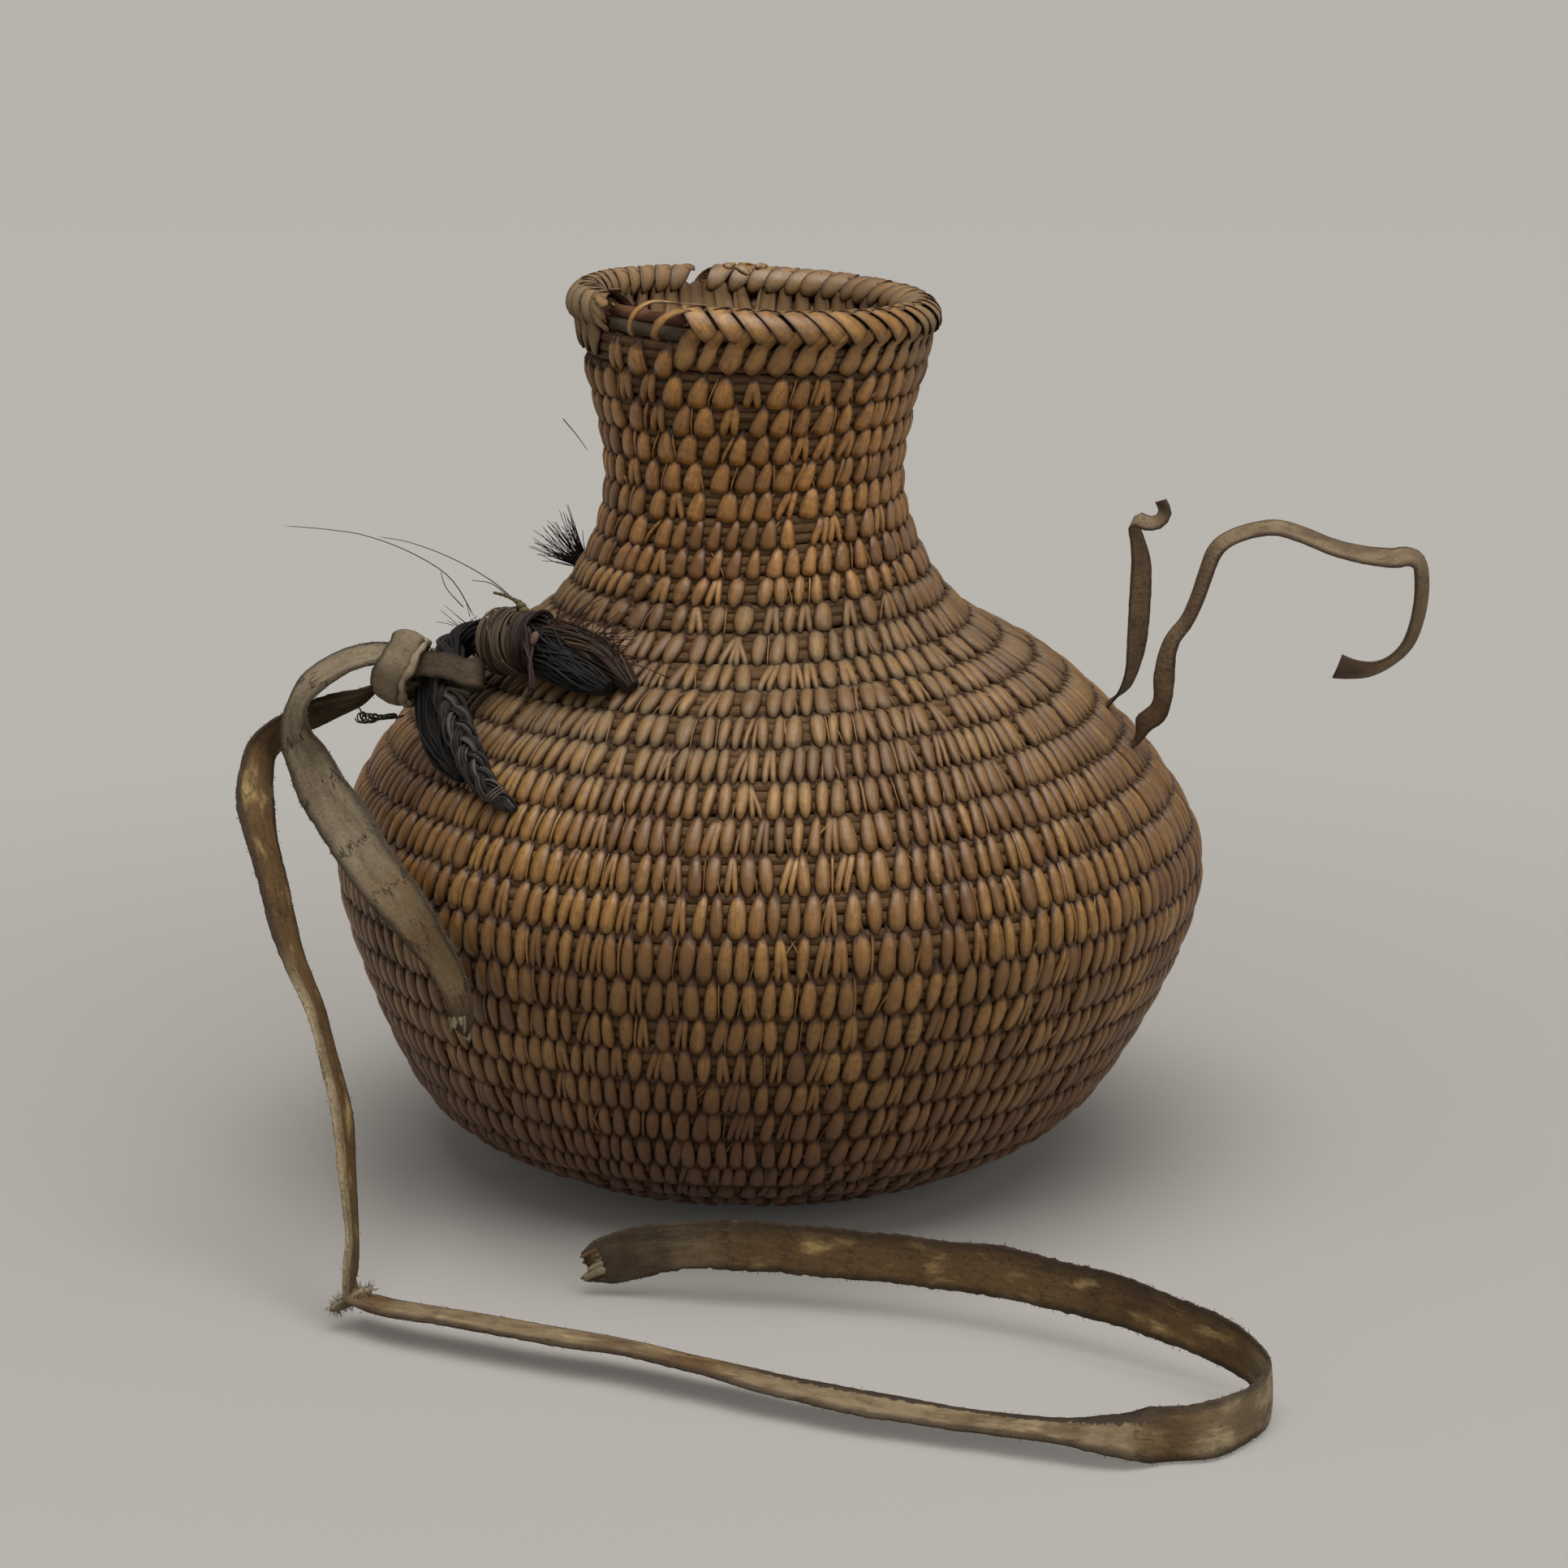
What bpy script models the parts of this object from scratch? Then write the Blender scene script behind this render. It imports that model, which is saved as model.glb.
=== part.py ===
"""Pitched basket water jar: a coiled jar with a herringbone rim, a horsehair lug, a hide strap and a hide thong.

Metres, +Z up. The origin is on the floor under the middle of the belly. Azimuth 0 is the front (-Y), 90 is +X.
"""

import math

import bmesh
import bpy
from mathutils import Vector

# Fits
GAP = 0.0003
FIT = 0.0005

# Outline of the coiled wall's outer face: radius and height of each place that shapes it
BASE_RADIUS = 0.052
HEEL_RADIUS = 0.0765
HEEL_HEIGHT = 0.009
LOWER_RADIUS = 0.1000
LOWER_HEIGHT = 0.0275
BELLY_RADIUS = 0.1222
BELLY_HEIGHT = 0.080
SHOULDER_RADIUS = 0.1155
SHOULDER_HEIGHT = 0.110
SLOPE_RADIUS = 0.0875
SLOPE_HEIGHT = 0.142
NECK_FOOT_RADIUS = 0.0565
NECK_FOOT_HEIGHT = 0.162
NECK_RADIUS = 0.0418
NECK_HEIGHT = 0.195
MOUTH_RADIUS = 0.0500
MOUTH_HEIGHT = 0.2385
OUTLINE_STEPS = 40
OUTLINE_SPACING = 0.001
ROUNDING_PASSES = 30

# The coil: a bundle of rods wound round and round, each turn sewn to the one below
COURSE_PITCH = 0.0104
COURSE_THICKNESS = 0.0075
COIL_TURNS = 36
COIL_STEPS = 26
BASE_TURNS = 5
START_TAPER = 0.3
END_TAPER = 0.75
SEAM_AZIMUTH = -38.0

# How the handmade jar stands out of true
LEANS = ((0.0, -0.004), (0.080, 0.0), (0.162, -0.0043), (0.245, -0.0044))
RIM_TILT = 0.0022

# Rim coil, its broken places (azimuths of their ends) and the rods that show in the front one
RIM_TUBE_RADIUS = 0.0046
RIM_SIDES = 8
FRONT_BREAK = (-54.0, -21.5)
BACK_BREAK = (197.5, 207.0)
UPPER_ROD_RADIUS = 0.0017
LOWER_ROD_RADIUS = 0.0022

# Pitch lining
LINING_CLEARANCE = 0.0009
LINING_THICKNESS = 0.0010
LINING_TOP_HEIGHT = 0.224
LINING_BODY_STEPS = 8
LINING_NECK_STEPS = 9

# Horsehair lug
HAIR_SIDES = 8
WRAP_LENGTH = 0.0168
WRAP_FIBRE_RADIUS = 0.0009
WRAP_TURNS = 6
WRAP_POINTS_PER_TURN = 24
ROPE_RADIUS_IN_WRAP = 0.0062
LASHING_WIDTH = 0.0038
LASHING_THICKNESS = 0.0016
LUG_AXIS_START = (-0.0615, -0.0515, 0.1600)
LUG_AXIS_END = (-0.0785, -0.0395, 0.1578)

# Hide strap, its knot and the thong
STRAP_WIDTH = 0.0133
STRAP_THICKNESS = 0.0016
KNOT_STRAP_WIDTH = 0.0080
THONG_WIDTH = 0.0062
THONG_THICKNESS = 0.0012
THONG_HOLE_TURNS = (20, 19)
THONG_HOLE_AZIMUTHS = (85.9, 79.3)
KNOT_CENTRE = (-0.0986, -0.0480, 0.1522)
KNOT_LENGTH = 0.0086
KNOT_HALF_DEPTH = 0.0075
KNOT_HALF_HEIGHT = 0.0100
BAND_CENTRE = (-0.0870, -0.0484, 0.1493)
BAND_LENGTH = 0.0108
BAND_HALF_WIDTH = 0.0072
BAND_HALF_DEPTH = 0.0076
HIDE_TURN_THICKNESS = 0.0015

# Rear tuft
TUFT_ROOT = (-0.0534, 0.0206, 0.1671)
TUFT_AIM = (-0.0600, 0.0215, 0.1740)
TUFT_STUB_RADIUS = 0.0024
TUFT_STUB_LENGTH = 0.0040
TUFT_STRANDS = 15
TUFT_STRAND_LENGTH = 0.0130
TUFT_STRAND_RADIUS = 0.00028


def clear_scene():
    """Removes what the file opens with."""
    for thing in list(bpy.data.objects):
        bpy.data.objects.remove(thing, do_unlink=True)


def material(name, colour, roughness, metallic=0.0):
    """A plain finish with the colour of the part."""
    finish = bpy.data.materials.new(name)
    finish.use_nodes = True
    shader = finish.node_tree.nodes["Principled BSDF"]
    shader.inputs["Base Color"].default_value = (*colour, 1.0)
    shader.inputs["Roughness"].default_value = roughness
    shader.inputs["Metallic"].default_value = metallic
    return finish


def add_object(name, mesh_maker, finish):
    """Links one closed mesh as an object with its finish, shaded smooth but for its sharp edges."""
    bmesh.ops.recalc_face_normals(mesh_maker, faces=mesh_maker.faces)
    mesh = bpy.data.meshes.new(name)
    mesh_maker.to_mesh(mesh)
    mesh_maker.free()
    mesh.materials.append(finish)
    mesh.shade_smooth()
    mesh.set_sharp_from_angle(angle=math.radians(50))
    thing = bpy.data.objects.new(name, mesh)
    bpy.context.scene.collection.objects.link(thing)
    return thing


def loft(name, sections, finish, closed=False):
    """Skins a row of sections, each with as many points, and fills the two ends unless the row is closed."""
    maker = bmesh.new()
    rings = [[maker.verts.new(point) for point in section] for section in sections]
    pairs = list(zip(rings, rings[1:]))
    if closed:
        pairs.append((rings[-1], rings[0]))
    for near, far in pairs:
        for i in range(len(near)):
            j = (i + 1) % len(near)
            maker.faces.new((near[i], near[j], far[j], far[i]))
    if not closed:
        maker.faces.new(rings[0])
        maker.faces.new(rings[-1])
    return add_object(name, maker, finish)


def smooth_route(points, per_span):
    """A smooth row through the points, which are equal-length tuples of numbers (Catmull-Rom)."""
    rows = [Vector(point) for point in points]
    padded = [2 * rows[0] - rows[1]] + rows + [2 * rows[-1] - rows[-2]]
    out = []
    for a, b, c, d in zip(padded, padded[1:], padded[2:], padded[3:]):
        for step in range(per_span):
            t = step / per_span
            out.append(
                0.5 * (2 * b + (c - a) * t + (2 * a - 5 * b + 4 * c - d) * t**2 + (3 * b - a - 3 * c + d) * t**3)
            )
    return out + [rows[-1]]


def ramp(value, start, end):
    """0 before start, 1 after end, straight between."""
    return min(1.0, max(0.0, (value - start) / (end - start)))


def smooth_between(table, value):
    """Reads a smooth value from a short table of (place, value) pairs."""
    for (x0, y0), (x1, y1) in zip(table, table[1:]):
        if value <= x1 or (x1, y1) == table[-1]:
            t = ramp(value, x0, x1)
            return y0 + (y1 - y0) * t * t * (3 - 2 * t)
    return table[0][1]


def jar_point(radius, height, azimuth):
    """A place on the jar: radius, height and azimuth in degrees, with the jar's own lean and tilt."""
    turn = math.radians(azimuth)
    tilt = RIM_TILT * ramp(height, NECK_HEIGHT, MOUTH_HEIGHT)
    return Vector(
        (
            smooth_between(LEANS, height) + radius * math.sin(turn),
            -radius * math.cos(turn),
            height - tilt * math.sin(turn),
        )
    )


def spaced(places, spacing):
    """The same line as places about one spacing apart."""
    out = [places[0]]
    for before, after in zip(places, places[1:]):
        count = max(1, round((after - before).length / spacing))
        out += [before.lerp(after, (i + 1) / count) for i in range(count)]
    return out


def rounded(places, passes):
    """The same line with its corners eased, its ends left where they are."""
    for _ in range(passes):
        inner = [(a + 2 * b + c) / 4 for a, b, c in zip(places, places[1:], places[2:])]
        places = [places[0]] + inner + [places[-1]]
    return places


class WallLine:
    """The middle of the wall's thickness as (radius, height), from the middle of the base up to the mouth."""

    def __init__(self):
        outline = (
            (BASE_RADIUS, 0.0),
            (HEEL_RADIUS, HEEL_HEIGHT),
            (LOWER_RADIUS, LOWER_HEIGHT),
            (BELLY_RADIUS, BELLY_HEIGHT),
            (SHOULDER_RADIUS, SHOULDER_HEIGHT),
            (SLOPE_RADIUS, SLOPE_HEIGHT),
            (NECK_FOOT_RADIUS, NECK_FOOT_HEIGHT),
            (NECK_RADIUS, NECK_HEIGHT),
            (MOUTH_RADIUS, MOUTH_HEIGHT),
        )
        whole = [Vector((0.0, 0.0))] + smooth_route(outline, OUTLINE_STEPS)
        outer = rounded(spaced(whole, OUTLINE_SPACING), ROUNDING_PASSES)
        self.points = []
        self.normals = []
        for i, place in enumerate(outer):
            along = (outer[min(i + 1, len(outer) - 1)] - outer[max(i - 1, 0)]).normalized()
            normal = Vector((along.y, -along.x))
            self.points.append(place - normal * COURSE_THICKNESS / 2)
            self.normals.append(normal)
        self.points[0].x = 0.0
        self.distances = [0.0]
        for before, after in zip(self.points, self.points[1:]):
            self.distances.append(self.distances[-1] + (after - before).length)
        self.length = self.distances[-1]

    def at(self, distance, offset=0.0):
        """The (radius, height) at a distance along the wall, moved outwards by offset."""
        low = 0
        high = len(self.distances) - 1
        while high - low > 1:
            middle = (low + high) // 2
            if self.distances[middle] <= distance:
                low = middle
            else:
                high = middle
        t = (distance - self.distances[low]) / (self.distances[high] - self.distances[low])
        place = self.points[low].lerp(self.points[high], t)
        normal = self.normals[low].lerp(self.normals[high], t).normalized()
        return place + normal * offset

    def distance_at_height(self, height):
        """How far along the wall its middle reaches a height."""
        for distance, place in zip(self.distances, self.points):
            if place.x > BASE_RADIUS / 2 and place.y >= height:
                return distance
        return self.length


class Coil:
    """Where each turn of the coil lies on the wall line."""

    def __init__(self, wall):
        self.wall = wall
        self.neck_start = wall.distance_at_height(NECK_FOOT_HEIGHT)
        self.neck_start_turns = self.neck_start / COURSE_PITCH
        self.neck_pitch = (wall.length - self.neck_start) / (COIL_TURNS - self.neck_start_turns)

    def edge(self, turns):
        """Distance along the wall of the lower edge of the coil after so many turns."""
        if turns <= self.neck_start_turns:
            return max(turns, 1.0) * COURSE_PITCH
        return min(self.neck_start + (turns - self.neck_start_turns) * self.neck_pitch, self.wall.length)

    def section(self, turns):
        """The six corners of the coil's section at a place in its winding."""
        lower = self.edge(turns) + GAP / 2
        upper = self.edge(turns + 1) - GAP / 2
        middle = (lower + upper) / 2
        quarter = (upper - lower) / 4
        fullness = min(1.0, START_TAPER + (1.0 - START_TAPER) * (upper - lower) / (self.neck_pitch - GAP))
        half = COURSE_THICKNESS / 2 * fullness
        corners = (
            (upper, 0.0),
            (middle + quarter, half),
            (middle - quarter, half),
            (lower, 0.0),
            (middle - quarter, -half),
            (middle + quarter, -half),
        )
        azimuth = SEAM_AZIMUTH + 360.0 * turns
        places = [self.wall.at(distance, offset) for distance, offset in corners]
        return [jar_point(place.x, place.y, azimuth) for place in places]

    def stretch(self, start, end):
        """Sections of the coil from one turn count to another, with the gap that parts it from the next stretch."""
        radius = self.wall.at(self.edge(start + 0.5)).x
        half_gap = GAP / (4 * math.pi * radius)
        inner = [i / COIL_STEPS for i in range(math.floor(start * COIL_STEPS) + 1, math.ceil(end * COIL_STEPS))]
        return [self.section(turns) for turns in [start + half_gap] + inner + [end - half_gap]]

    def course_middle(self, turn, azimuth):
        """Distance along the wall of the middle of a turn at an azimuth."""
        turns = turn + ((azimuth - SEAM_AZIMUTH) % 360.0) / 360.0
        return (self.edge(turns) + self.edge(turns + 1)) / 2


def make_start_disc(coil, finish):
    """The tight knot of rods that the coil starts round, at the middle of the base."""
    maker = bmesh.new()
    radius = coil.edge(1.0) - GAP
    bmesh.ops.create_cone(
        maker,
        cap_ends=True,
        segments=COIL_STEPS,
        radius1=radius,
        radius2=radius - COURSE_THICKNESS / 4,
        depth=COURSE_THICKNESS,
    )
    centre = jar_point(0.0, 0.0, 0.0) + Vector((0.0, 0.0, COURSE_THICKNESS / 2))
    bmesh.ops.translate(maker, vec=centre, verts=maker.verts)
    return add_object("base_start_knot", maker, finish)


def make_courses(coil, finish):
    """The base spiral and each turn of the wall, up to the tapered end of the coil under the rim."""
    loft("base_coil", coil.stretch(START_TAPER, BASE_TURNS), finish)
    courses = {}
    for turn in range(BASE_TURNS, COIL_TURNS):
        end = turn + 1 if turn < COIL_TURNS - 1 else turn + END_TAPER
        number = turn - BASE_TURNS + 1
        courses[turn] = loft(f"wall_course_{number:02d}", coil.stretch(turn, end), finish)
    return courses


def rim_place(azimuth, outwards=0.0, upwards=0.0):
    """A place on or near the rim coil's middle line."""
    radius = MOUTH_RADIUS - COURSE_THICKNESS / 2 + outwards
    return jar_point(radius, MOUTH_HEIGHT + FIT + RIM_TUBE_RADIUS + upwards, azimuth)


def ring_arc(name, start, end, radius, sides, outwards, upwards, finish):
    """A round rod along the rim between two azimuths, at an offset from the rim's middle line."""
    steps = max(2, round((end - start) / 360.0 * COIL_STEPS))
    sections = []
    for i in range(steps + 1):
        azimuth = start + (end - start) * i / steps
        section = []
        for k in range(sides):
            turn = 2 * math.pi * (k + 0.5) / sides
            out = outwards + radius * math.cos(turn)
            section.append(rim_place(azimuth, out, upwards + radius * math.sin(turn)))
        sections.append(section)
    return loft(name, sections, finish)


def make_rim(wood, rod_wood):
    """The rim coil in its two surviving lengths, and the two rods bared in the front break."""
    end_gap = math.degrees(GAP / MOUTH_RADIUS)
    right_start = FRONT_BREAK[1]
    right_end = BACK_BREAK[0]
    left_start = BACK_BREAK[1]
    left_end = 360.0 + FRONT_BREAK[0]
    ring_arc("rim_coil_right", right_start, right_end, RIM_TUBE_RADIUS, RIM_SIDES, 0.0, 0.0, wood)
    ring_arc("rim_coil_left", left_start, left_end, RIM_TUBE_RADIUS, RIM_SIDES, 0.0, 0.0, wood)
    rod_start = FRONT_BREAK[0] + end_gap
    rod_end = FRONT_BREAK[1] - end_gap
    lower_rise = LOWER_ROD_RADIUS - RIM_TUBE_RADIUS + GAP
    upper_rise = lower_rise + LOWER_ROD_RADIUS + UPPER_ROD_RADIUS + GAP
    ring_arc("rim_rod_upper", rod_start, rod_end, UPPER_ROD_RADIUS, RIM_SIDES, 0.0, upper_rise, rod_wood)
    ring_arc("rim_rod_lower", rod_start, rod_end, LOWER_ROD_RADIUS, RIM_SIDES, 0.0, lower_rise, rod_wood)


def make_lining(wall, finish):
    """The skin of pitch that makes the basket hold water: an open vessel just inside the coil."""
    outer_offset = -(COURSE_THICKNESS / 2 + LINING_CLEARANCE)
    inner_offset = outer_offset - LINING_THICKNESS
    top = wall.distance_at_height(LINING_TOP_HEIGHT)
    first = BASE_RADIUS / 2
    shoulder = wall.distance_at_height(SLOPE_HEIGHT)
    distances = [first + (shoulder - first) * i / LINING_BODY_STEPS for i in range(LINING_BODY_STEPS)]
    distances += [shoulder + (top - shoulder) * i / LINING_NECK_STEPS for i in range(LINING_NECK_STEPS + 1)]
    outer = [wall.at(distance, outer_offset) for distance in distances]
    inner = [wall.at(distance, inner_offset) for distance in reversed(distances)]
    maker = bmesh.new()
    rings = []
    for place in outer + inner:
        azimuths = [SEAM_AZIMUTH + 360.0 * i / COIL_STEPS for i in range(COIL_STEPS)]
        rings.append([maker.verts.new(jar_point(place.x, place.y, azimuth)) for azimuth in azimuths])
    for near, far in zip(rings, rings[1:]):
        for i in range(COIL_STEPS):
            j = (i + 1) % COIL_STEPS
            maker.faces.new((near[i], near[j], far[j], far[i]))
    maker.faces.new(rings[0])
    maker.faces.new(rings[-1])
    return add_object("pitch_lining", maker, finish)


def hole_frame(coil, turn, azimuth):
    """Middle and outward direction of a thong hole through a turn of the coil."""
    distance = coil.course_middle(turn, azimuth)
    inside = coil.wall.at(distance, -COURSE_THICKNESS)
    outside = coil.wall.at(distance, COURSE_THICKNESS)
    near = jar_point(inside.x, inside.y, azimuth)
    far = jar_point(outside.x, outside.y, azimuth)
    return (near + far) / 2, (far - near).normalized()


def cut_hole(name, centre, outward, azimuth, pieces):
    """Cuts a flat hole for the thong through the pieces, along the wall's own direction."""
    turn = math.radians(azimuth)
    across = Vector((math.cos(turn), math.sin(turn), 0.0))
    up = outward.cross(across).normalized()
    half_width = THONG_WIDTH / 2 + FIT
    half_height = THONG_THICKNESS / 2 + FIT
    reach = COURSE_THICKNESS * 1.5
    sections = []
    for side in (-reach, reach):
        middle = centre + outward * side
        corners = ((-1, -1), (1, -1), (1, 1), (-1, 1))
        sections.append([middle + across * half_width * a + up * half_height * b for a, b in corners])
    cutter = loft(name, sections, pieces[0].data.materials[0])
    cutter.hide_render = True
    cutter.display_type = "WIRE"
    for piece in pieces:
        cut = piece.modifiers.new(name, "BOOLEAN")
        cut.operation = "DIFFERENCE"
        cut.solver = "EXACT"
        cut.object = cutter


def tube(name, route, finish, sides=HAIR_SIDES, per_span=3):
    """A round piece along a route of (x, y, z, radius), its sections square to the way it runs."""
    path = smooth_route(route, per_span)
    places = [Vector(row[:3]) for row in path]
    sections = []
    side = None
    for i, place in enumerate(places):
        along = (places[min(i + 1, len(places) - 1)] - places[max(i - 1, 0)]).normalized()
        if side is None:
            side = along.orthogonal().normalized()
        side = (side - along * side.dot(along)).normalized()
        other = along.cross(side)
        turns = [2 * math.pi * k / sides for k in range(sides)]
        sections.append([place + (side * math.cos(t) + other * math.sin(t)) * path[i][3] for t in turns])
    return loft(name, sections, finish)


def band(name, centre, axis, half_length, half_across, half_up, thickness, finish, steps=20):
    """A turn of hide or fibre: an oval ring of flat section round an axis."""
    along = Vector(axis).normalized()
    across = Vector((0.0, 1.0, 0.0))
    across = (across - along * across.dot(along)).normalized()
    up = along.cross(across)
    sections = []
    for i in range(steps):
        turn = 2 * math.pi * i / steps
        section = []
        for inset, shift in ((0.0, -1), (0.0, 1), (thickness, 1), (thickness, -1)):
            out = across * (half_across - inset) * math.cos(turn) + up * (half_up - inset) * math.sin(turn)
            section.append(Vector(centre) + out + along * half_length * shift)
        sections.append(section)
    return loft(name, sections, finish, closed=True)


def ribbon(name, route, thickness, finish, per_span=2):
    """A flat strip along a route of (x, y, z, width direction x, y, z, width)."""
    path = smooth_route(route, per_span)
    places = [Vector(row[:3]) for row in path]
    sections = []
    for i, row in enumerate(path):
        along = (places[min(i + 1, len(places) - 1)] - places[max(i - 1, 0)]).normalized()
        across = Vector(row[3:6])
        across = (across - along * across.dot(along)).normalized() * row[6] / 2
        face = along.cross(across).normalized() * thickness / 2
        place = places[i]
        sections.append([place + across + face, place - across + face, place - across - face, place + across - face])
    return loft(name, sections, finish)


def metres(rows):
    """Turns rows written in millimetres, with their plain direction numbers, into metres."""
    out = []
    for x, y, z, *rest in rows:
        if len(rest) == 4:
            out.append((x / 1000, y / 1000, z / 1000, rest[0], rest[1], rest[2], rest[3]))
        else:
            out.append((x / 1000, y / 1000, z / 1000, *(value / 1000 for value in rest)))
    return out


# Hair routes in millimetres: x, y, z, radius
HAIR_ROPE_TAIL = (
    (-79.2, -36.4, 157.4, 5.2),
    (-82.6, -33.6, 156.8, 4.4),
    (-86.0, -34.6, 155.4, 4.2),
    (-87.6, -38.6, 153.6, 4.2),
    (-87.6, -43.6, 152.0, 4.2),
    (-87.2, -47.4, 149.8, 4.2),
)
BRAID_LEG = (
    (-87.0, -48.2, 149.3, 4.2),
    (-86.5, -54.6, 145.0, 4.4),
    (-84.8, -61.4, 140.6, 4.8),
    (-83.0, -68.4, 136.8, 4.4),
    (-79.8, -75.6, 132.4, 3.8),
    (-75.4, -81.4, 128.4, 3.1),
    (-69.4, -85.2, 123.7, 2.2),
)
UPPER_BUNDLE = (
    (-58.7, -51.1, 162.9, 3.0),
    (-54.0, -51.0, 163.0, 3.3),
    (-45.8, -56.6, 160.8, 3.2),
    (-40.2, -63.2, 156.8, 2.7),
    (-36.2, -68.4, 152.0, 2.0),
)
LOWER_BUNDLE = (
    (-60.9, -54.4, 156.9, 3.2),
    (-55.2, -62.6, 154.8, 3.6),
    (-46.8, -70.6, 151.8, 3.0),
    (-41.8, -72.6, 147.9, 1.9),
)
LASHING_TWIG = (
    (-63.4, -44.6, 167.8, 1.1),
    (-67.5, -37.2, 168.8, 1.7),
    (-71.0, -30.2, 169.4, 0.9),
    (-75.4, -22.4, 170.6, 0.6),
)

# Hide routes in millimetres: x, y, z, width direction, and the width in metres
STRAP_TAIL = (
    (-94.6, -48.0, 156.4, 0.00, 1.00, 0.00, KNOT_STRAP_WIDTH),
    (-104.2, -48.0, 156.2, -0.03, 0.84, 0.54, KNOT_STRAP_WIDTH),
    (-110.9, -47.6, 155.0, -0.12, 0.91, 0.40, 0.0105),
    (-117.3, -48.0, 152.4, -0.40, 0.87, 0.29, 0.0115),
    (-123.0, -51.0, 148.6, -0.60, 0.79, 0.10, 0.0120),
    (-126.6, -54.0, 143.6, -0.54, 0.83, -0.17, 0.0125),
    (-127.6, -56.0, 138.8, -0.63, 0.72, -0.29, STRAP_WIDTH),
    (-126.6, -58.0, 133.8, -0.71, 0.51, -0.49, STRAP_WIDTH),
    (-123.6, -60.0, 128.8, -0.81, 0.20, -0.56, STRAP_WIDTH),
    (-119.4, -64.0, 121.2, -0.84, -0.04, -0.54, 0.0140),
    (-112.9, -69.6, 113.0, -0.80, -0.09, -0.59, 0.0143),
    (-105.9, -77.4, 105.0, -0.76, -0.09, -0.64, 0.0143),
    (-97.7, -86.2, 97.2, -0.70, -0.00, -0.72, 0.0137),
    (-91.0, -92.6, 90.5, -0.59, 0.26, -0.76, STRAP_WIDTH),
    (-86.3, -96.2, 85.0, -0.61, 0.46, -0.65, 0.0120),
    (-82.6, -99.6, 77.6, -0.77, 0.45, -0.45, 0.0100),
    (-80.9, -100.8, 71.0, -0.76, 0.65, -0.10, 0.0095),
    (-81.6, -100.2, 66.0, -0.64, 0.75, 0.18, 0.0080),
)
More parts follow.
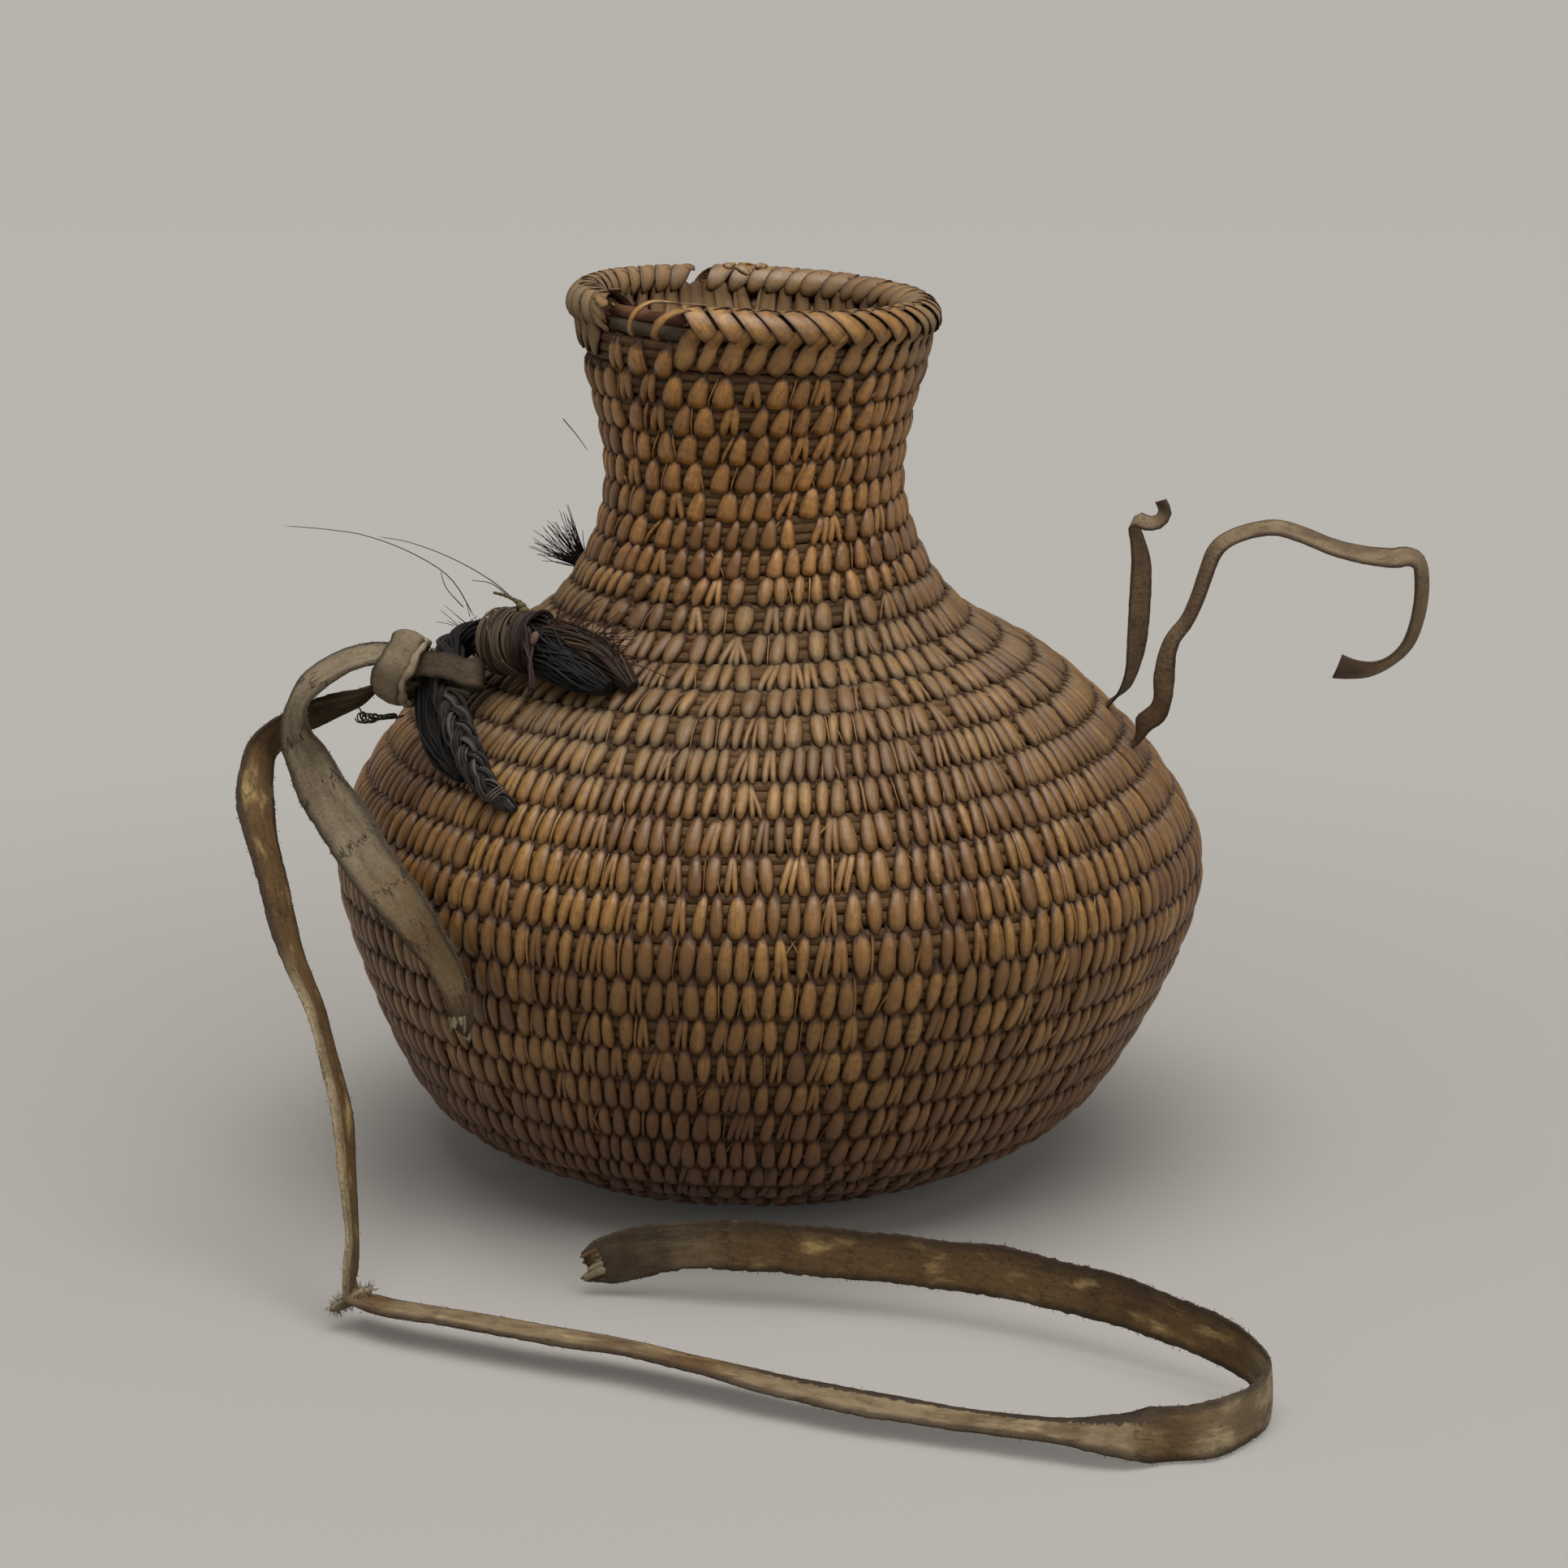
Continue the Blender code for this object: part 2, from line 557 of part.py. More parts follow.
STRAP_LONG = (
    (-94.8, -48.0, 148.4, 0.00, 1.00, 0.00, KNOT_STRAP_WIDTH),
    (-104.2, -48.2, 147.6, 0.00, 0.96, -0.26, KNOT_STRAP_WIDTH),
    (-111.6, -47.6, 143.9, 0.00, 0.80, -0.60, 0.0100),
    (-120.8, -45.0, 139.8, 0.10, 0.62, -0.78, 0.0100),
    (-127.7, -43.6, 136.6, 0.10, 0.56, -0.82, 0.0105),
    (-133.2, -44.6, 133.2, 0.30, 0.62, -0.70, 0.0115),
    (-137.4, -48.0, 129.4, 0.50, 0.76, -0.30, 0.0125),
    (-138.9, -54.0, 123.6, 0.58, 0.80, 0.00, 0.0125),
    (-138.4, -60.4, 117.0, 0.56, 0.82, 0.10, 0.0125),
    (-136.4, -66.0, 109.8, 0.63, 0.71, -0.33, 0.0125),
    (-133.6, -71.8, 101.5, 0.57, 0.75, -0.32, 0.0125),
    (-130.5, -78.1, 92.1, 0.54, 0.77, -0.35, 0.0125),
    (-127.3, -84.3, 83.9, 0.48, 0.78, -0.41, 0.0125),
    (-124.0, -89.6, 77.9, 0.45, 0.79, -0.42, 0.0125),
    (-120.4, -94.6, 72.0, 0.40, 0.80, -0.45, 0.0125),
    (-117.1, -100.9, 64.2, 0.34, 0.78, -0.53, 0.0125),
    (-114.2, -107.6, 56.8, 0.37, 0.75, -0.55, 0.0125),
    (-111.6, -114.3, 49.4, 0.40, 0.74, -0.54, 0.0125),
    (-109.9, -121.2, 41.3, 0.31, 0.76, -0.57, 0.0125),
    (-108.9, -126.9, 34.0, 0.26, 0.78, -0.57, 0.0120),
    (-107.8, -132.8, 26.3, 0.23, 0.77, -0.59, 0.0115),
    (-107.0, -138.5, 19.5, 0.19, 0.75, -0.64, 0.0110),
    (-107.2, -143.8, 13.5, 0.20, 0.94, -0.29, 0.0110),
    (-106.7, -142.0, 8.4, 0.19, 0.97, -0.15, 0.0110),
    (-102.8, -145.5, 8.0, 0.61, 0.78, -0.10, 0.0110),
    (-97.7, -149.1, 7.9, 0.55, 0.83, -0.07, 0.0115),
    (-91.2, -153.1, 8.2, 0.48, 0.87, -0.05, 0.0120),
    (-82.2, -157.6, 8.5, 0.43, 0.90, -0.06, 0.0125),
    (-70.2, -163.0, 8.6, 0.41, 0.91, -0.07, 0.0125),
    (-58.2, -168.5, 8.5, 0.39, 0.92, -0.07, 0.0125),
    (-46.6, -172.9, 8.3, 0.37, 0.92, -0.09, STRAP_WIDTH),
    (-35.1, -177.9, 8.2, 0.42, 0.90, -0.13, STRAP_WIDTH),
    (-25.3, -182.8, 7.9, 0.45, 0.88, -0.16, STRAP_WIDTH),
    (-12.9, -189.5, 7.5, 0.49, 0.86, -0.14, STRAP_WIDTH),
    (-0.5, -196.9, 7.0, 0.49, 0.87, -0.06, STRAP_WIDTH),
    (11.6, -203.2, 6.6, 0.43, 0.90, 0.01, STRAP_WIDTH),
    (23.6, -208.3, 6.3, 0.38, 0.93, 0.02, STRAP_WIDTH),
    (35.4, -212.9, 6.0, 0.35, 0.94, 0.02, STRAP_WIDTH),
    (47.1, -217.1, 5.7, 0.33, 0.94, -0.01, STRAP_WIDTH),
    (57.2, -220.6, 5.8, 0.34, 0.94, 0.00, STRAP_WIDTH),
    (67.3, -224.5, 6.3, 0.36, 0.93, 0.05, STRAP_WIDTH),
    (75.9, -227.9, 6.8, 0.28, 0.93, 0.24, STRAP_WIDTH),
    (84.8, -229.9, 7.0, 0.10, 0.84, 0.53, STRAP_WIDTH),
    (94.6, -230.4, 7.2, -0.04, 0.22, 0.97, STRAP_WIDTH),
    (104.6, -227.6, 7.3, -0.19, 0.37, 0.91, STRAP_WIDTH),
    (113.4, -221.2, 7.4, -0.13, 0.11, 0.98, STRAP_WIDTH),
    (119.6, -212.0, 7.6, -0.12, 0.01, 0.99, STRAP_WIDTH),
    (122.1, -202.6, 8.2, -0.06, -0.06, 1.00, STRAP_WIDTH),
    (120.6, -197.5, 10.3, -0.06, -0.08, 1.00, STRAP_WIDTH),
    (116.5, -191.4, 12.0, -0.04, -0.10, 1.00, STRAP_WIDTH),
    (108.7, -185.0, 14.4, 0.10, -0.14, 0.99, STRAP_WIDTH),
    (98.9, -176.5, 15.8, 0.06, -0.03, 1.00, STRAP_WIDTH),
    (85.5, -165.6, 16.4, 0.06, 0.05, 1.00, STRAP_WIDTH),
    (71.4, -155.1, 16.5, 0.07, 0.11, 0.99, STRAP_WIDTH),
    (57.3, -147.1, 16.5, 0.06, 0.12, 0.99, STRAP_WIDTH),
    (42.6, -140.9, 16.4, 0.02, 0.08, 1.00, STRAP_WIDTH),
    (27.8, -136.3, 16.3, 0.02, 0.09, 1.00, STRAP_WIDTH),
    (10.4, -131.9, 16.4, 0.03, 0.09, 1.00, STRAP_WIDTH),
    (-1.9, -129.3, 16.6, 0.02, 0.10, 0.99, STRAP_WIDTH),
    (-13.4, -127.9, 16.5, -0.05, 0.11, 0.99, STRAP_WIDTH),
    (-25.1, -125.6, 15.0, -0.17, 0.06, 0.98, STRAP_WIDTH),
    (-34.6, -122.8, 12.6, -0.26, 0.11, 0.96, STRAP_WIDTH),
    (-43.0, -121.6, 9.6, -0.35, 0.06, 0.94, 0.0128),
    (-47.4, -121.8, 7.8, -0.36, -0.24, 0.90, 0.0100),
)
THONG_SHORT = (
    (98.9, -9.8, 137.4, 0.50, 0.80, 0.00, THONG_WIDTH),
    (101.2, -11.0, 144.3, 0.70, 0.70, 0.00, THONG_WIDTH),
    (102.4, -12.0, 153.8, 0.95, 0.30, 0.00, THONG_WIDTH),
    (102.8, -12.0, 164.7, 1.00, 0.10, 0.00, THONG_WIDTH),
    (102.8, -12.0, 173.9, 0.90, 0.40, 0.00, THONG_WIDTH),
    (101.6, -12.0, 180.4, 0.70, 0.70, 0.10, 0.0056),
    (100.4, -12.4, 184.6, 0.50, 0.80, 0.30, 0.0052),
    (101.4, -13.6, 186.6, 0.10, 0.86, 0.50, 0.0050),
    (104.2, -16.0, 186.0, 0.00, 0.80, 0.60, 0.0050),
    (107.2, -17.6, 186.8, -0.30, 0.76, 0.50, 0.0050),
    (108.6, -18.0, 189.6, -0.60, 0.70, 0.20, 0.0050),
    (107.4, -18.0, 192.4, -0.60, 0.70, -0.20, 0.0046),
)
THONG_LONG = (
    (103.2, -24.0, 130.6, -0.40, 0.20, 0.88, 0.0058),
    (106.9, -26.6, 134.4, -0.60, 0.40, 0.70, 0.0060),
    (108.2, -28.0, 138.8, -0.80, 0.60, 0.20, 0.0058),
    (108.5, -28.2, 144.5, -0.90, 0.40, 0.00, THONG_WIDTH),
    (109.2, -28.0, 151.2, -0.80, 0.60, 0.10, 0.0056),
    (110.9, -28.0, 156.2, -0.60, 0.70, 0.30, 0.0052),
    (114.0, -28.0, 160.4, -0.40, 0.80, 0.40, 0.0054),
    (116.7, -28.2, 166.4, -0.50, 0.80, 0.20, 0.0056),
    (118.9, -29.0, 173.6, -0.60, 0.78, 0.10, 0.0056),
    (121.2, -30.0, 180.4, -0.60, 0.74, 0.30, 0.0054),
    (125.0, -31.0, 184.4, -0.40, 0.76, 0.50, 0.0052),
    (131.6, -32.0, 187.1, -0.20, 0.80, 0.56, 0.0054),
    (138.3, -33.0, 188.0, 0.00, 0.80, 0.60, 0.0058),
    (145.3, -34.0, 186.1, 0.20, 0.78, 0.60, 0.0060),
    (153.3, -34.0, 182.8, 0.20, 0.74, 0.64, 0.0058),
    (161.1, -34.0, 180.8, 0.10, 0.70, 0.70, 0.0060),
    (169.3, -33.0, 179.6, 0.00, 0.66, 0.74, THONG_WIDTH),
    (174.2, -32.0, 179.9, 0.20, 0.76, 0.60, THONG_WIDTH),
    (177.8, -30.2, 177.2, 0.60, 0.76, 0.20, THONG_WIDTH),
    (178.9, -28.6, 169.8, 0.74, 0.66, 0.00, 0.0060),
    (178.1, -27.4, 160.8, 0.76, 0.64, 0.10, 0.0058),
    (175.6, -27.4, 153.8, 0.60, 0.70, -0.40, 0.0056),
    (171.0, -28.0, 149.3, 0.30, 0.70, -0.60, 0.0056),
    (165.6, -29.0, 147.2, 0.10, 0.60, -0.80, 0.0060),
    (160.1, -30.0, 147.5, 0.00, 0.40, -0.92, 0.0066),
    (156.1, -31.0, 148.6, 0.00, 0.20, -0.98, 0.0074),
)


def make_lug(hair, fibre, twine):
    """The horsehair lug: a rope bound to itself, its two ends sewn into the shoulder."""
    start = Vector(LUG_AXIS_START)
    end = Vector(LUG_AXIS_END)
    along = (end - start).normalized()
    side = (Vector((0.0, 0.0, 1.0)) - along * along.z).normalized()
    other = along.cross(side)
    core = ROPE_RADIUS_IN_WRAP
    straight = [(*(start + along * step), core) for step in (0.0, LASHING_WIDTH, LASHING_WIDTH + WRAP_LENGTH)]
    tube("lug_hair_rope", straight + metres(HAIR_ROPE_TAIL), hair)
    tube("lug_braid_leg", metres(BRAID_LEG), hair)
    tube("lug_hair_bundle_upper", metres(UPPER_BUNDLE), hair)
    tube("lug_hair_bundle_lower", metres(LOWER_BUNDLE), hair)
    tube("lashing_twig", metres(LASHING_TWIG), twine, sides=6)

    lashing_radius = core + FIT + LASHING_THICKNESS
    middle = start + along * (LASHING_WIDTH / 2)
    half = LASHING_WIDTH / 2 - FIT
    band("lug_lashing", middle, along, half, lashing_radius, lashing_radius, LASHING_THICKNESS, twine)

    pitch = (WRAP_LENGTH - 2 * WRAP_FIBRE_RADIUS - 2 * FIT) / WRAP_TURNS
    winding_radius = core + WRAP_FIBRE_RADIUS + FIT
    steps = WRAP_TURNS * WRAP_POINTS_PER_TURN
    first = start + along * (LASHING_WIDTH + WRAP_FIBRE_RADIUS + FIT)
    helix = []
    for i in range(steps + 1):
        turn = 2 * math.pi * i / WRAP_POINTS_PER_TURN
        place = first + along * (pitch * i / WRAP_POINTS_PER_TURN)
        helix.append(place + (side * math.cos(turn) + other * math.sin(turn)) * winding_radius)
    print(f"wrap: least gap between turns {1000 * (pitch - 2 * WRAP_FIBRE_RADIUS):.2f} mm")
    curve = bpy.data.curves.new("lug_fibre_wrap", "CURVE")
    curve.dimensions = "3D"
    curve.bevel_depth = WRAP_FIBRE_RADIUS
    curve.bevel_resolution = 1
    curve.use_fill_caps = True
    spline = curve.splines.new("POLY")
    spline.points.add(len(helix) - 1)
    for point, place in zip(spline.points, helix):
        point.co = (*place, 1.0)
    curve.materials.append(fibre)
    wrap = bpy.data.objects.new("lug_fibre_wrap", curve)
    bpy.context.scene.collection.objects.link(wrap)


def make_strap(hide):
    """The hide strap: knotted through the lug, with a short tail and a long run down to the floor."""
    axis = (1.0, 0.0, 0.0)
    half = KNOT_LENGTH / 2
    band("strap_knot_collar", KNOT_CENTRE, axis, half, KNOT_HALF_DEPTH, KNOT_HALF_HEIGHT, HIDE_TURN_THICKNESS, hide)
    rope_way = Vector(metres(BRAID_LEG)[1][:3]) - Vector(metres(HAIR_ROPE_TAIL)[-2][:3])
    band(
        "strap_knot_band",
        BAND_CENTRE,
        rope_way,
        BAND_LENGTH / 2,
        BAND_HALF_DEPTH,
        BAND_HALF_WIDTH,
        HIDE_TURN_THICKNESS,
        hide,
    )
    ribbon("strap_tail", metres(STRAP_TAIL), STRAP_THICKNESS, hide)
    ribbon("strap_long", metres(STRAP_LONG), STRAP_THICKNESS, hide)


def make_thong(coil, courses, lining, hide):
    """The thin thong that runs in at one hole and out at the other, with its two loose ends."""
    frames = []
    for index, (course, azimuth) in enumerate(zip(THONG_HOLE_TURNS, THONG_HOLE_AZIMUTHS)):
        centre, outward = hole_frame(coil, course, azimuth)
        cut_hole(f"hole_cutter_{index + 1}", centre, outward, azimuth, [courses[course], lining])
        frames.append((centre, outward, azimuth))
    ends = (("thong_short_end", THONG_SHORT), ("thong_long_end", THONG_LONG))
    for (centre, outward, azimuth), (name, rows) in zip(frames, ends):
        turn = math.radians(azimuth)
        across = (math.cos(turn), math.sin(turn), 0.0, THONG_WIDTH)
        start = [(*(centre + outward * GAP / 2), *across), (*(centre + outward * COURSE_THICKNESS * 0.6), *across)]
        ribbon(name, start + metres(rows), THONG_THICKNESS, hide)
    (first, first_out, azimuth_a), (second, second_out, azimuth_b) = frames
    depth = COURSE_THICKNESS / 2 + LINING_CLEARANCE + LINING_THICKNESS + THONG_THICKNESS * 2
    rows = []
    for centre, outward, azimuth, reach in (
        (first, first_out, azimuth_a, GAP),
        (first, first_out, azimuth_a, depth * 0.75),
        (first, first_out, azimuth_a, depth * 1.15),
        (second, second_out, azimuth_b, depth * 1.15),
        (second, second_out, azimuth_b, depth * 0.75),
        (second, second_out, azimuth_b, GAP),
    ):
        turn = math.radians(azimuth)
        place = centre - outward * reach
        rows.append((*place, math.cos(turn), math.sin(turn), 0.0, THONG_WIDTH))
    ribbon("thong_inner_loop", rows, THONG_THICKNESS, hide, per_span=3)


def make_tuft(hair):
    """The stub of a second lug behind the neck: a pinch of hair with its bristles standing out."""
    root = Vector(TUFT_ROOT)
    along = (Vector(TUFT_AIM) - root).normalized()
    side = along.orthogonal().normalized()
    other = along.cross(side)
    tip = root + along * TUFT_STUB_LENGTH
    stub = tube("rear_lug_tuft", [(*root, TUFT_STUB_RADIUS), (*tip, TUFT_STUB_RADIUS * 0.8)], hair, sides=8)
    maker = bmesh.new()
    golden = math.pi * (3 - math.sqrt(5))
    for k in range(TUFT_STRANDS):
        spread = math.sqrt((k + 0.5) / TUFT_STRANDS)
        turn = golden * k
        out = side * math.cos(turn) + other * math.sin(turn)
        foot = root + along * TUFT_STUB_LENGTH * 0.6 + out * spread * TUFT_STUB_RADIUS * 0.65
        length = TUFT_STRAND_LENGTH * (0.75 + 0.25 * math.cos(3 * turn))
        head = foot + along * length + out * spread * length * 0.45
        ends = []
        for place, radius in ((foot, TUFT_STRAND_RADIUS), (head, TUFT_STRAND_RADIUS * 0.6)):
            turns = [2 * math.pi * i / 3 for i in range(3)]
            ends.append([maker.verts.new(place + (side * math.cos(t) + other * math.sin(t)) * radius) for t in turns])
        near, far = ends
        maker.faces.new(near)
        maker.faces.new(far)
        for i in range(3):
            j = (i + 1) % 3
            maker.faces.new((near[i], near[j], far[j], far[i]))
    strands = add_object("tuft_strands", maker, hair)
    strands.hide_render = True
    strands.display_type = "WIRE"
    union = stub.modifiers.new("strands", "BOOLEAN")
    union.operation = "UNION"
    union.solver = "EXACT"
    union.object = strands


def main():
    """Builds every piece."""
    clear_scene()
    splint = material("splint_golden_brown", (0.26, 0.127, 0.038), 0.55)
    bare_rod = material("rod_red_brown", (0.16, 0.068, 0.030), 0.60)
    pitch = material("pine_pitch", (0.10, 0.050, 0.018), 0.35)
    hair = material("horsehair", (0.021, 0.019, 0.019), 0.45)
    fibre = material("wrap_fibre", (0.091, 0.071, 0.048), 0.80)
    twine = material("lashing_twine", (0.045, 0.034, 0.030), 0.80)
    strap_hide = material("strap_hide", (0.188, 0.150, 0.091), 0.75)
    thong_hide = material("thong_hide", (0.120, 0.082, 0.050), 0.70)

    wall = WallLine()
    coil = Coil(wall)
    make_start_disc(coil, splint)
    courses = make_courses(coil, splint)
    make_rim(splint, bare_rod)
    lining = make_lining(wall, pitch)
    make_lug(hair, fibre, twine)
    make_strap(strap_hide)
    make_thong(coil, courses, lining, thong_hide)
    make_tuft(hair)


main()
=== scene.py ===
"""Dresses the frame of a pitched basket water jar: splints sewn over rods, horsehair, hide and pitch.

Metres, +Z up, the front at -Y. Azimuth 0 is the front and 90 is +X, as in the part.
"""

import sys

import logging
import math
from collections.abc import Sequence
from dataclasses import dataclass, field
from enum import Enum

import bmesh
import bpy
import numpy as np
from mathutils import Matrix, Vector, noise

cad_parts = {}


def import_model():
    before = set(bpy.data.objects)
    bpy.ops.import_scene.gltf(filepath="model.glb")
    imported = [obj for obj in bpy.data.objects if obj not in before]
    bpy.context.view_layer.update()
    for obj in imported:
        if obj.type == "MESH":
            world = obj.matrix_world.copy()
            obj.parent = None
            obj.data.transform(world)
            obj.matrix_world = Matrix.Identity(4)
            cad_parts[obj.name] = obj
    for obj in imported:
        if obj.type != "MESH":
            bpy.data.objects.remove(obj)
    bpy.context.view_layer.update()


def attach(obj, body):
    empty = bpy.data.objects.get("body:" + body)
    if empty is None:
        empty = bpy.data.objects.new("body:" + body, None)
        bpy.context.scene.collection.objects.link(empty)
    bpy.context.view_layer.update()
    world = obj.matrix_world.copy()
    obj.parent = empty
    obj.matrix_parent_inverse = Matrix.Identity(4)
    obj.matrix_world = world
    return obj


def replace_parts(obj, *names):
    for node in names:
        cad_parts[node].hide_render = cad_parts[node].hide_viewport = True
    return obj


LOG = logging.getLogger("jar")
BODY = "root"
Array = np.ndarray
Colour = tuple[float, float, float, float]
Spans = tuple[tuple[float, float, float], ...]
Table = tuple[tuple[float, ...], ...]


def srgb(red: int, green: int, blue: int) -> Colour:
    """Turns a colour as it is seen on a screen, 0 to 255, into the renderer's own numbers.

    Args:
        red, green, blue: the seen colour's parts.

    Returns:
        The linear colour with full cover.
    """
    parts = []
    for part in (red, green, blue):
        share = part / 255
        parts.append(share / 12.92 if share <= 0.04045 else ((share + 0.055) / 1.055) ** 2.4)
    return (parts[0], parts[1], parts[2], 1.0)


# Shading


class Wire:
    """A value that flows out of a node. Python's operators on it add Math nodes."""

    def __init__(self, board: "Board", socket: bpy.types.NodeSocket) -> None:
        """Keeps the socket and the board it is on."""
        self.board = board
        self.socket = socket

    def _math(self, operation: str, first: "Wire | float", second: "Wire | float") -> "Wire":
        """Adds one Math node."""
        return self.board.node("ShaderNodeMath", {"operation": operation}, {0: first, 1: second})

    def __add__(self, other: "Wire | float") -> "Wire":
        """self + other."""
        return self._math("ADD", self, other)

    def __radd__(self, other: float) -> "Wire":
        """other + self."""
        return self._math("ADD", other, self)

    def __sub__(self, other: "Wire | float") -> "Wire":
        """self - other."""
        return self._math("SUBTRACT", self, other)

    def __rsub__(self, other: float) -> "Wire":
        """other - self."""
        return self._math("SUBTRACT", other, self)

    def __mul__(self, other: "Wire | float") -> "Wire":
        """self * other."""
        return self._math("MULTIPLY", self, other)

    def __rmul__(self, other: float) -> "Wire":
        """other * self."""
        return self._math("MULTIPLY", other, self)

    def __pow__(self, other: "Wire | float") -> "Wire":
        """self ** other."""
        return self._math("POWER", self, other)


class Board:
    """The nodes of one material."""

    def __init__(self, name: str) -> None:
        """Makes the material with its one shader."""
        self.material = bpy.data.materials.new(name)
        self.material.use_nodes = True
        self.tree = self.material.node_tree
        self.shader = self.tree.nodes["Principled BSDF"]

    def _plug(self, sockets: bpy.types.bpy_prop_collection, inputs: dict[int | str, object]) -> None:
        """Gives sockets their wires or values."""
        for key, value in inputs.items():
            if isinstance(value, Wire):
                self.tree.links.new(value.socket, sockets[key])
            else:
                sockets[key].default_value = value

    def node(
        self,
        kind: str,
        settings: dict[str, object] | None = None,
        inputs: dict[int | str, object] | None = None,
        output: int | str = 0,
    ) -> Wire:
        """Adds a node of any type.

        Args:
            kind: the node's type.
            settings: its own settings, set first.
            inputs: values or wires for its sockets.
            output: which of its outputs to return.

        Returns:
            The wire out of the node.
        """
        made = self.tree.nodes.new(kind)
        for key, value in (settings or {}).items():
            setattr(made, key, value)
        self._plug(made.inputs, inputs or {})
        return Wire(self, made.outputs[output])

    def feed(self, inputs: dict[int | str, object]) -> bpy.types.Material:
        """Feeds the shader's sockets with values or wires and returns the finished material."""
        self._plug(self.shader.inputs, inputs)
        return self.material

    def dress(
        self, colour: Wire, rough: Wire | float, bump: Wire, specular: float = 0.5
    ) -> bpy.types.Material:
        """Feeds a plain surface's colour, roughness and normal, and returns the finished material."""
        looks = {"Base Color": colour, "Roughness": rough, "Specular IOR Level": specular, "Normal": bump}
        return self.feed(looks)

    def place(self) -> Wire:
        """The surface's place on the object."""
        return self.node("ShaderNodeTexCoord", output="Object")

    def part(self, vector: Wire, axis: str) -> Wire:
        """One part, X, Y or Z, of a vector."""
        return self.node("ShaderNodeSeparateXYZ", None, {0: vector}, output=axis)

    def mark(self, name: str, axis: str) -> Wire:
        """One part, X, Y or Z, of a vector kept on the mesh."""
        return self.part(self.node("ShaderNodeAttribute", {"attribute_name": name}, output="Vector"), axis)

    def length(self, vector: Wire) -> Wire:
        """How long a vector is."""
        return self.node("ShaderNodeVectorMath", {"operation": "LENGTH"}, {0: vector}, output="Value")

    def stretched(self, vector: Wire, x: float, y: float, z: float) -> Wire:
        """A vector times a different number along each axis."""
        return self.node("ShaderNodeVectorMath", {"operation": "MULTIPLY"}, {0: vector, 1: (x, y, z)})

    def cloud(self, vector: Wire, scale: float, detail: float = 2.0, rough: float = 0.5) -> Wire:
        """Soft noise from 0 to 1.

        Args:
            vector: where on the surface.
            scale: how fine it is.
            detail: how many finer layers it has.
            rough: how strong these are.

        Returns:
            The noise.
        """
        sizes = {"Vector": vector, "Scale": scale, "Detail": detail, "Roughness": rough}
        return self.node("ShaderNodeTexNoise", None, sizes, output="Fac")

    def streaks(
        self, across: float, along: float, detail: float = 4.0, rough: float = 0.65, scale: float = 1.0
    ) -> Wire:
        """Noise drawn out along a piece's own grain.

        Args:
            across: how fine it is across the grain, for each metre.
            along: how fine it is along the grain.
            detail: how many finer layers it has.
            rough: how strong these are.
            scale: a size for both ways at once.

        Returns:
            The noise, from 0 to 1.
        """
        grain = self.node("ShaderNodeAttribute", {"attribute_name": "grain"}, output="Vector")
        return self.cloud(self.stretched(grain, across, along, 1.0), scale, detail, rough)

    def ramp(self, value: Wire, low: float, high: float) -> Wire:
        """0 below low, 1 above high, smooth between; low may be the greater of the two."""
        ends = {"Value": value, "From Min": low, "From Max": high}
        return self.node("ShaderNodeMapRange", {"interpolation_type": "SMOOTHSTEP"}, ends)

    def mix(self, factor: Wire | float, first: Wire | Colour, second: Wire | Colour) -> Wire:
        """The first colour at 0 and the second at 1."""
        return self.node("ShaderNodeMix", {"data_type": "RGBA"}, {0: factor, 6: first, 7: second}, output=2)

    def layered(self, colour: Wire, layers: Sequence[tuple[Wire, Colour]]) -> Wire:
        """A colour with others laid over it in turn, each as strong as its own mask."""
        for mask, over in layers:
            colour = self.mix(mask, colour, over)
        return colour

    def bump(self, height: Wire, distance: float, strength: float = 0.9) -> Wire:
        """A normal that follows a height."""
        inputs = {"Height": height, "Distance": distance, "Strength": strength}
        return self.node("ShaderNodeBump", None, inputs)


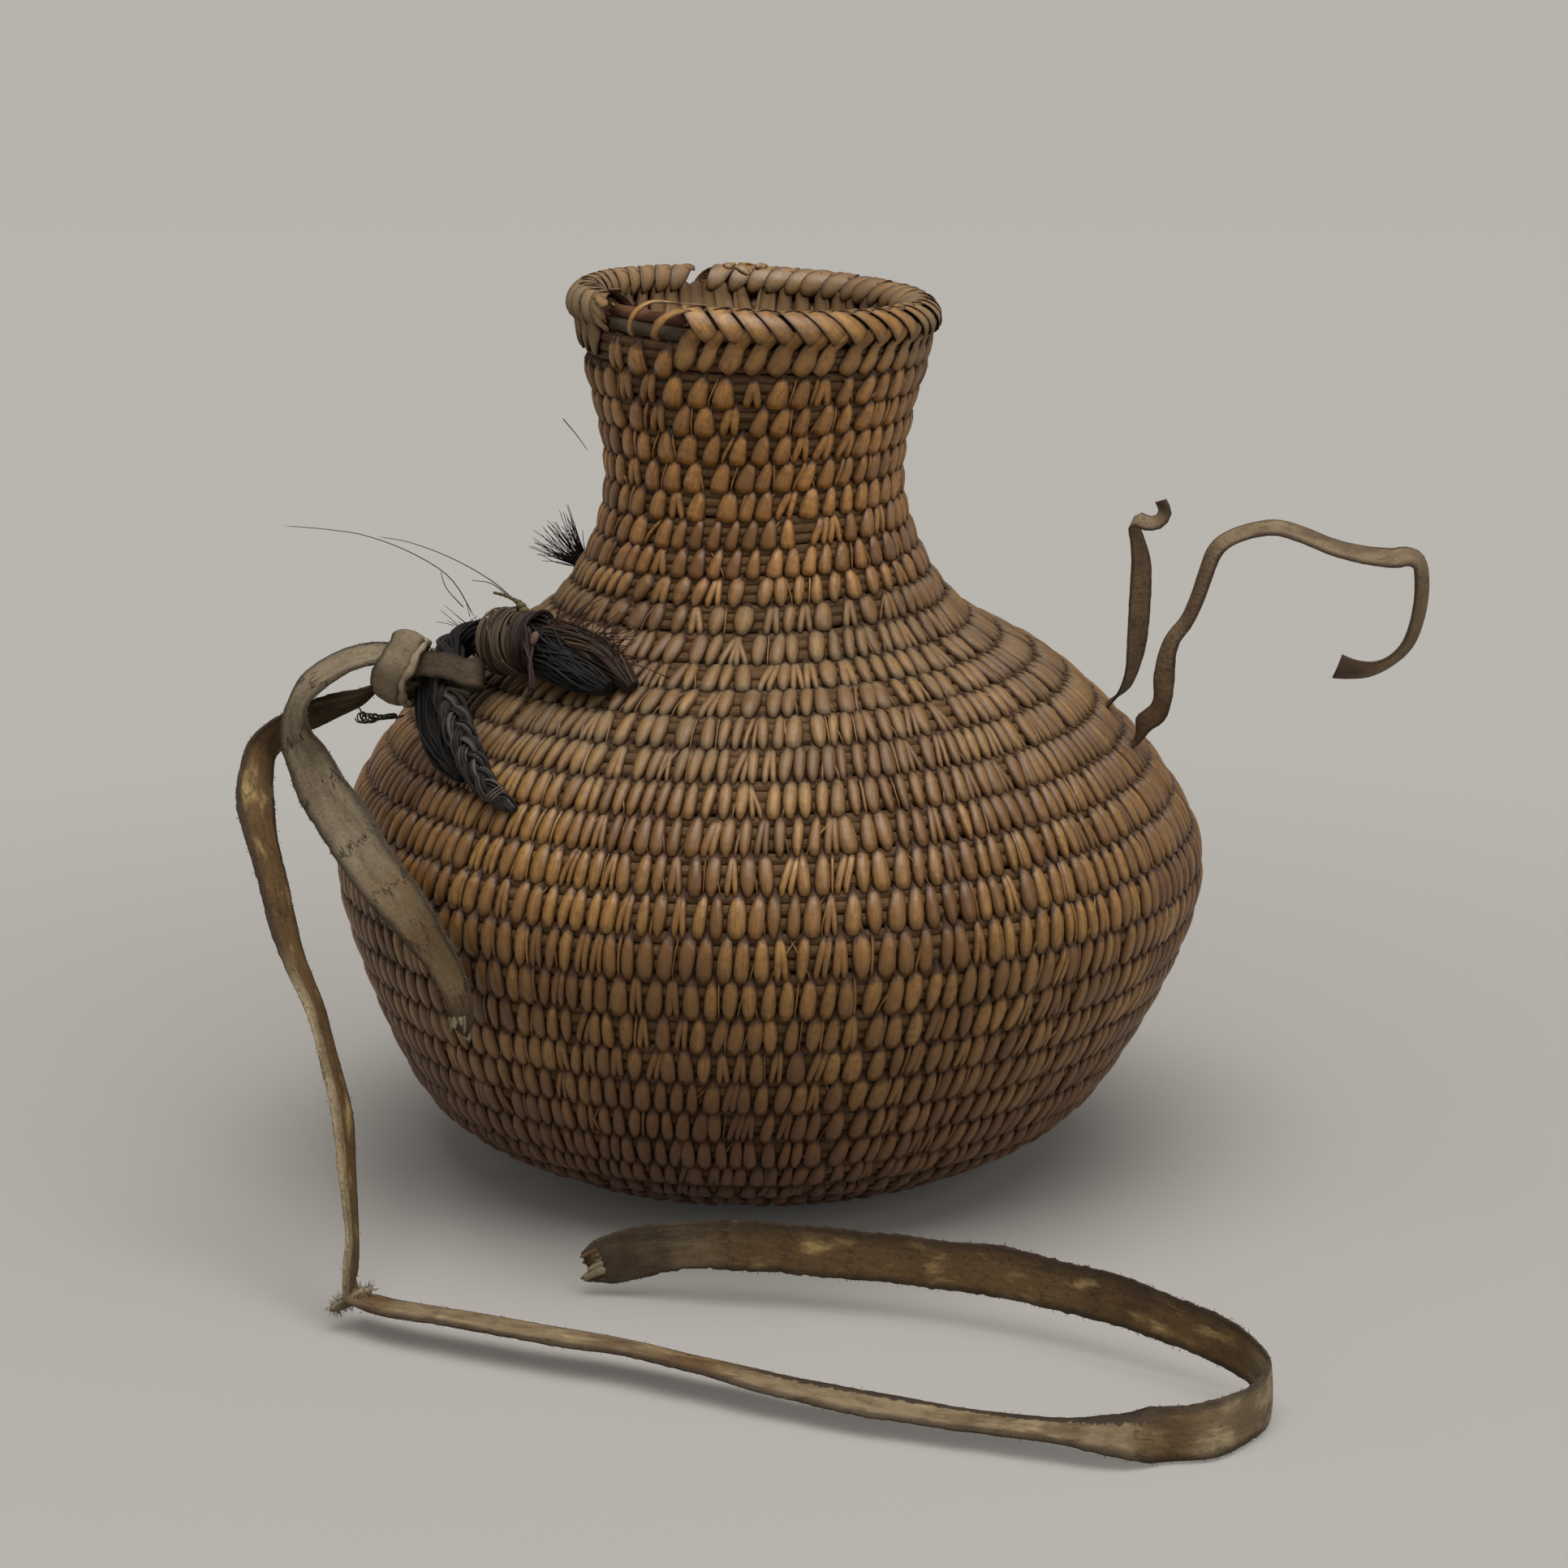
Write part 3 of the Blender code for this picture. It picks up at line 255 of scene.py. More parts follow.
@dataclass(frozen=True)
class SplintFinish:
    """The sewn splints: golden wood with fibres, dusty on the shoulder, each darkened at its top, foot and
    sides by painted shade and some dirt.
    """

    name: str
    bright: Colour = srgb(168, 124, 60)
    deep: Colour = srgb(100, 65, 28)
    shade: Colour = srgb(60, 36, 16)
    dust_and_pallor: Colour = srgb(120, 101, 71)
    low: Colour = srgb(88, 47, 22)
    neck: Colour = srgb(190, 132, 64)
    inside: Colour = srgb(130, 109, 80)
    speck: Colour = srgb(170, 158, 130)
    inside_share: float = 0.0
    dust_everywhere: float = 0.03
    # How strongly each splint's top is darkened: painted shade under the row above, together with dirt.
    tip_share: float = 0.80
    neck_heights: tuple[float, float] = (0.166, 0.182)
    foot_heights: tuple[float, float] = (0.100, 0.036)
    shoulder_from: tuple[float, float] = (0.112, 0.146)
    shoulder_to: tuple[float, float] = (0.182, 0.160)
    opening: tuple[float, float] = (0.0475, 0.0440)

    def material(self) -> bpy.types.Material:
        """Builds the material."""
        board = Board(self.name)
        place = board.place()
        tone, end, run = (board.mark("mark", axis) for axis in "XYZ")
        high = board.part(place, "Z")
        centred = board.node("ShaderNodeVectorMath", {"operation": "ADD"}, {0: place, 1: (0.0044, 0.0, 0.0)})
        flat = board.stretched(centred, 1.0, 1.0, 0.0)
        aside = board.part(flat, "X")
        fibres = board.streaks(1500.0, 110.0)
        blotch = board.cloud(place, 26.0, 3.0)
        patch = board.cloud(place, 9.0, 2.0)
        mottle = board.cloud(place, 420.0, 3.0, 0.6)
        grime = board.cloud(place, 520.0, 4.0, 0.7)
        flecks = board.cloud(place, 700.0, 2.0)

        paler = tone * 0.55 + blotch * 0.9 - 0.27
        on_neck = board.ramp(high, *self.neck_heights)
        foot = board.ramp(high + patch * 0.05, *self.foot_heights)
        band = board.ramp(high, *self.shoulder_from) * board.ramp(high, *self.shoulder_to)
        # The neck turns pale taupe towards its left and right sides.
        sides = on_neck * board.ramp(aside * aside, 0.0011, 0.0024)
        loose = board.ramp(blotch + mottle * 0.4, 0.45, 0.95)
        crown = board.ramp(run, 0.34, 0.52) * board.ramp(run, 0.90, 0.70)
        # Dust on the shoulder band, with the neck's paler sides added below.
        dust_and_pallor = band * (0.42 + loose * 0.60) * (1.0 - crown * 0.55)
        dust_and_pallor = dust_and_pallor + sides * (0.25 + loose * 0.6) + loose * self.dust_everywhere
        # Painted shade and dirt: each splint's top, tucked under the row above, darkens towards the shade
        # colour.
        tip = board.ramp(run + mottle * 0.30, 0.56, 0.38)
        # Painted shade: each splint darkens towards its sides and ends; the mottled share is dirt.
        soil_and_painted_shade = (end**1.6) * 0.85 + board.ramp(mottle, 0.60, 0.85) * 0.18
        # The top adds its painted shade and dirt, and the lowest tenth, where the splint curls under, adds
        # painted shade.
        soil_and_painted_shade = soil_and_painted_shade + tip * self.tip_share + board.ramp(run, 0.88, 1.0) * 0.30
        specks = board.ramp(flecks, 0.63, 0.72) * board.ramp(blotch, 0.50, 0.66) * on_neck
        layers = (
            (on_neck * board.ramp(paler, -0.1, 0.8) * 0.75, self.neck),
            (board.ramp(fibres, 0.44, 0.72) * 0.6, self.deep),
            (board.ramp(grime, 0.46, 0.62) * 0.46, self.deep),
            (foot * 0.84, self.low),
            (board.ramp(dust_and_pallor, 0.0, 1.0) * 0.86, self.dust_and_pallor),
            (board.ramp(board.length(flat), *self.opening) * self.inside_share, self.inside),
            (board.ramp(soil_and_painted_shade, 0.0, 1.15), self.shade),
            (specks * 0.5, self.speck),
        )
        colour = board.layered(board.mix(board.ramp(paler, 0.0, 1.0), self.deep, self.bright), layers)
        rough = 0.24 + dust_and_pallor * 0.50 + board.ramp(fibres, 0.4, 0.8) * 0.16 + tip * 0.50 + mottle * 0.12
        bump = board.bump(fibres * 0.6 + mottle * 0.4, 0.00034)
        return board.dress(colour, rough, bump, 0.55)


@dataclass(frozen=True)
class RodFinish:
    """The bundle of rods under the splints: dull brown wood with fine lines along it."""

    name: str
    light: Colour = srgb(122, 92, 57)
    dark: Colour = srgb(56, 38, 21)
    line: float = 2200.0
    crumb: Colour = srgb(150, 136, 106)

    def material(self) -> bpy.types.Material:
        """Builds the material."""
        board = Board(self.name)
        place = board.place()
        tone = board.mark("mark", "X")
        lines = board.streaks(self.line, 90.0)
        blotch = board.cloud(place, 60.0, 3.0)
        crumbs = board.cloud(place, 800.0, 2.0)
        paler = lines * 0.8 + blotch * 0.5 + tone * 0.3 - 0.45
        colour = board.mix(board.ramp(paler, 0.0, 0.8), self.dark, self.light)
        crumbly = board.ramp(crumbs, 0.62, 0.75) * board.ramp(blotch, 0.48, 0.7) * 0.5
        colour = board.mix(crumbly, colour, self.crumb)
        bump = board.bump(lines * 0.8 + crumbs * 0.2, 0.0005)
        return board.dress(colour, 0.74, bump, 0.25)


@dataclass(frozen=True)
class PitchFinish:
    """Dark brown pine pitch, uneven and slightly shiny."""

    name: str
    light: Colour = srgb(112, 84, 56)
    dark: Colour = srgb(46, 32, 22)

    def material(self) -> bpy.types.Material:
        """Builds the material."""
        board = Board(self.name)
        place = board.place()
        thick = board.cloud(place, 55.0, 4.0, 0.6)
        fine = board.cloud(place, 420.0, 3.0)
        colour = board.mix(board.ramp(thick, 0.35, 0.70), self.dark, self.light)
        rough = 0.34 + board.ramp(fine, 0.3, 0.8) * 0.35
        bump = board.bump(thick * 0.8 + fine * 0.2, 0.0012, 0.8)
        return board.dress(colour, rough, bump)


@dataclass(frozen=True)
class HairFinish:
    """Horsehair and twisted fibre: fine lines along the strands, darker in their depths, where a piece's core
    takes the darkest tone as painted shade.
    """

    name: str
    light: Colour = srgb(45, 37, 32)
    dark: Colour = srgb(13, 10, 8)
    roughness: float = 0.52
    line: float = 5200.0

    def material(self) -> bpy.types.Material:
        """Builds the material."""
        board = Board(self.name)
        tone = board.mark("mark", "X")
        lines = board.streaks(self.line, 110.0, 3.0, 0.7)
        blotch = board.cloud(board.place(), 120.0, 2.0)
        paler = lines * 0.8 + tone * 0.5 + blotch * 0.3 - 0.45
        colour = board.mix(board.ramp(paler, 0.0, 1.0), self.dark, self.light)
        rough = self.roughness + board.ramp(lines, 0.3, 0.8) * 0.2
        bump = board.bump(lines, 0.0003)
        return board.dress(colour, rough, bump, 0.28)


@dataclass(frozen=True)
class HideFinish:
    """Dried hide: a dull skin with cracks across it, scraped patches and dark edges.

    Lips, fades and chips say where along a strip its edge is pale, its skin has faded and its other edge
    is chipped: each is a start and an end in metres, and a strength.
    """

    name: str
    light: Colour = srgb(138, 124, 98)
    dark: Colour = srgb(84, 70, 50)
    patch: Colour = srgb(166, 140, 86)
    edge: Colour = srgb(52, 40, 27)
    pale: Colour = srgb(176, 158, 124)
    patches: float = 0.5
    cracks: float = 0.5
    lip: float = 0.0
    lips: Spans = ()
    fades: Spans = ()
    chips: Spans = ()
    blend: float = 0.01

    def spans(self, board: Board, run: Wire, spans: Spans) -> Wire:
        """How strongly something shows along a strip.

        Args:
            board: the material's board.
            run: how far along the strip a place lies.
            spans: where it starts and ends, in metres, and how strong it is there.

        Returns:
            Its strength.
        """
        strength = run * 0.0
        for start, end, share in spans:
            begun = board.ramp(run, start - self.blend, start + self.blend)
            strength = strength + begun * board.ramp(run, end + self.blend, end - self.blend) * share
        return strength

    def material(self) -> bpy.types.Material:
        """Builds the material."""
        board = Board(self.name)
        place = board.place()
        tone, edge = (board.mark("mark", axis) for axis in "XY")
        shift, run = (board.mark("grain", axis) for axis in "XY")
        broad = board.cloud(place, 34.0, 4.0, 0.6) * 0.6 + board.cloud(place, 120.0, 4.0, 0.65) * 0.4
        skin = board.cloud(place, 900.0, 3.0, 0.65)
        stain = board.cloud(place, 62.0, 3.0, 0.6)
        streak = board.streaks(420.0, 60.0)
        across = board.streaks(40.0, 420.0, rough=0.7)
        scraped = board.streaks(150.0, 55.0, rough=0.6, scale=1.3)
        jag = board.streaks(330.0, 46.0, rough=0.75)
        gaps = board.streaks(120.0, 60.0, 3.0, 0.6, 1.7)

        paler = broad * 0.6 + streak * 0.45 + tone * 0.3 - 0.2
        bare = board.ramp(scraped + skin * 0.12, 0.72 - 0.16 * self.patches, 0.80) * self.patches
        wave = board.node("ShaderNodeMath", {"operation": "FRACT"}, {0: run * 58.0 + jag * 1.5})
        line = board.node("ShaderNodeMath", {"operation": "ABSOLUTE"}, {0: wave - 0.5})
        crack = board.ramp(line, 0.045, 0.012) * board.ramp(gaps, 0.40, 0.52) * self.cracks
        crack = crack + board.ramp(across, 0.36, 0.30) * self.cracks * 0.5
        wander = streak * 0.0022 + skin * 0.0010
        near = board.ramp(wander - shift, 0.0036, 0.0050) * self.lip * self.spans(board, run, self.lips)
        faded = board.ramp(scraped * 0.6 + broad * 0.6, 0.50, 0.66) * 0.7 + 0.3
        chips = self.spans(board, run, self.chips)
        chipped = board.ramp(shift + (across - 0.5) * 0.006, 0.0022, 0.0030) * chips
        rim = board.ramp(edge + streak * 0.5, 0.84, 1.18)
        chalk = board.ramp(skin * 0.5 + streak * 0.6, 0.42, 0.66)
        layers = (
            (bare, self.patch),
            (board.ramp(stain + skin * 0.2, 0.60, 0.80) * 0.45, self.dark),
            (board.ramp(skin, 0.50, 0.70) * 0.40, self.dark),
            (board.ramp(crack, 0.0, 1.0), self.edge),
            (self.spans(board, run, self.fades) * faded, self.pale),
            (chipped, self.edge),
            (rim * 0.80 * (1.0 - near), self.edge),
            (near * (0.35 + chalk * 0.6), self.pale),
        )
        colour = board.layered(board.mix(board.ramp(paler, 0.12, 0.62), self.dark, self.light), layers)
        height = skin * 0.35 + streak * 0.35 + across * 0.3 - crack * 0.5
        rough = 0.60 + skin * 0.30
        bump = board.bump(height, 0.0010, 1.0)
        return board.dress(colour, rough, bump, 0.3)


@dataclass(frozen=True)
class PaperFinish:
    """The studio's plain pale ground, whose far parts the camera sees in one even colour."""

    name: str
    colour: Colour = srgb(184, 180, 174)
    lit: Colour = srgb(168, 164, 158)
    black: Colour = (0.0, 0.0, 0.0, 1.0)
    near: float = 0.04
    far: float = 0.97

    def material(self) -> bpy.types.Material:
        """Builds the material."""
        board = Board(self.name)
        seen = board.node("ShaderNodeLightPath", output="Is Camera Ray")
        for ray in ("Is Glossy Ray", "Is Transmission Ray"):
            seen = seen + board.node("ShaderNodeLightPath", output=ray)
        reach = board.ramp(board.length(board.place()), 0.05, 0.55)
        even = (self.near + (self.far - self.near) * reach) * seen
        lit = board.mix(even, self.lit, self.black)
        glow = board.mix(even, self.black, self.colour)
        wanted = {"Base Color": lit, "Emission Color": glow, "Emission Strength": 1.0}
        return board.feed({**wanted, "Roughness": 0.9, "Specular IOR Level": 0.1})


# Shapes


@dataclass
class Spine:
    """The rows that one closed shape is drawn through, from its first pole to its last.

    Centres and normals have three numbers a row. Right and left are the half widths to the two sides,
    rise the half height on the side the normal points to, and sink the half height on the other side.
    """

    centres: Array
    normals: Array
    right: Array
    left: Array
    rise: Array
    sink: Array
    cup: float = 0.0
    square: float = 1.0


def placed(mesh: bpy.types.Mesh) -> bpy.types.Object:
    """Puts a smooth mesh into the scene as an object at the origin."""
    mesh.shade_smooth()
    mesh.update()
    thing = bpy.data.objects.new(mesh.name, mesh)
    bpy.context.scene.collection.objects.link(thing)
    return thing


class Weave:
    """Gathers closed shapes, each made from a sphere, into one mesh."""

    def __init__(self) -> None:
        """Starts empty."""
        self.maker = bmesh.new()
        self.places: list[Array] = []
        self.grains: list[Array] = []
        self.marks: list[Array] = []
        self.slots: list[tuple[int, int]] = []
        self.moulds: dict[tuple[int, int], tuple[bpy.types.Mesh, Array, Array, Array]] = {}

    def _mould(self, sides: int, spans: int) -> tuple[bpy.types.Mesh, Array, Array, Array]:
        """A sphere, and which row and which way round each of its vertices lies."""
        if (sides, spans) not in self.moulds:
            maker = bmesh.new()
            bmesh.ops.create_uvsphere(maker, u_segments=sides, v_segments=spans, radius=1.0)
            mesh = bpy.data.meshes.new(f"mould_{sides}_{spans}")
            maker.to_mesh(mesh)
            maker.free()
            points = np.array([vert.co[:] for vert in mesh.vertices])
            row = np.rint(np.arccos(np.clip(points[:, 2], -1, 1)) / math.pi * spans).astype(int)
            flat = np.hypot(points[:, 0], points[:, 1])
            poles = (row == 0) | (row == spans)
            flat[poles] = 1.0
            cosine = np.where(poles, 0.0, points[:, 0] / flat)
            sine = np.where(poles, 0.0, points[:, 1] / flat)
            self.moulds[(sides, spans)] = (mesh, row, cosine, sine)
        return self.moulds[(sides, spans)]

    def add(self, spine: Spine, sides: int, tone: float, seed: float = 0.0, slot: int = 0) -> None:
        """Adds one closed shape.

        Args:
            spine: the rows it is drawn through.
            sides: how many points each row has.
            tone: how bright it is, 0 to 1, for its finish.
            seed: a number that shifts the finish's grain.
            slot: which of the mesh's finishes it has.
        """
        rows = len(spine.centres)
        mould, row, cosine, sine = self._mould(sides, rows - 1)
        self.maker.from_mesh(mould)
        self.slots.append((len(mould.polygons), slot))
        along = ways(spine.centres)
        side = unit(np.cross(along, spine.normals))
        out = np.cross(side, along)
        across = np.sign(cosine) * np.abs(cosine) ** spine.square
        up = np.sign(sine) * np.abs(sine) ** spine.square
        width = np.where(across > 0, spine.right[row], spine.left[row])
        height = np.where(up > 0, spine.rise[row], spine.sink[row])
        lift = up * height + spine.cup * (across * width) ** 2
        shift = across * width
        self.places.append(spine.centres[row] + side[row] * shift[:, None] + out[row] * lift[:, None])
        run = run_along(spine.centres)
        whole = run[-1] + 1e-9
        self.grains.append(np.column_stack((shift, run[row], np.full(len(row), seed * 50.0))))
        edge = np.maximum(np.abs(across), np.abs(2 * run[row] / whole - 1) ** 3)
        edge = np.where((row == 0) | (row == rows - 1), 1.0, edge)
        self.marks.append(np.column_stack((np.full(len(row), tone), edge, run[row] / whole)))

    def piece(self, name: str, finishes: Sequence[bpy.types.Material]) -> bpy.types.Object:
        """Finishes the mesh as a piece that rides on the jar.

        Args:
            name: the piece's name.
            finishes: its materials, in the order of their slots.

        Returns:
            The piece.
        """
        mesh = bpy.data.meshes.new(name)
        self.maker.to_mesh(mesh)
        self.maker.free()
        for mould, *_ in self.moulds.values():
            bpy.data.meshes.remove(mould)
        mesh.vertices.foreach_set("co", np.concatenate(self.places).astype(np.float32).ravel())
        for label, rows in (("grain", self.grains), ("mark", self.marks)):
            layer = mesh.attributes.new(label, "FLOAT_VECTOR", "POINT")
            layer.data.foreach_set("vector", np.concatenate(rows).astype(np.float32).ravel())
        for finish in finishes:
            mesh.materials.append(finish)
        slots = np.concatenate([np.full(count, index) for count, index in self.slots])
        mesh.polygons.foreach_set("material_index", slots.astype(np.int32))
        thing = placed(mesh)
        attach(thing, BODY)
        LOG.info("%s: %d faces", name, len(mesh.polygons))
        return thing


def unit(vectors: Array) -> Array:
    """One vector, or each row's vector, brought to a length of one."""
    return vectors / (np.linalg.norm(vectors, axis=-1, keepdims=True) + 1e-12)


def ways(line: Array) -> Array:
    """The way that a line runs at each of its places."""
    return unit(np.gradient(line, axis=0))


def run_along(line: Array) -> Array:
    """How far each place of a line lies from its start, along it."""
    return np.concatenate(([0.0], np.cumsum(np.linalg.norm(np.diff(line, axis=0), axis=1))))


def eased(share: Array) -> Array:
    """A share from 0 to 1 that starts and ends softly."""
    return share * share * (3 - 2 * share)


def closed(sizes: Array) -> Array:
    """The same sizes with nothing at either end, where the shape closes."""
    return np.concatenate(([0.0], sizes[1:-1], [0.0]))


def oval(first: Array, second: Array, angle: Array, width: Array | float, height: Array | float) -> Array:
    """How far the places of an oval lie from its middle.

    Args:
        first, second: the two ways that it reaches, one for all places or one for each.
        angle: how far round it each place is.
        width, height: how far it reaches the first and the second way.

    Returns:
        Three numbers for each place.
    """
    return first * (width * np.cos(angle))[:, None] + second * (height * np.sin(angle))[:, None]


def metres(rows: Sequence[Sequence[float]]) -> Array:
    """Rows of millimetres in metres."""
    return np.array(rows, dtype=float) / 1000.0


def catmull(points: Sequence[Sequence[float]], per_span: int = 6) -> Array:
    """A smooth row through points of any number of values, as in the part.

    Args:
        points: the rows it passes through.
        per_span: how many steps lie between two of them.

    Returns:
        The smooth rows.
    """
    rows = np.array(points, dtype=float)
    padded = np.vstack((2 * rows[0] - rows[1], rows, 2 * rows[-1] - rows[-2]))
    out = []
    for a, b, c, d in zip(padded, padded[1:], padded[2:], padded[3:]):
        for step in range(per_span):
            t = step / per_span
            cubic = 3 * b - a - 3 * c + d
            out.append(0.5 * (2 * b + (c - a) * t + (2 * a - 5 * b + 4 * c - d) * t**2 + cubic * t**3))
    return np.array([*out, rows[-1]])


def resampled(rows: Array, count: int) -> Array:
    """The same line in evenly spaced rows.

    Args:
        rows: rows whose first three values are a place.
        count: how many rows to return.

    Returns:
        The new rows.
    """
    run = run_along(rows[:, :3])
    wanted = np.linspace(0.0, run[-1], count)
    return np.column_stack([np.interp(wanted, run, rows[:, k]) for k in range(rows.shape[1])])


def carried(centres: Array, start: Sequence[float]) -> Array:
    """Normals that turn no more than the line itself does.

    Args:
        centres: the line.
        start: roughly the first normal.

    Returns:
        A normal for each place on the line.
    """
    normal = np.array(start, dtype=float)
    out = []
    for way in ways(centres):
        normal = unit(normal - way * float(normal @ way))
        out.append(normal)
    return np.array(out)


def even_spine(
    centres: Array, normals: Array, half: Array, thick: Array | float, square: float = 1.0, cup: float = 0.0
) -> Spine:
    """The rows of a shape that is alike to both sides.

    Args:
        centres: the line it follows.
        normals: the way that its face points, for each row.
        half: its half widths.
        thick: its half thickness, one for all rows or one for each.
        square: how full its corners are, from 1 for an oval towards 0 for a box.
        cup: how strongly its edges bend out.

    Returns:
        The spine.
    """
    thick = np.broadcast_to(np.asarray(thick, dtype=float), (len(centres),))
    return Spine(centres, normals, half, half, thick, thick, cup, square)


def round_spine(centres: Array, radii: Array | float, start: Sequence[float] = (0.0, 0.0, 1.0)) -> Spine:
    """The rows of a round shape along a line.

    Args:
        centres: the line.
        radii: its radius, one for all rows or one for each.
        start: roughly the first row's normal.

    Returns:
        The spine.
    """
    sizes = np.broadcast_to(np.asarray(radii, dtype=float), (len(centres),))
    return even_spine(centres, carried(centres, start), sizes, sizes)


def blunt(rows: Array, tip: float = 0.00008) -> Array:
    """Adds a row close to each end, so that the shape keeps its thickness up to there."""
    first = rows[0] + (rows[0] - rows[1]) * tip / (np.linalg.norm((rows[0] - rows[1])[:3]) + 1e-9)
    last = rows[-1] + (rows[-1] - rows[-2]) * tip / (np.linalg.norm((rows[-1] - rows[-2])[:3]) + 1e-9)
    return np.vstack((first, rows, last))


# The coiled wall


@dataclass
class CoiledWall:
    """The coil of rods and the splints that sew each turn to the one below, with the part's own sizes."""

    outline: tuple[tuple[float, float], ...] = (
        (0.052, 0.0),
        (0.0765, 0.009),
        (0.1000, 0.0275),
        (0.1222, 0.080),
        (0.1155, 0.110),
        (0.0875, 0.142),
        (0.0565, 0.162),
        (0.0418, 0.195),
        (0.0500, 0.2385),
    )
    leans: tuple[tuple[float, float], ...] = ((0.0, -0.004), (0.080, 0.0), (0.162, -0.0043), (0.245, -0.0044))
    rim_tilt: float = 0.0022
    tilt_start: float = 0.195
    thickness: float = 0.0075
    pitch: float = 0.0104
    neck_pitch_aim: float = 0.0082
    neck_height: float = 0.162
    base_radius: float = 0.052
    base_turns: int = 5
    start_taper: float = 0.3
    end_taper: float = 0.75
    seam: float = -38.0
    outline_steps: int = 40
    spacing: float = 0.001
    rounding: int = 30
    stitch_gaps: tuple[tuple[float, float], ...] = (
        (0.0, 0.0046),
        (0.110, 0.0047),
        (0.150, 0.0048),
        (0.176, 0.0060),
        (0.200, 0.0066),
        (0.240, 0.0066),
    )
    rods: int = 3
    rod_steps: int = 96
    body_height: float = 0.0028
    seed: int = 7
    courses: int = field(init=False)

    def __post_init__(self) -> None:
        """Works out the wall's middle line and how the coil lies on it."""
        whole = np.vstack(([0.0, 0.0], catmull(self.outline, self.outline_steps)))
        rows = [whole[0]]
        for before, after in zip(whole, whole[1:]):
            count = max(1, round(float(np.linalg.norm(after - before)) / self.spacing))
            rows += [before + (after - before) * (i + 1) / count for i in range(count)]
        outer = np.array(rows)
        for _ in range(self.rounding):
            outer[1:-1] = (outer[:-2] + 2 * outer[1:-1] + outer[2:]) / 4
        along = np.empty_like(outer)
        along[1:-1] = outer[2:] - outer[:-2]
        along[0] = outer[1] - outer[0]
        along[-1] = outer[-1] - outer[-2]
        along /= np.linalg.norm(along, axis=1)[:, None]
        self.normals = np.column_stack((along[:, 1], -along[:, 0]))
        self.points = outer - self.normals * self.thickness / 2
        self.points[0, 0] = 0.0
        steps = np.linalg.norm(np.diff(self.points, axis=0), axis=1)
        self.distances = np.concatenate(([0.0], np.cumsum(steps)))
        self.length = float(self.distances[-1])
        above = (self.points[:, 0] > self.base_radius / 2) & (self.points[:, 1] >= self.neck_height)
        self.neck_start = float(self.distances[int(np.argmax(above))])
        self.neck_turns = self.neck_start / self.pitch
        rest = self.length - self.neck_start
        self.courses = round(self.neck_turns + rest / self.neck_pitch_aim)
        self.neck_pitch = rest / (self.courses - self.neck_turns)

    def edge(self, turns: Array | float) -> Array:
        """Distance along the wall of the coil's lower edge after so many turns."""
        turns = np.asarray(turns, dtype=float)
        low = np.maximum(turns, 1.0) * self.pitch
        high = np.minimum(self.neck_start + (turns - self.neck_turns) * self.neck_pitch, self.length)
        return np.where(turns <= self.neck_turns, low, high)

    def lean(self, height: Array) -> Array:
        """How far the jar stands out of true at a height."""
        places = np.array([place for place, _ in self.leans])
        shifts = np.array([shift for _, shift in self.leans])
        index = np.clip(np.searchsorted(places, height, side="left") - 1, 0, len(places) - 2)
        t = np.clip((height - places[index]) / (places[index + 1] - places[index]), 0.0, 1.0)
        return shifts[index] + (shifts[index + 1] - shifts[index]) * t * t * (3 - 2 * t)

    def on_jar(self, radius: Array, height: Array, azimuth: Array) -> Array:
        """Places on the jar, with its lean and tilt.

        Args:
            radius: distance from the jar's axis.
            height: height over the floor.
            azimuth: degrees round from the front.

        Returns:
            Three numbers for each place.
        """
        turn = np.radians(azimuth)
        share = (height - self.tilt_start) / (self.outline[-1][1] - self.tilt_start)
        tilt = self.rim_tilt * np.clip(share, 0, 1)
        x = self.lean(height) + radius * np.sin(turn)
        return np.column_stack((x, -radius * np.cos(turn), height - tilt * np.sin(turn)))

    def profile(self, distance: Array) -> tuple[Array, Array, Array, Array]:
        """Radius, height and outward normal of the wall's middle at distances along it."""
        radius = np.interp(distance, self.distances, self.points[:, 0])
        height = np.interp(distance, self.distances, self.points[:, 1])
        across = np.interp(distance, self.distances, self.normals[:, 0])
        up = np.interp(distance, self.distances, self.normals[:, 1])
        size = np.hypot(across, up)
        return radius, height, across / size, up / size

    def on_wall(self, distance: Array, azimuth: Array, offset: Array) -> tuple[Array, Array]:
        """Places on the wall and the ways that it faces there.

        Args:
            distance: how far along the wall from the middle of the base.
            azimuth: degrees round from the front.
            offset: how far out of the wall's middle.

        Returns:
            The places and the outward normals.
        """
        radius, height, across, up = self.profile(distance)
        turn = np.radians(azimuth)
        places = self.on_jar(radius + across * offset, height + up * offset, azimuth)
        return places, np.column_stack((across * np.sin(turn), -across * np.cos(turn), up))

    def surface(self, share: Array) -> Array:
        """Height of the rods over the wall's middle, with share -1 and 1 at a turn's two edges."""
        near = np.abs(share)
        near = np.where(near > 1, np.maximum(2 - near, 0.0), near)
        return self.body_height * np.sqrt(np.maximum(1 - near**2.6, 0.02))

    def gap_at(self, height: float) -> float:
        """The usual distance from splint to splint at a height."""
        return float(np.interp(height, *zip(*self.stitch_gaps)))


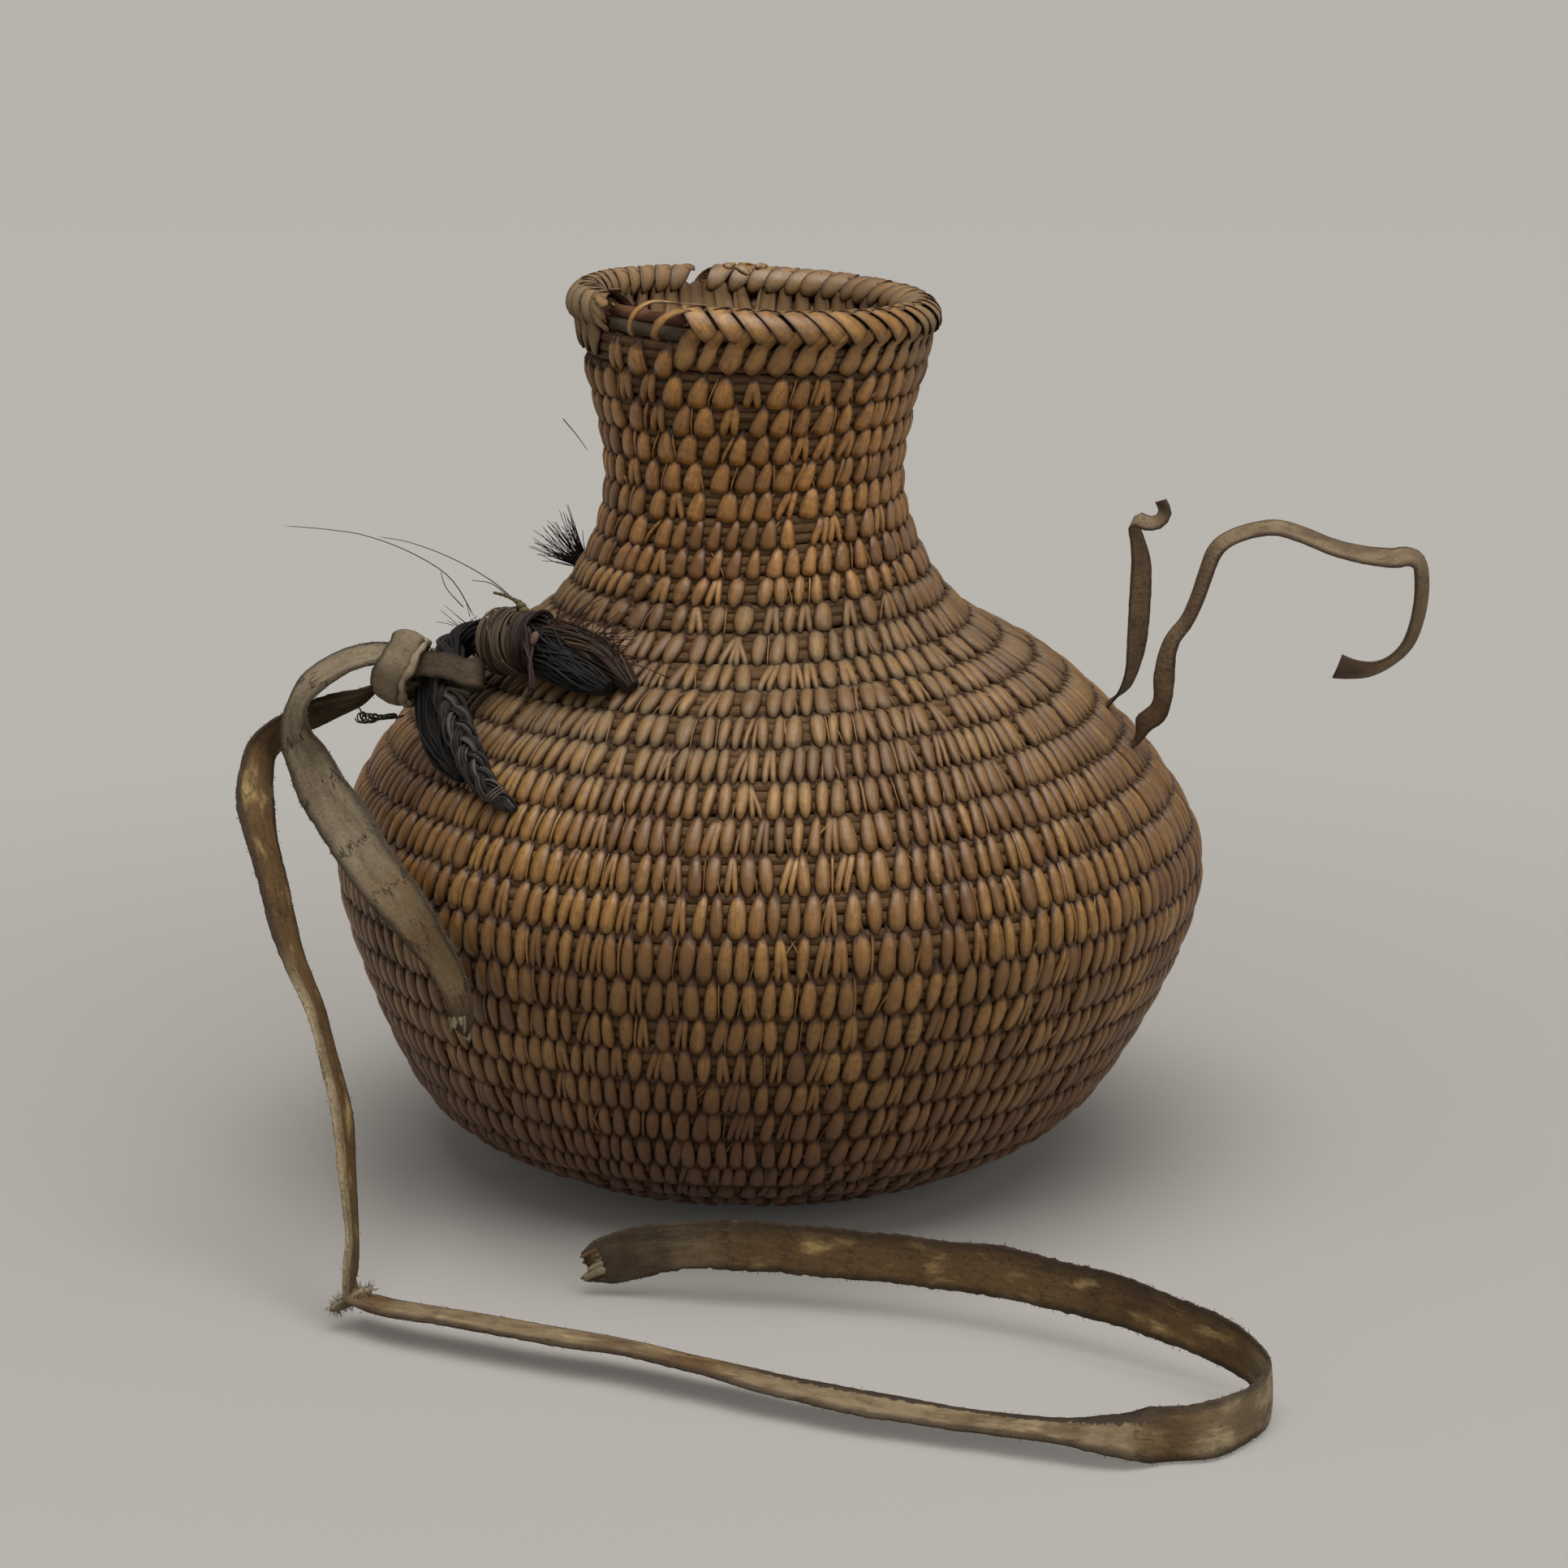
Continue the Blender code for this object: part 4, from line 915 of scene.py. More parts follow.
class Shape(Enum):
    """How a splint shows on the wall: its half widths and its thicknesses from the top down."""

    LEAF = (
        (0.0, 0.22, 0.43, 0.70, 0.93, 1.05, 1.02, 0.80, 0.0),
        (0.1, 0.4, 0.7, 0.95, 1.05, 1.05, 1.0, 0.85, 0.2),
    )
    DROP = (
        (0.0, 0.22, 0.42, 0.66, 0.88, 1.04, 1.12, 1.02, 0.0),
        (0.1, 0.4, 0.7, 0.95, 1.05, 1.05, 1.0, 0.85, 0.2),
    )
    POINT = (
        (0.0, 0.32, 0.56, 0.82, 1.0, 0.98, 0.78, 0.44, 0.0),
        (0.1, 0.4, 0.7, 0.95, 1.05, 1.05, 1.0, 0.8, 0.2),
    )
    SLIVER = (
        (0.0, 0.55, 0.85, 1.0, 1.0, 0.95, 0.85, 0.60, 0.0),
        (0.1, 0.5, 0.7, 0.9, 1.0, 1.0, 0.9, 0.7, 0.2),
    )


@dataclass(frozen=True)
class Stitch:
    """One splint: where its foot lies along the coil, in turns, how far its top leans, and how it looks."""

    foot: float
    lean: float
    width: float
    tone: float
    shape: Shape


@dataclass
class Basket:
    """The coiled wall's splints and rods.

    A splint is left out where the space to the one before is less than the share crowded of the usual,
    and one more is put in where it is more than the share sparse. Halved, slivered and threaded are the
    chances, added up, of a split splint's three kinds. The rim covers the topmost turn's splints but for
    those between the azimuths bare_from and bare_to.
    """

    wall: CoiledWall
    splint: bpy.types.Material
    rod: bpy.types.Material
    inner: bpy.types.Material
    rows: tuple[float, ...] = (0.0, 0.05, 0.15, 0.31, 0.48, 0.66, 0.83, 0.95, 1.0)
    lean_heights: tuple[float, ...] = (0.0, 0.06, 0.13, 0.17, 0.24)
    leans: tuple[float, ...] = (0.05, 0.08, 0.14, 0.16, 0.28)
    start_space: float = 0.0046
    crowded: float = 0.70
    sparse: float = 1.36
    slip: float = 0.07
    swell: float = 0.0015
    sliver_swell: float = 0.0011
    sliver_width: float = 0.52
    halved: float = 0.18
    slivered: float = 0.32
    threaded: float = 0.52
    sides: int = 8
    inner_courses: int = 4
    bare_from: float = -54.0
    bare_to: float = -22.0

    def __post_init__(self) -> None:
        """Lays out the splints."""
        self.finishes = (self.splint, self.rod)
        self.draw = np.random.default_rng(self.wall.seed)
        self.stitches = self.lay()

    def local(self, turns: float) -> tuple[float, float, float]:
        """Circumference, height and turn height of the coil after so many turns."""
        low = float(self.wall.edge(turns))
        high = float(self.wall.edge(turns + 1.0))
        radius, height, _, _ = self.wall.profile(np.array([(low + high) / 2]))
        return 2 * math.pi * float(radius[0]), float(height[0]), high - low

    def lay(self) -> list[Stitch]:
        """Sews each turn into the gaps between the splints of the turn below.

        Returns:
            The splints from the base up.
        """
        wall = self.wall
        end = wall.courses - 1 + wall.end_taper
        feet: list[float] = []
        tops: list[float] = []
        turns = wall.start_taper
        while turns < 1.0 + wall.start_taper:
            feet.append(turns)
            tops.append(turns)
            turns += self.start_space / self.local(turns)[0]
        below = 0
        while feet[-1] < end and below < len(tops) - 1:
            around, height, tall = self.local(feet[-1])
            usual = wall.gap_at(height)
            foot = (tops[below] + tops[below + 1]) / 2 + 1.0
            below += 1
            space = (foot - feet[-1]) * around
            if space < self.crowded * usual:
                continue
            lean = float(np.interp(height, self.lean_heights, self.leans)) * tall / around
            if space > self.sparse * usual:
                middle = (foot + feet[-1]) / 2
                feet.append(middle)
                tops.append(middle + lean)
            foot += float(self.draw.uniform(-self.slip, self.slip)) * usual / around
            feet.append(foot)
            tops.append(foot + lean)
        spaces = np.gradient(np.array(feet))
        return [self.dressed(foot, top, space) for foot, top, space in zip(feet, tops, spaces) if foot < end]

    def dressed(self, foot: float, top: float, space: float) -> Stitch:
        """Chooses one splint's looks: alike for a few splints together, and each a little different.

        Args:
            foot: where its foot lies along the coil, in turns.
            top: where its top lies.
            space: the coil it has to itself, in turns.

        Returns:
            The splint.
        """
        around, height, _ = self.local(foot)
        room = space * around / self.wall.gap_at(height)
        width = float(np.clip(self.draw.normal(1.0, 0.10) * (0.35 + 0.65 * room), 0.70, 1.30))
        drift = 0.55 * noise.noise(Vector((foot * around * 38.0, foot * 0.9, 3.7)))
        tone = float(np.clip(self.draw.normal(0.5, 0.20) + drift, 0.0, 1.0))
        lean = top - foot + float(self.draw.normal(0.0, 0.06)) * self.wall.pitch / around
        pointed = self.draw.random() < float(np.interp(height, (0.105, 0.135), (0.25, 0.80)))
        shape = Shape.DROP if height > 0.178 else Shape.POINT if pointed else Shape.LEAF
        return Stitch(foot, lean, width, tone, shape)

    def spine(self, stitch: Stitch, side: float = 1.0) -> Spine:
        """The rows of one splint.

        Args:
            stitch: the splint.
            side: 1 on the outside of the wall and -1 on its inside.

        Returns:
            Its spine, from the top down.
        """
        wall = self.wall
        down = np.array(self.rows)
        _, height, tall = self.local(stitch.foot)
        lower = float(wall.edge(stitch.foot))
        upper = float(wall.edge(stitch.foot + stitch.lean + 1.0))
        over = 0.15 * tall
        ride = float(np.interp(height, (0.012, 0.034), (0.0, 1.0)))
        under = tall * (0.05 + ride * float(np.interp(height, (0.160, 0.182), (0.15, 0.10))))
        distance = upper + over + (lower - under - upper - over) * down
        share = (distance - (lower + upper) / 2) / ((upper - lower) / 2 + 1e-9)
        azimuth = wall.seam + 360.0 * (stitch.foot + stitch.lean * (1 - eased(down)))
        widths, rises = (np.array(row) for row in stitch.shape.value)
        half = wall.gap_at(height) * float(np.interp(height, (0.150, 0.180), (0.450, 0.390))) * stitch.width
        swell = self.swell
        if stitch.shape is Shape.SLIVER:
            half *= self.sliver_width
            swell = self.sliver_swell
        lowered = share + 0.12 * (1 - share * share)
        offset = wall.surface(np.where(lowered < 0, lowered * 0.84, lowered)) - 0.0003
        level = np.interp(share, (-1.5, -1.36, -1.1, -0.8, -0.6), (0.0012, 0.0021, 0.0023, 0.0023, 0.0022))
        offset = np.where(share < -0.6, np.maximum(offset, level * ride), offset)
        offset[0] -= 0.0006
        offset -= 0.0005 * (height < 0.006)
        offset[-1] -= 0.0008
        places, normals = wall.on_wall(distance, azimuth, offset * side)
        rise = rises * swell
        return Spine(places, normals * side, widths * half, widths * half, rise, rise * 0.6, square=0.72)

    def rod_spine(self, start: float, end: float, index: int, side: float = 1.0) -> Spine:
        """The rows of one rod of the coil's bundle along a stretch of it.

        Args:
            start, end: where the stretch lies along the coil, in turns.
            index: which of the rods it is.
            side: 1 on the outside of the wall and -1 on its inside.

        Returns:
            Its spine.
        """
        wall = self.wall
        count = max(4, round((end - start) * wall.rod_steps))
        turns = blunt(np.linspace(start, end, count + 1)[:, None], 0.00002)[:, 0]
        low = wall.edge(turns)
        high = wall.edge(turns + 1.0)
        half = (high - low) / 2
        place = (index - (wall.rods - 1) / 2) * 0.60
        wobble = 0.03 * np.sin(turns * 37.0 + index * 2.1) + 0.02 * np.sin(turns * 91.0 + index)
        radius = half * 0.37
        offset = (wall.surface(np.full_like(turns, place)) - radius) * side
        distance = (low + high) / 2 + (place + wobble) * half
        centres, normals = wall.on_wall(distance, wall.seam + 360.0 * turns, offset)
        return even_spine(centres, normals, radius, radius)

    def split(self, stitch: Stitch) -> list[Stitch]:
        """Splits some splints, as the awl does that goes through them.

        Args:
            stitch: the splint.

        Returns:
            The splint itself, its two halves, or the splint with a thin length beside it.
        """
        around, height, _ = self.local(stitch.foot)
        step = self.wall.gap_at(height) / around
        spread = float(self.draw.normal(0.0, 0.14)) * self.wall.pitch / around
        chance = float(self.draw.random())
        foot, lean, tone = stitch.foot, stitch.lean, stitch.tone
        thin = Shape.SLIVER
        if chance < self.halved:
            width = stitch.width * 1.12
            near = Stitch(foot - 0.22 * step, lean + 0.18 * step + spread * 0.5, width, tone * 0.9, thin)
            return [near, Stitch(foot + 0.23 * step, lean - 0.20 * step + spread, width * 0.9, tone, thin)]
        if chance < self.slivered:
            return [stitch, Stitch(foot + step * 0.5, lean + spread, 0.5, tone * 0.75, thin)]
        if chance < self.threaded:
            return [stitch, Stitch(foot + step * 0.48, lean + spread * 2.5, 0.24, tone * 0.9 + 0.1, thin)]
        return [stitch]

    def stretch(self, name: str, node: str, start: float, end: float) -> None:
        """Builds one stretch of the coil.

        Args:
            name: the piece's name.
            node: the CAD node it stands for.
            start, end: where it lies along the coil, in turns.
        """
        wall = self.wall
        weave = Weave()
        inner = end > wall.courses - self.inner_courses
        for side, tone, seed in ((1.0, 0.5, 0), (-1.0, 0.4, 9))[: 2 if inner else 1]:
            for index in range(wall.rods):
                rod = self.rod_spine(start, end, index, side)
                weave.add(rod, self.sides, tone, float(index + start) + seed, 1)
        for stitch in self.stitches:
            if not start <= stitch.foot < end:
                continue
            azimuth = (wall.seam + 360.0 * stitch.foot + 180.0) % 360.0 - 180.0
            topmost = stitch.foot > wall.courses - 2 + wall.end_taper
            hidden = topmost and not self.bare_from < azimuth < self.bare_to
            for part in () if hidden else self.split(stitch):
                weave.add(self.spine(part), self.sides, part.tone, part.foot * 3.7, 0)
            if inner:
                weave.add(self.spine(stitch, -1.0), self.sides, stitch.tone * 0.6, stitch.foot * 3.7 + 2, 2)
        finishes = (*self.finishes, self.inner) if inner else self.finishes
        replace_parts(weave.piece(name, finishes), node)

    def build(self) -> None:
        """Builds the base and every turn of the wall."""
        wall = self.wall
        self.stretch("base_coil_sewn", "base_coil", wall.start_taper, float(wall.base_turns))
        for turn in range(wall.base_turns, wall.courses):
            number = turn - wall.base_turns + 1
            end = turn + 1.0 if turn < wall.courses - 1 else turn + wall.end_taper
            self.stretch(f"course_{number:02d}_sewn", f"wall_course_{number:02d}", float(turn), end)
        self.build_start_knot()

    def build_start_knot(self) -> None:
        """The middle of the base: a tight disc of short splints that fan out from one point."""
        weave = Weave()
        wall = self.wall
        radius = float(wall.edge(1.0)) - 0.0004
        rows = np.linspace(-0.6, 0.6, 9)
        for level in (0.0018, 0.0056):
            places = wall.on_jar(rows * radius, np.full(9, level), np.full(9, 90.0))
            size = np.sqrt(np.maximum(1 - rows**2, 0)) * radius
            weave.add(even_spine(places, np.tile((0.0, 0.0, 1.0), (9, 1)), size, 0.0016), 20, 0.3, level, 1)
        half = np.array((0.2, 0.4, 0.6, 0.85, 1.0, 0.9, 0.3)) * 0.0018
        count = 16
        for k in range(count):
            reach = np.linspace(0.06, 1.0, 7) * radius
            places = wall.on_jar(reach, np.full(7, 0.0009), np.full(7, 360.0 * k / count))
            fan = even_spine(places, np.tile((0.0, 0.0, -1.0), (7, 1)), half, 0.0007)
            weave.add(fan, self.sides, float(self.draw.random()), k, 0)
        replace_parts(weave.piece("start_knot_sewn", self.finishes), "base_start_knot")


@dataclass(frozen=True)
class LooseSplint:
    """A splint that has come away from the rim.

    Its rows are azimuth, degrees round the coil's section and millimetres over it. Half is its half width.
    """

    rows: tuple[tuple[float, float, float], ...]
    half: float


@dataclass
class Rim:
    """The rim coil, bound over with two rows of slanting splints that cross like a herringbone.

    Step is the space from splint to splint in degrees. Cores are the rods inside the coil, each with its
    place round the section and its radius. The back gap and the lump beside it lie between two azimuths.
    """

    wall: CoiledWall
    splint: bpy.types.Material
    rod: bpy.types.Material
    radius: float = 0.0462
    height: float = 0.2436
    tube: float = 0.0046
    step: float = 7.9
    sides: int = 8
    cores: tuple[tuple[float, float], ...] = ((0.0, 0.0036), (90.0, 0.0021), (-30.0, 0.0022), (210.0, 0.0021))
    back_gap: tuple[float, float] = (190.0, 208.0)
    lump: tuple[float, float] = (177.0, 191.0)
    seed: int = 11
    loose_right: tuple[LooseSplint, ...] = (
        LooseSplint(
            (
                (-17.0, 112.0, 0.6),
                (-24.0, 100.0, 0.8),
                (-30.0, 88.0, 1.0),
                (-34.5, 60.0, 1.5),
                (-38.0, 14.0, 1.6),
                (-40.0, -36.0, 1.0),
                (-40.6, -64.0, 0.4),
            ),
            0.00095,
        ),
        LooseSplint(
            (
                (-19.0, 58.0, 0.8),
                (-24.4, 40.0, 1.1),
                (-28.6, 6.0, 1.3),
                (-31.0, -34.0, 1.0),
                (-31.6, -64.0, 0.3),
            ),
            0.0013,
        ),
        LooseSplint(((-14.0, 98.0, 0.9), (-19.0, 96.0, 1.0), (-26.0, 94.0, 0.9)), 0.0005),
    )
    loose_left: tuple[LooseSplint, ...] = (
        LooseSplint(((298.0, 120.0, 0.8), (304.0, 100.0, 1.6), (309.5, 84.0, 2.4)), 0.0014),
        LooseSplint(((300.0, 60.0, 0.8), (306.0, 40.0, 1.4), (311.0, 30.0, 1.6)), 0.0013),
        LooseSplint(((301.0, 10.0, 0.6), (306.5, -20.0, 1.0), (309.0, -50.0, 0.7)), 0.0014),
    )

    def __post_init__(self) -> None:
        """Starts the random draws."""
        self.finishes = (self.splint, self.rod)
        self.draw = np.random.default_rng(self.seed)

    def varied(self, usual: float, spread: float, low: float, high: float) -> float:
        """A number near the usual one, kept between two others."""
        return float(np.clip(self.draw.normal(usual, spread), low, high))

    def on_rim(self, azimuth: Array, around: Array, lift: Array | float) -> tuple[Array, Array]:
        """Places on the rim coil.

        Args:
            azimuth: degrees round from the front.
            around: degrees round the coil's own section, 0 facing out and 90 facing up.
            lift: how far over the coil.

        Returns:
            The places and the ways they face.
        """
        turn = np.radians(around)
        reach = self.tube + np.asarray(lift)
        radius = self.radius + reach * np.cos(turn)
        places = self.wall.on_jar(radius, self.height + reach * np.sin(turn), azimuth)
        way = np.radians(azimuth)
        normals = np.column_stack((np.cos(turn) * np.sin(way), -np.cos(turn) * np.cos(way), np.sin(turn)))
        return places, normals

    def tipped(self, places: Array, normals: Array, share: float) -> Array:
        """Normals that lean sideways, so that each strip's one edge lies over the strip beside it."""
        return normals + unit(np.cross(np.gradient(places, axis=0), normals)) * share

    def over_strip(self, azimuth: float, ends: tuple[float, float]) -> Spine:
        """A splint that comes over the top of the coil and runs down its outside to the right.

        Args:
            azimuth: where it starts.
            ends: the azimuths between which the coil is left.

        Returns:
            Its spine.
        """
        t = np.linspace(0, 1, 13)
        slide = np.clip(azimuth - 3.0 + 13.6 * t, *ends)
        lift = 0.0002 + 0.0009 * np.clip((t - 0.35) / 0.5, 0, 1) ** 2 + 0.0006 * (1 - t) ** 2 - 0.0016 * t**10
        places, normals = self.on_rim(slide, 132.0 - 170.0 * t, lift)
        half = np.array((0.0, 0.45, 0.7, 0.88, 1, 1, 1, 1, 1, 1, 0.98, 0.90, 0.0)) * 0.0026
        half = half * self.varied(1.0, 0.08, 0.82, 1.16)
        return even_spine(places, self.tipped(places, normals, -0.11), half, 0.00020, 0.4)

    def inner_strip(self, azimuth: float, ends: tuple[float, float]) -> Spine:
        """A splint that comes over from the outside and ends round on the inside of the coil.

        Args:
            azimuth: where it starts.
            ends: the azimuths between which the coil is left.

        Returns:
            Its spine.
        """
        t = np.linspace(0, 1, 13)
        slide = np.clip(azimuth - 3.0 + 12.0 * t, *ends)
        lift = 0.0001 + 0.0004 * np.sin(np.pi * t) + 0.0009 * t**3
        places, normals = self.on_rim(slide, 66.0 + 134.0 * t, lift)
        half = np.array((0.0, 0.7, 0.9, 1, 1, 1, 1, 1, 0.96, 0.88, 0.74, 0.5, 0.0)) * 0.0028
        half = half * self.varied(1.0, 0.10, 0.8, 1.2)
        return even_spine(places, self.tipped(places, normals, -0.11), half, 0.00032, 0.6)

    def inside_strip(self, azimuth: float, lean: float, size: float, ends: tuple[float, float]) -> Spine:
        """A splint of the top turn inside the neck, from under the rim's own down to a point.

        Args:
            azimuth: its middle.
            lean: how far its foot lies from its head, in degrees.
            size: its half width in metres.
            ends: the azimuths between which it has to stay.

        Returns:
            Its spine.
        """
        t = np.linspace(0, 1, 12)
        slide = np.clip(azimuth + lean * (t - 0.5), *ends)
        on_coil, facing = self.on_rim(slide, 166.0 + 60.0 * t, np.full(12, 0.0002))
        distance = self.wall.length - 0.0010 - 0.0105 * np.clip((t - 0.18) / 0.82, 0, 1)
        on_wall, wall_facing = self.wall.on_wall(distance, slide, -0.0040 - 0.0007 * np.sin(np.pi * t))
        share = eased(np.clip((t - 0.10) / 0.28, 0, 1))[:, None]
        places = on_coil * (1 - share) + on_wall * share
        normals = facing * (1 - share) - wall_facing * share
        half = np.array((0.0, 0.5, 0.72, 0.88, 0.98, 1, 1, 0.96, 0.86, 0.7, 0.45, 0.0)) * size
        return even_spine(places, normals, half, 0.0006, 0.7)

    def under_strip(self, azimuth: float, ends: tuple[float, float]) -> Spine:
        """A splint that shows under the first row and runs down to the left, over the turn below.

        Args:
            azimuth: where it starts.
            ends: the azimuths between which the coil is left.

        Returns:
            Its spine.
        """
        t = np.linspace(0, 1, 12)
        around = 12.0 - 74.0 * np.minimum(t / 0.55, 1.0)
        slide = np.clip(azimuth + 5.5 - 10.0 * t, *ends)
        on_coil, facing = self.on_rim(slide, around, 0.0001 + 0.0002 * np.sin(np.pi * t))
        distance = self.wall.length - 0.0010 - 0.0064 * np.clip((t - 0.5) / 0.5, 0, 1)
        on_wall, wall_facing = self.wall.on_wall(distance, slide, 0.0034 - 0.0008 * t**4)
        share = eased(np.clip((t - 0.42) / 0.26, 0, 1))[:, None]
        places = on_coil * (1 - share) + on_wall * share
        places[-1] += wall_facing[-1] * -0.0012
        normals = facing * (1 - share) + wall_facing * share
        half = np.array((0.0, 0.55, 0.7, 0.8, 0.88, 0.95, 1.0, 1.05, 1.05, 0.98, 0.78, 0.0)) * 0.0026
        half = half * self.varied(1.0, 0.10, 0.78, 1.2)
        return even_spine(places, self.tipped(places, normals, 0.08), half, 0.00055, 0.75)

    def loose_strip(self, loose: LooseSplint) -> Spine:
        """The rows of a splint that has come away from the coil."""
        azimuth, around, lift = resampled(catmull(loose.rows), 18).T
        places, normals = self.on_rim(azimuth, around, lift / 1000.0)
        along = np.linspace(0, 1, 18)
        ends = np.minimum(1.0, np.minimum(along, 1 - along) * 9)
        return even_spine(places, normals, loose.half * ends * (1 + 0.1 * np.sin(along * 17)), 0.0003, 0.6)

    def frayed_end(self, weave: Weave, azimuth: float, way: float, count: int) -> None:
        """Splinters that stand out of a broken end.

        Args:
            weave: what they are added to.
            azimuth: where the coil breaks off.
            way: 1 where the gap is on the side of greater azimuths, else -1.
            count: how many there are.
        """
        draw = self.draw
        for k in range(count):
            around = 360.0 * k / count + float(draw.uniform(-20, 20))
            long = float(draw.uniform(2.0, 4.6)) if k % 3 else float(draw.uniform(0.8, 2.0))
            t = np.linspace(0, 1, 7)
            spread = float(draw.uniform(-0.0012, 0.0012))
            sink = float(draw.uniform(-0.0036, -0.0012))
            slide = azimuth + way * (t * long - 1.5)
            places, normals = self.on_rim(slide, around + 26.0 * t * draw.normal(), sink + spread * t)
            size = np.array((0.0, 1.0, 1.0, 0.9, 0.7, 0.45, 0.0)) * float(draw.uniform(0.00025, 0.0006))
            tone = float(draw.uniform(0.1, 0.9))
            weave.add(even_spine(places, normals, size, size * 0.45), 6, tone, k * 2.3, k % 2)

    def side(
        self, name: str, node: str, start: float, end: float, inside: float, loose: Sequence[LooseSplint]
    ) -> None:
        """Sews one surviving length of the rim.

        Args:
            name: the piece's name.
            node: the CAD node it stands for.
            start, end: the azimuths of its ends.
            inside: how far its inner splints run on past its end, in degrees.
            loose: the splints that have come away from it.
        """
        weave = Weave()
        for around, radius in self.cores:
            steps = round((end - start) / 4)
            azimuths = blunt(np.linspace(start + 2.6, end - 2.6, steps)[:, None], 0.02)[:, 0]
            sink = -self.tube if radius > 0.003 else radius * 0.95 - self.tube
            centres, normals = self.on_rim(azimuths, np.full_like(azimuths, around), sink)
            size = np.full(len(azimuths), radius)
            weave.add(even_spine(centres, normals, size, size), self.sides, 0.6, around, 1)
        count = round((end - start) / self.step)
        ends = (start - 3.4, end + 0.6)
        kinds = (
            (self.under_strip, 2.0, 0.9, 1.3),
            (self.inner_strip, 3.5, 0.8, 1.1),
            (self.over_strip, 3.5, 1.0, 1.7),
        )
        for k in range(count + 1):
            azimuth = start + (end - start) * k / count
            tone = self.varied(0.62, 0.2, 0, 1)
            for strip, room, share, seed in kinds:
                if azimuth + room < end:
                    spine = strip(azimuth + float(self.draw.normal(0, 0.6)), ends)
                    weave.add(spine, self.sides, tone * share, k * seed)
        self.line_inside(weave, start, end + inside)
        self.frayed_end(weave, start, -1.0, 16)
        self.frayed_end(weave, end, 1.0, 18)
        for k, splint in enumerate(loose):
            weave.add(self.loose_strip(splint), self.sides, 0.75 - 0.06 * k, k * 5.1)
        if name == "rim_right_bound":
            self.broken_lump(weave)
        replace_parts(weave.piece(name, self.finishes), node)

    def line_inside(self, weave: Weave, start: float, end: float) -> None:
        """Sews the broad splints and the thin lengths between them inside the neck's top.

        Args:
            weave: what they are added to.
            start, end: the azimuths between which they lie.
        """
        draw = self.draw
        bounds = (start, end)
        azimuth = start + 1.0
        while azimuth < end - 1.0:
            lean = float(draw.normal(-1.0, 3.4))
            size = self.varied(0.0025, 0.0004, 0.0014, 0.0031)
            tone = self.varied(0.45, 0.22, 0.0, 1.0)
            weave.add(self.inside_strip(azimuth, lean, size, bounds), self.sides, tone, azimuth * 0.3)
            if draw.random() < 0.4:
                beside = azimuth + float(draw.uniform(2.8, 4.4))
                thin = self.inside_strip(beside, lean + draw.normal(0, 5.0), 0.0008, bounds)
                weave.add(thin, self.sides, 0.8, beside)
            close = 0.55 if self.back_gap[0] < azimuth < self.back_gap[1] else 1.0
            azimuth += self.step * float(draw.uniform(0.85, 1.12)) * close

    def broken_lump(self, weave: Weave) -> None:
        """The torn splints that stand up on the back of the rim beside its gap."""
        draw = self.draw
        count = 17
        for k in range(count):
            azimuth = float(draw.uniform(*self.lump))
            turn = float(draw.normal(0.0, 5.0))
            t = np.linspace(0, 1, 7)
            around = 70.0 + float(draw.uniform(-45, 55)) + 40.0 * (t - 0.5) * draw.normal()
            lift = 0.0004 + float(draw.uniform(0.0, 0.0014)) * np.sin(np.pi * t) + 0.0002 * k / count
            places, normals = self.on_rim(azimuth + turn * (t - 0.5), around, lift)
            size = np.array((0.0, 0.7, 1.0, 1.0, 0.9, 0.6, 0.0)) * float(draw.uniform(0.0007, 0.0018))
            tone = float(draw.uniform(0.5, 1.0))
            weave.add(even_spine(places, normals, size, size * 0.4), self.sides, tone, k * 3.3)

    def build(self) -> None:
        """Builds both lengths of the rim and the rods bared in its front break."""
        self.side("rim_right_bound", "rim_coil_right", -21.5, 197.5, 9.5, self.loose_right)
        self.side("rim_left_bound", "rim_coil_left", 207.0, 306.0, 0.0, self.loose_left)
        self.bare_rods()

    def bare_rods(self) -> None:
        """The two rods that show in the front break, the upper red brown and the lower grey."""
        red = RodFinish("rod_red_brown", srgb(124, 82, 54), srgb(60, 37, 25), 900.0).material()
        grey = RodFinish("rod_grey_bark", srgb(104, 88, 68), srgb(46, 37, 29), 900.0).material()
        rods = (
            ("rod_upper_bared", "rim_rod_upper", 0.0017, 0.0012, red),
            ("rod_lower_bared", "rim_rod_lower", 0.0022, -0.0024, grey),
        )
        for name, node, radius, rise, finish in rods:
            weave = Weave()
            azimuths = np.linspace(-55.5, -20.0, 24)
            wave = 0.00025 * np.sin(np.radians(azimuths) * 9.0)
            centres = self.wall.on_jar(self.radius + wave, np.full(24, self.height + rise), azimuths)
            size = closed(radius * (1 + 0.06 * np.sin(np.radians(azimuths) * 23.0)))
            weave.add(round_spine(centres, size), 12, 0.5, radius * 900)
            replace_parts(weave.piece(name, (finish,)), node)


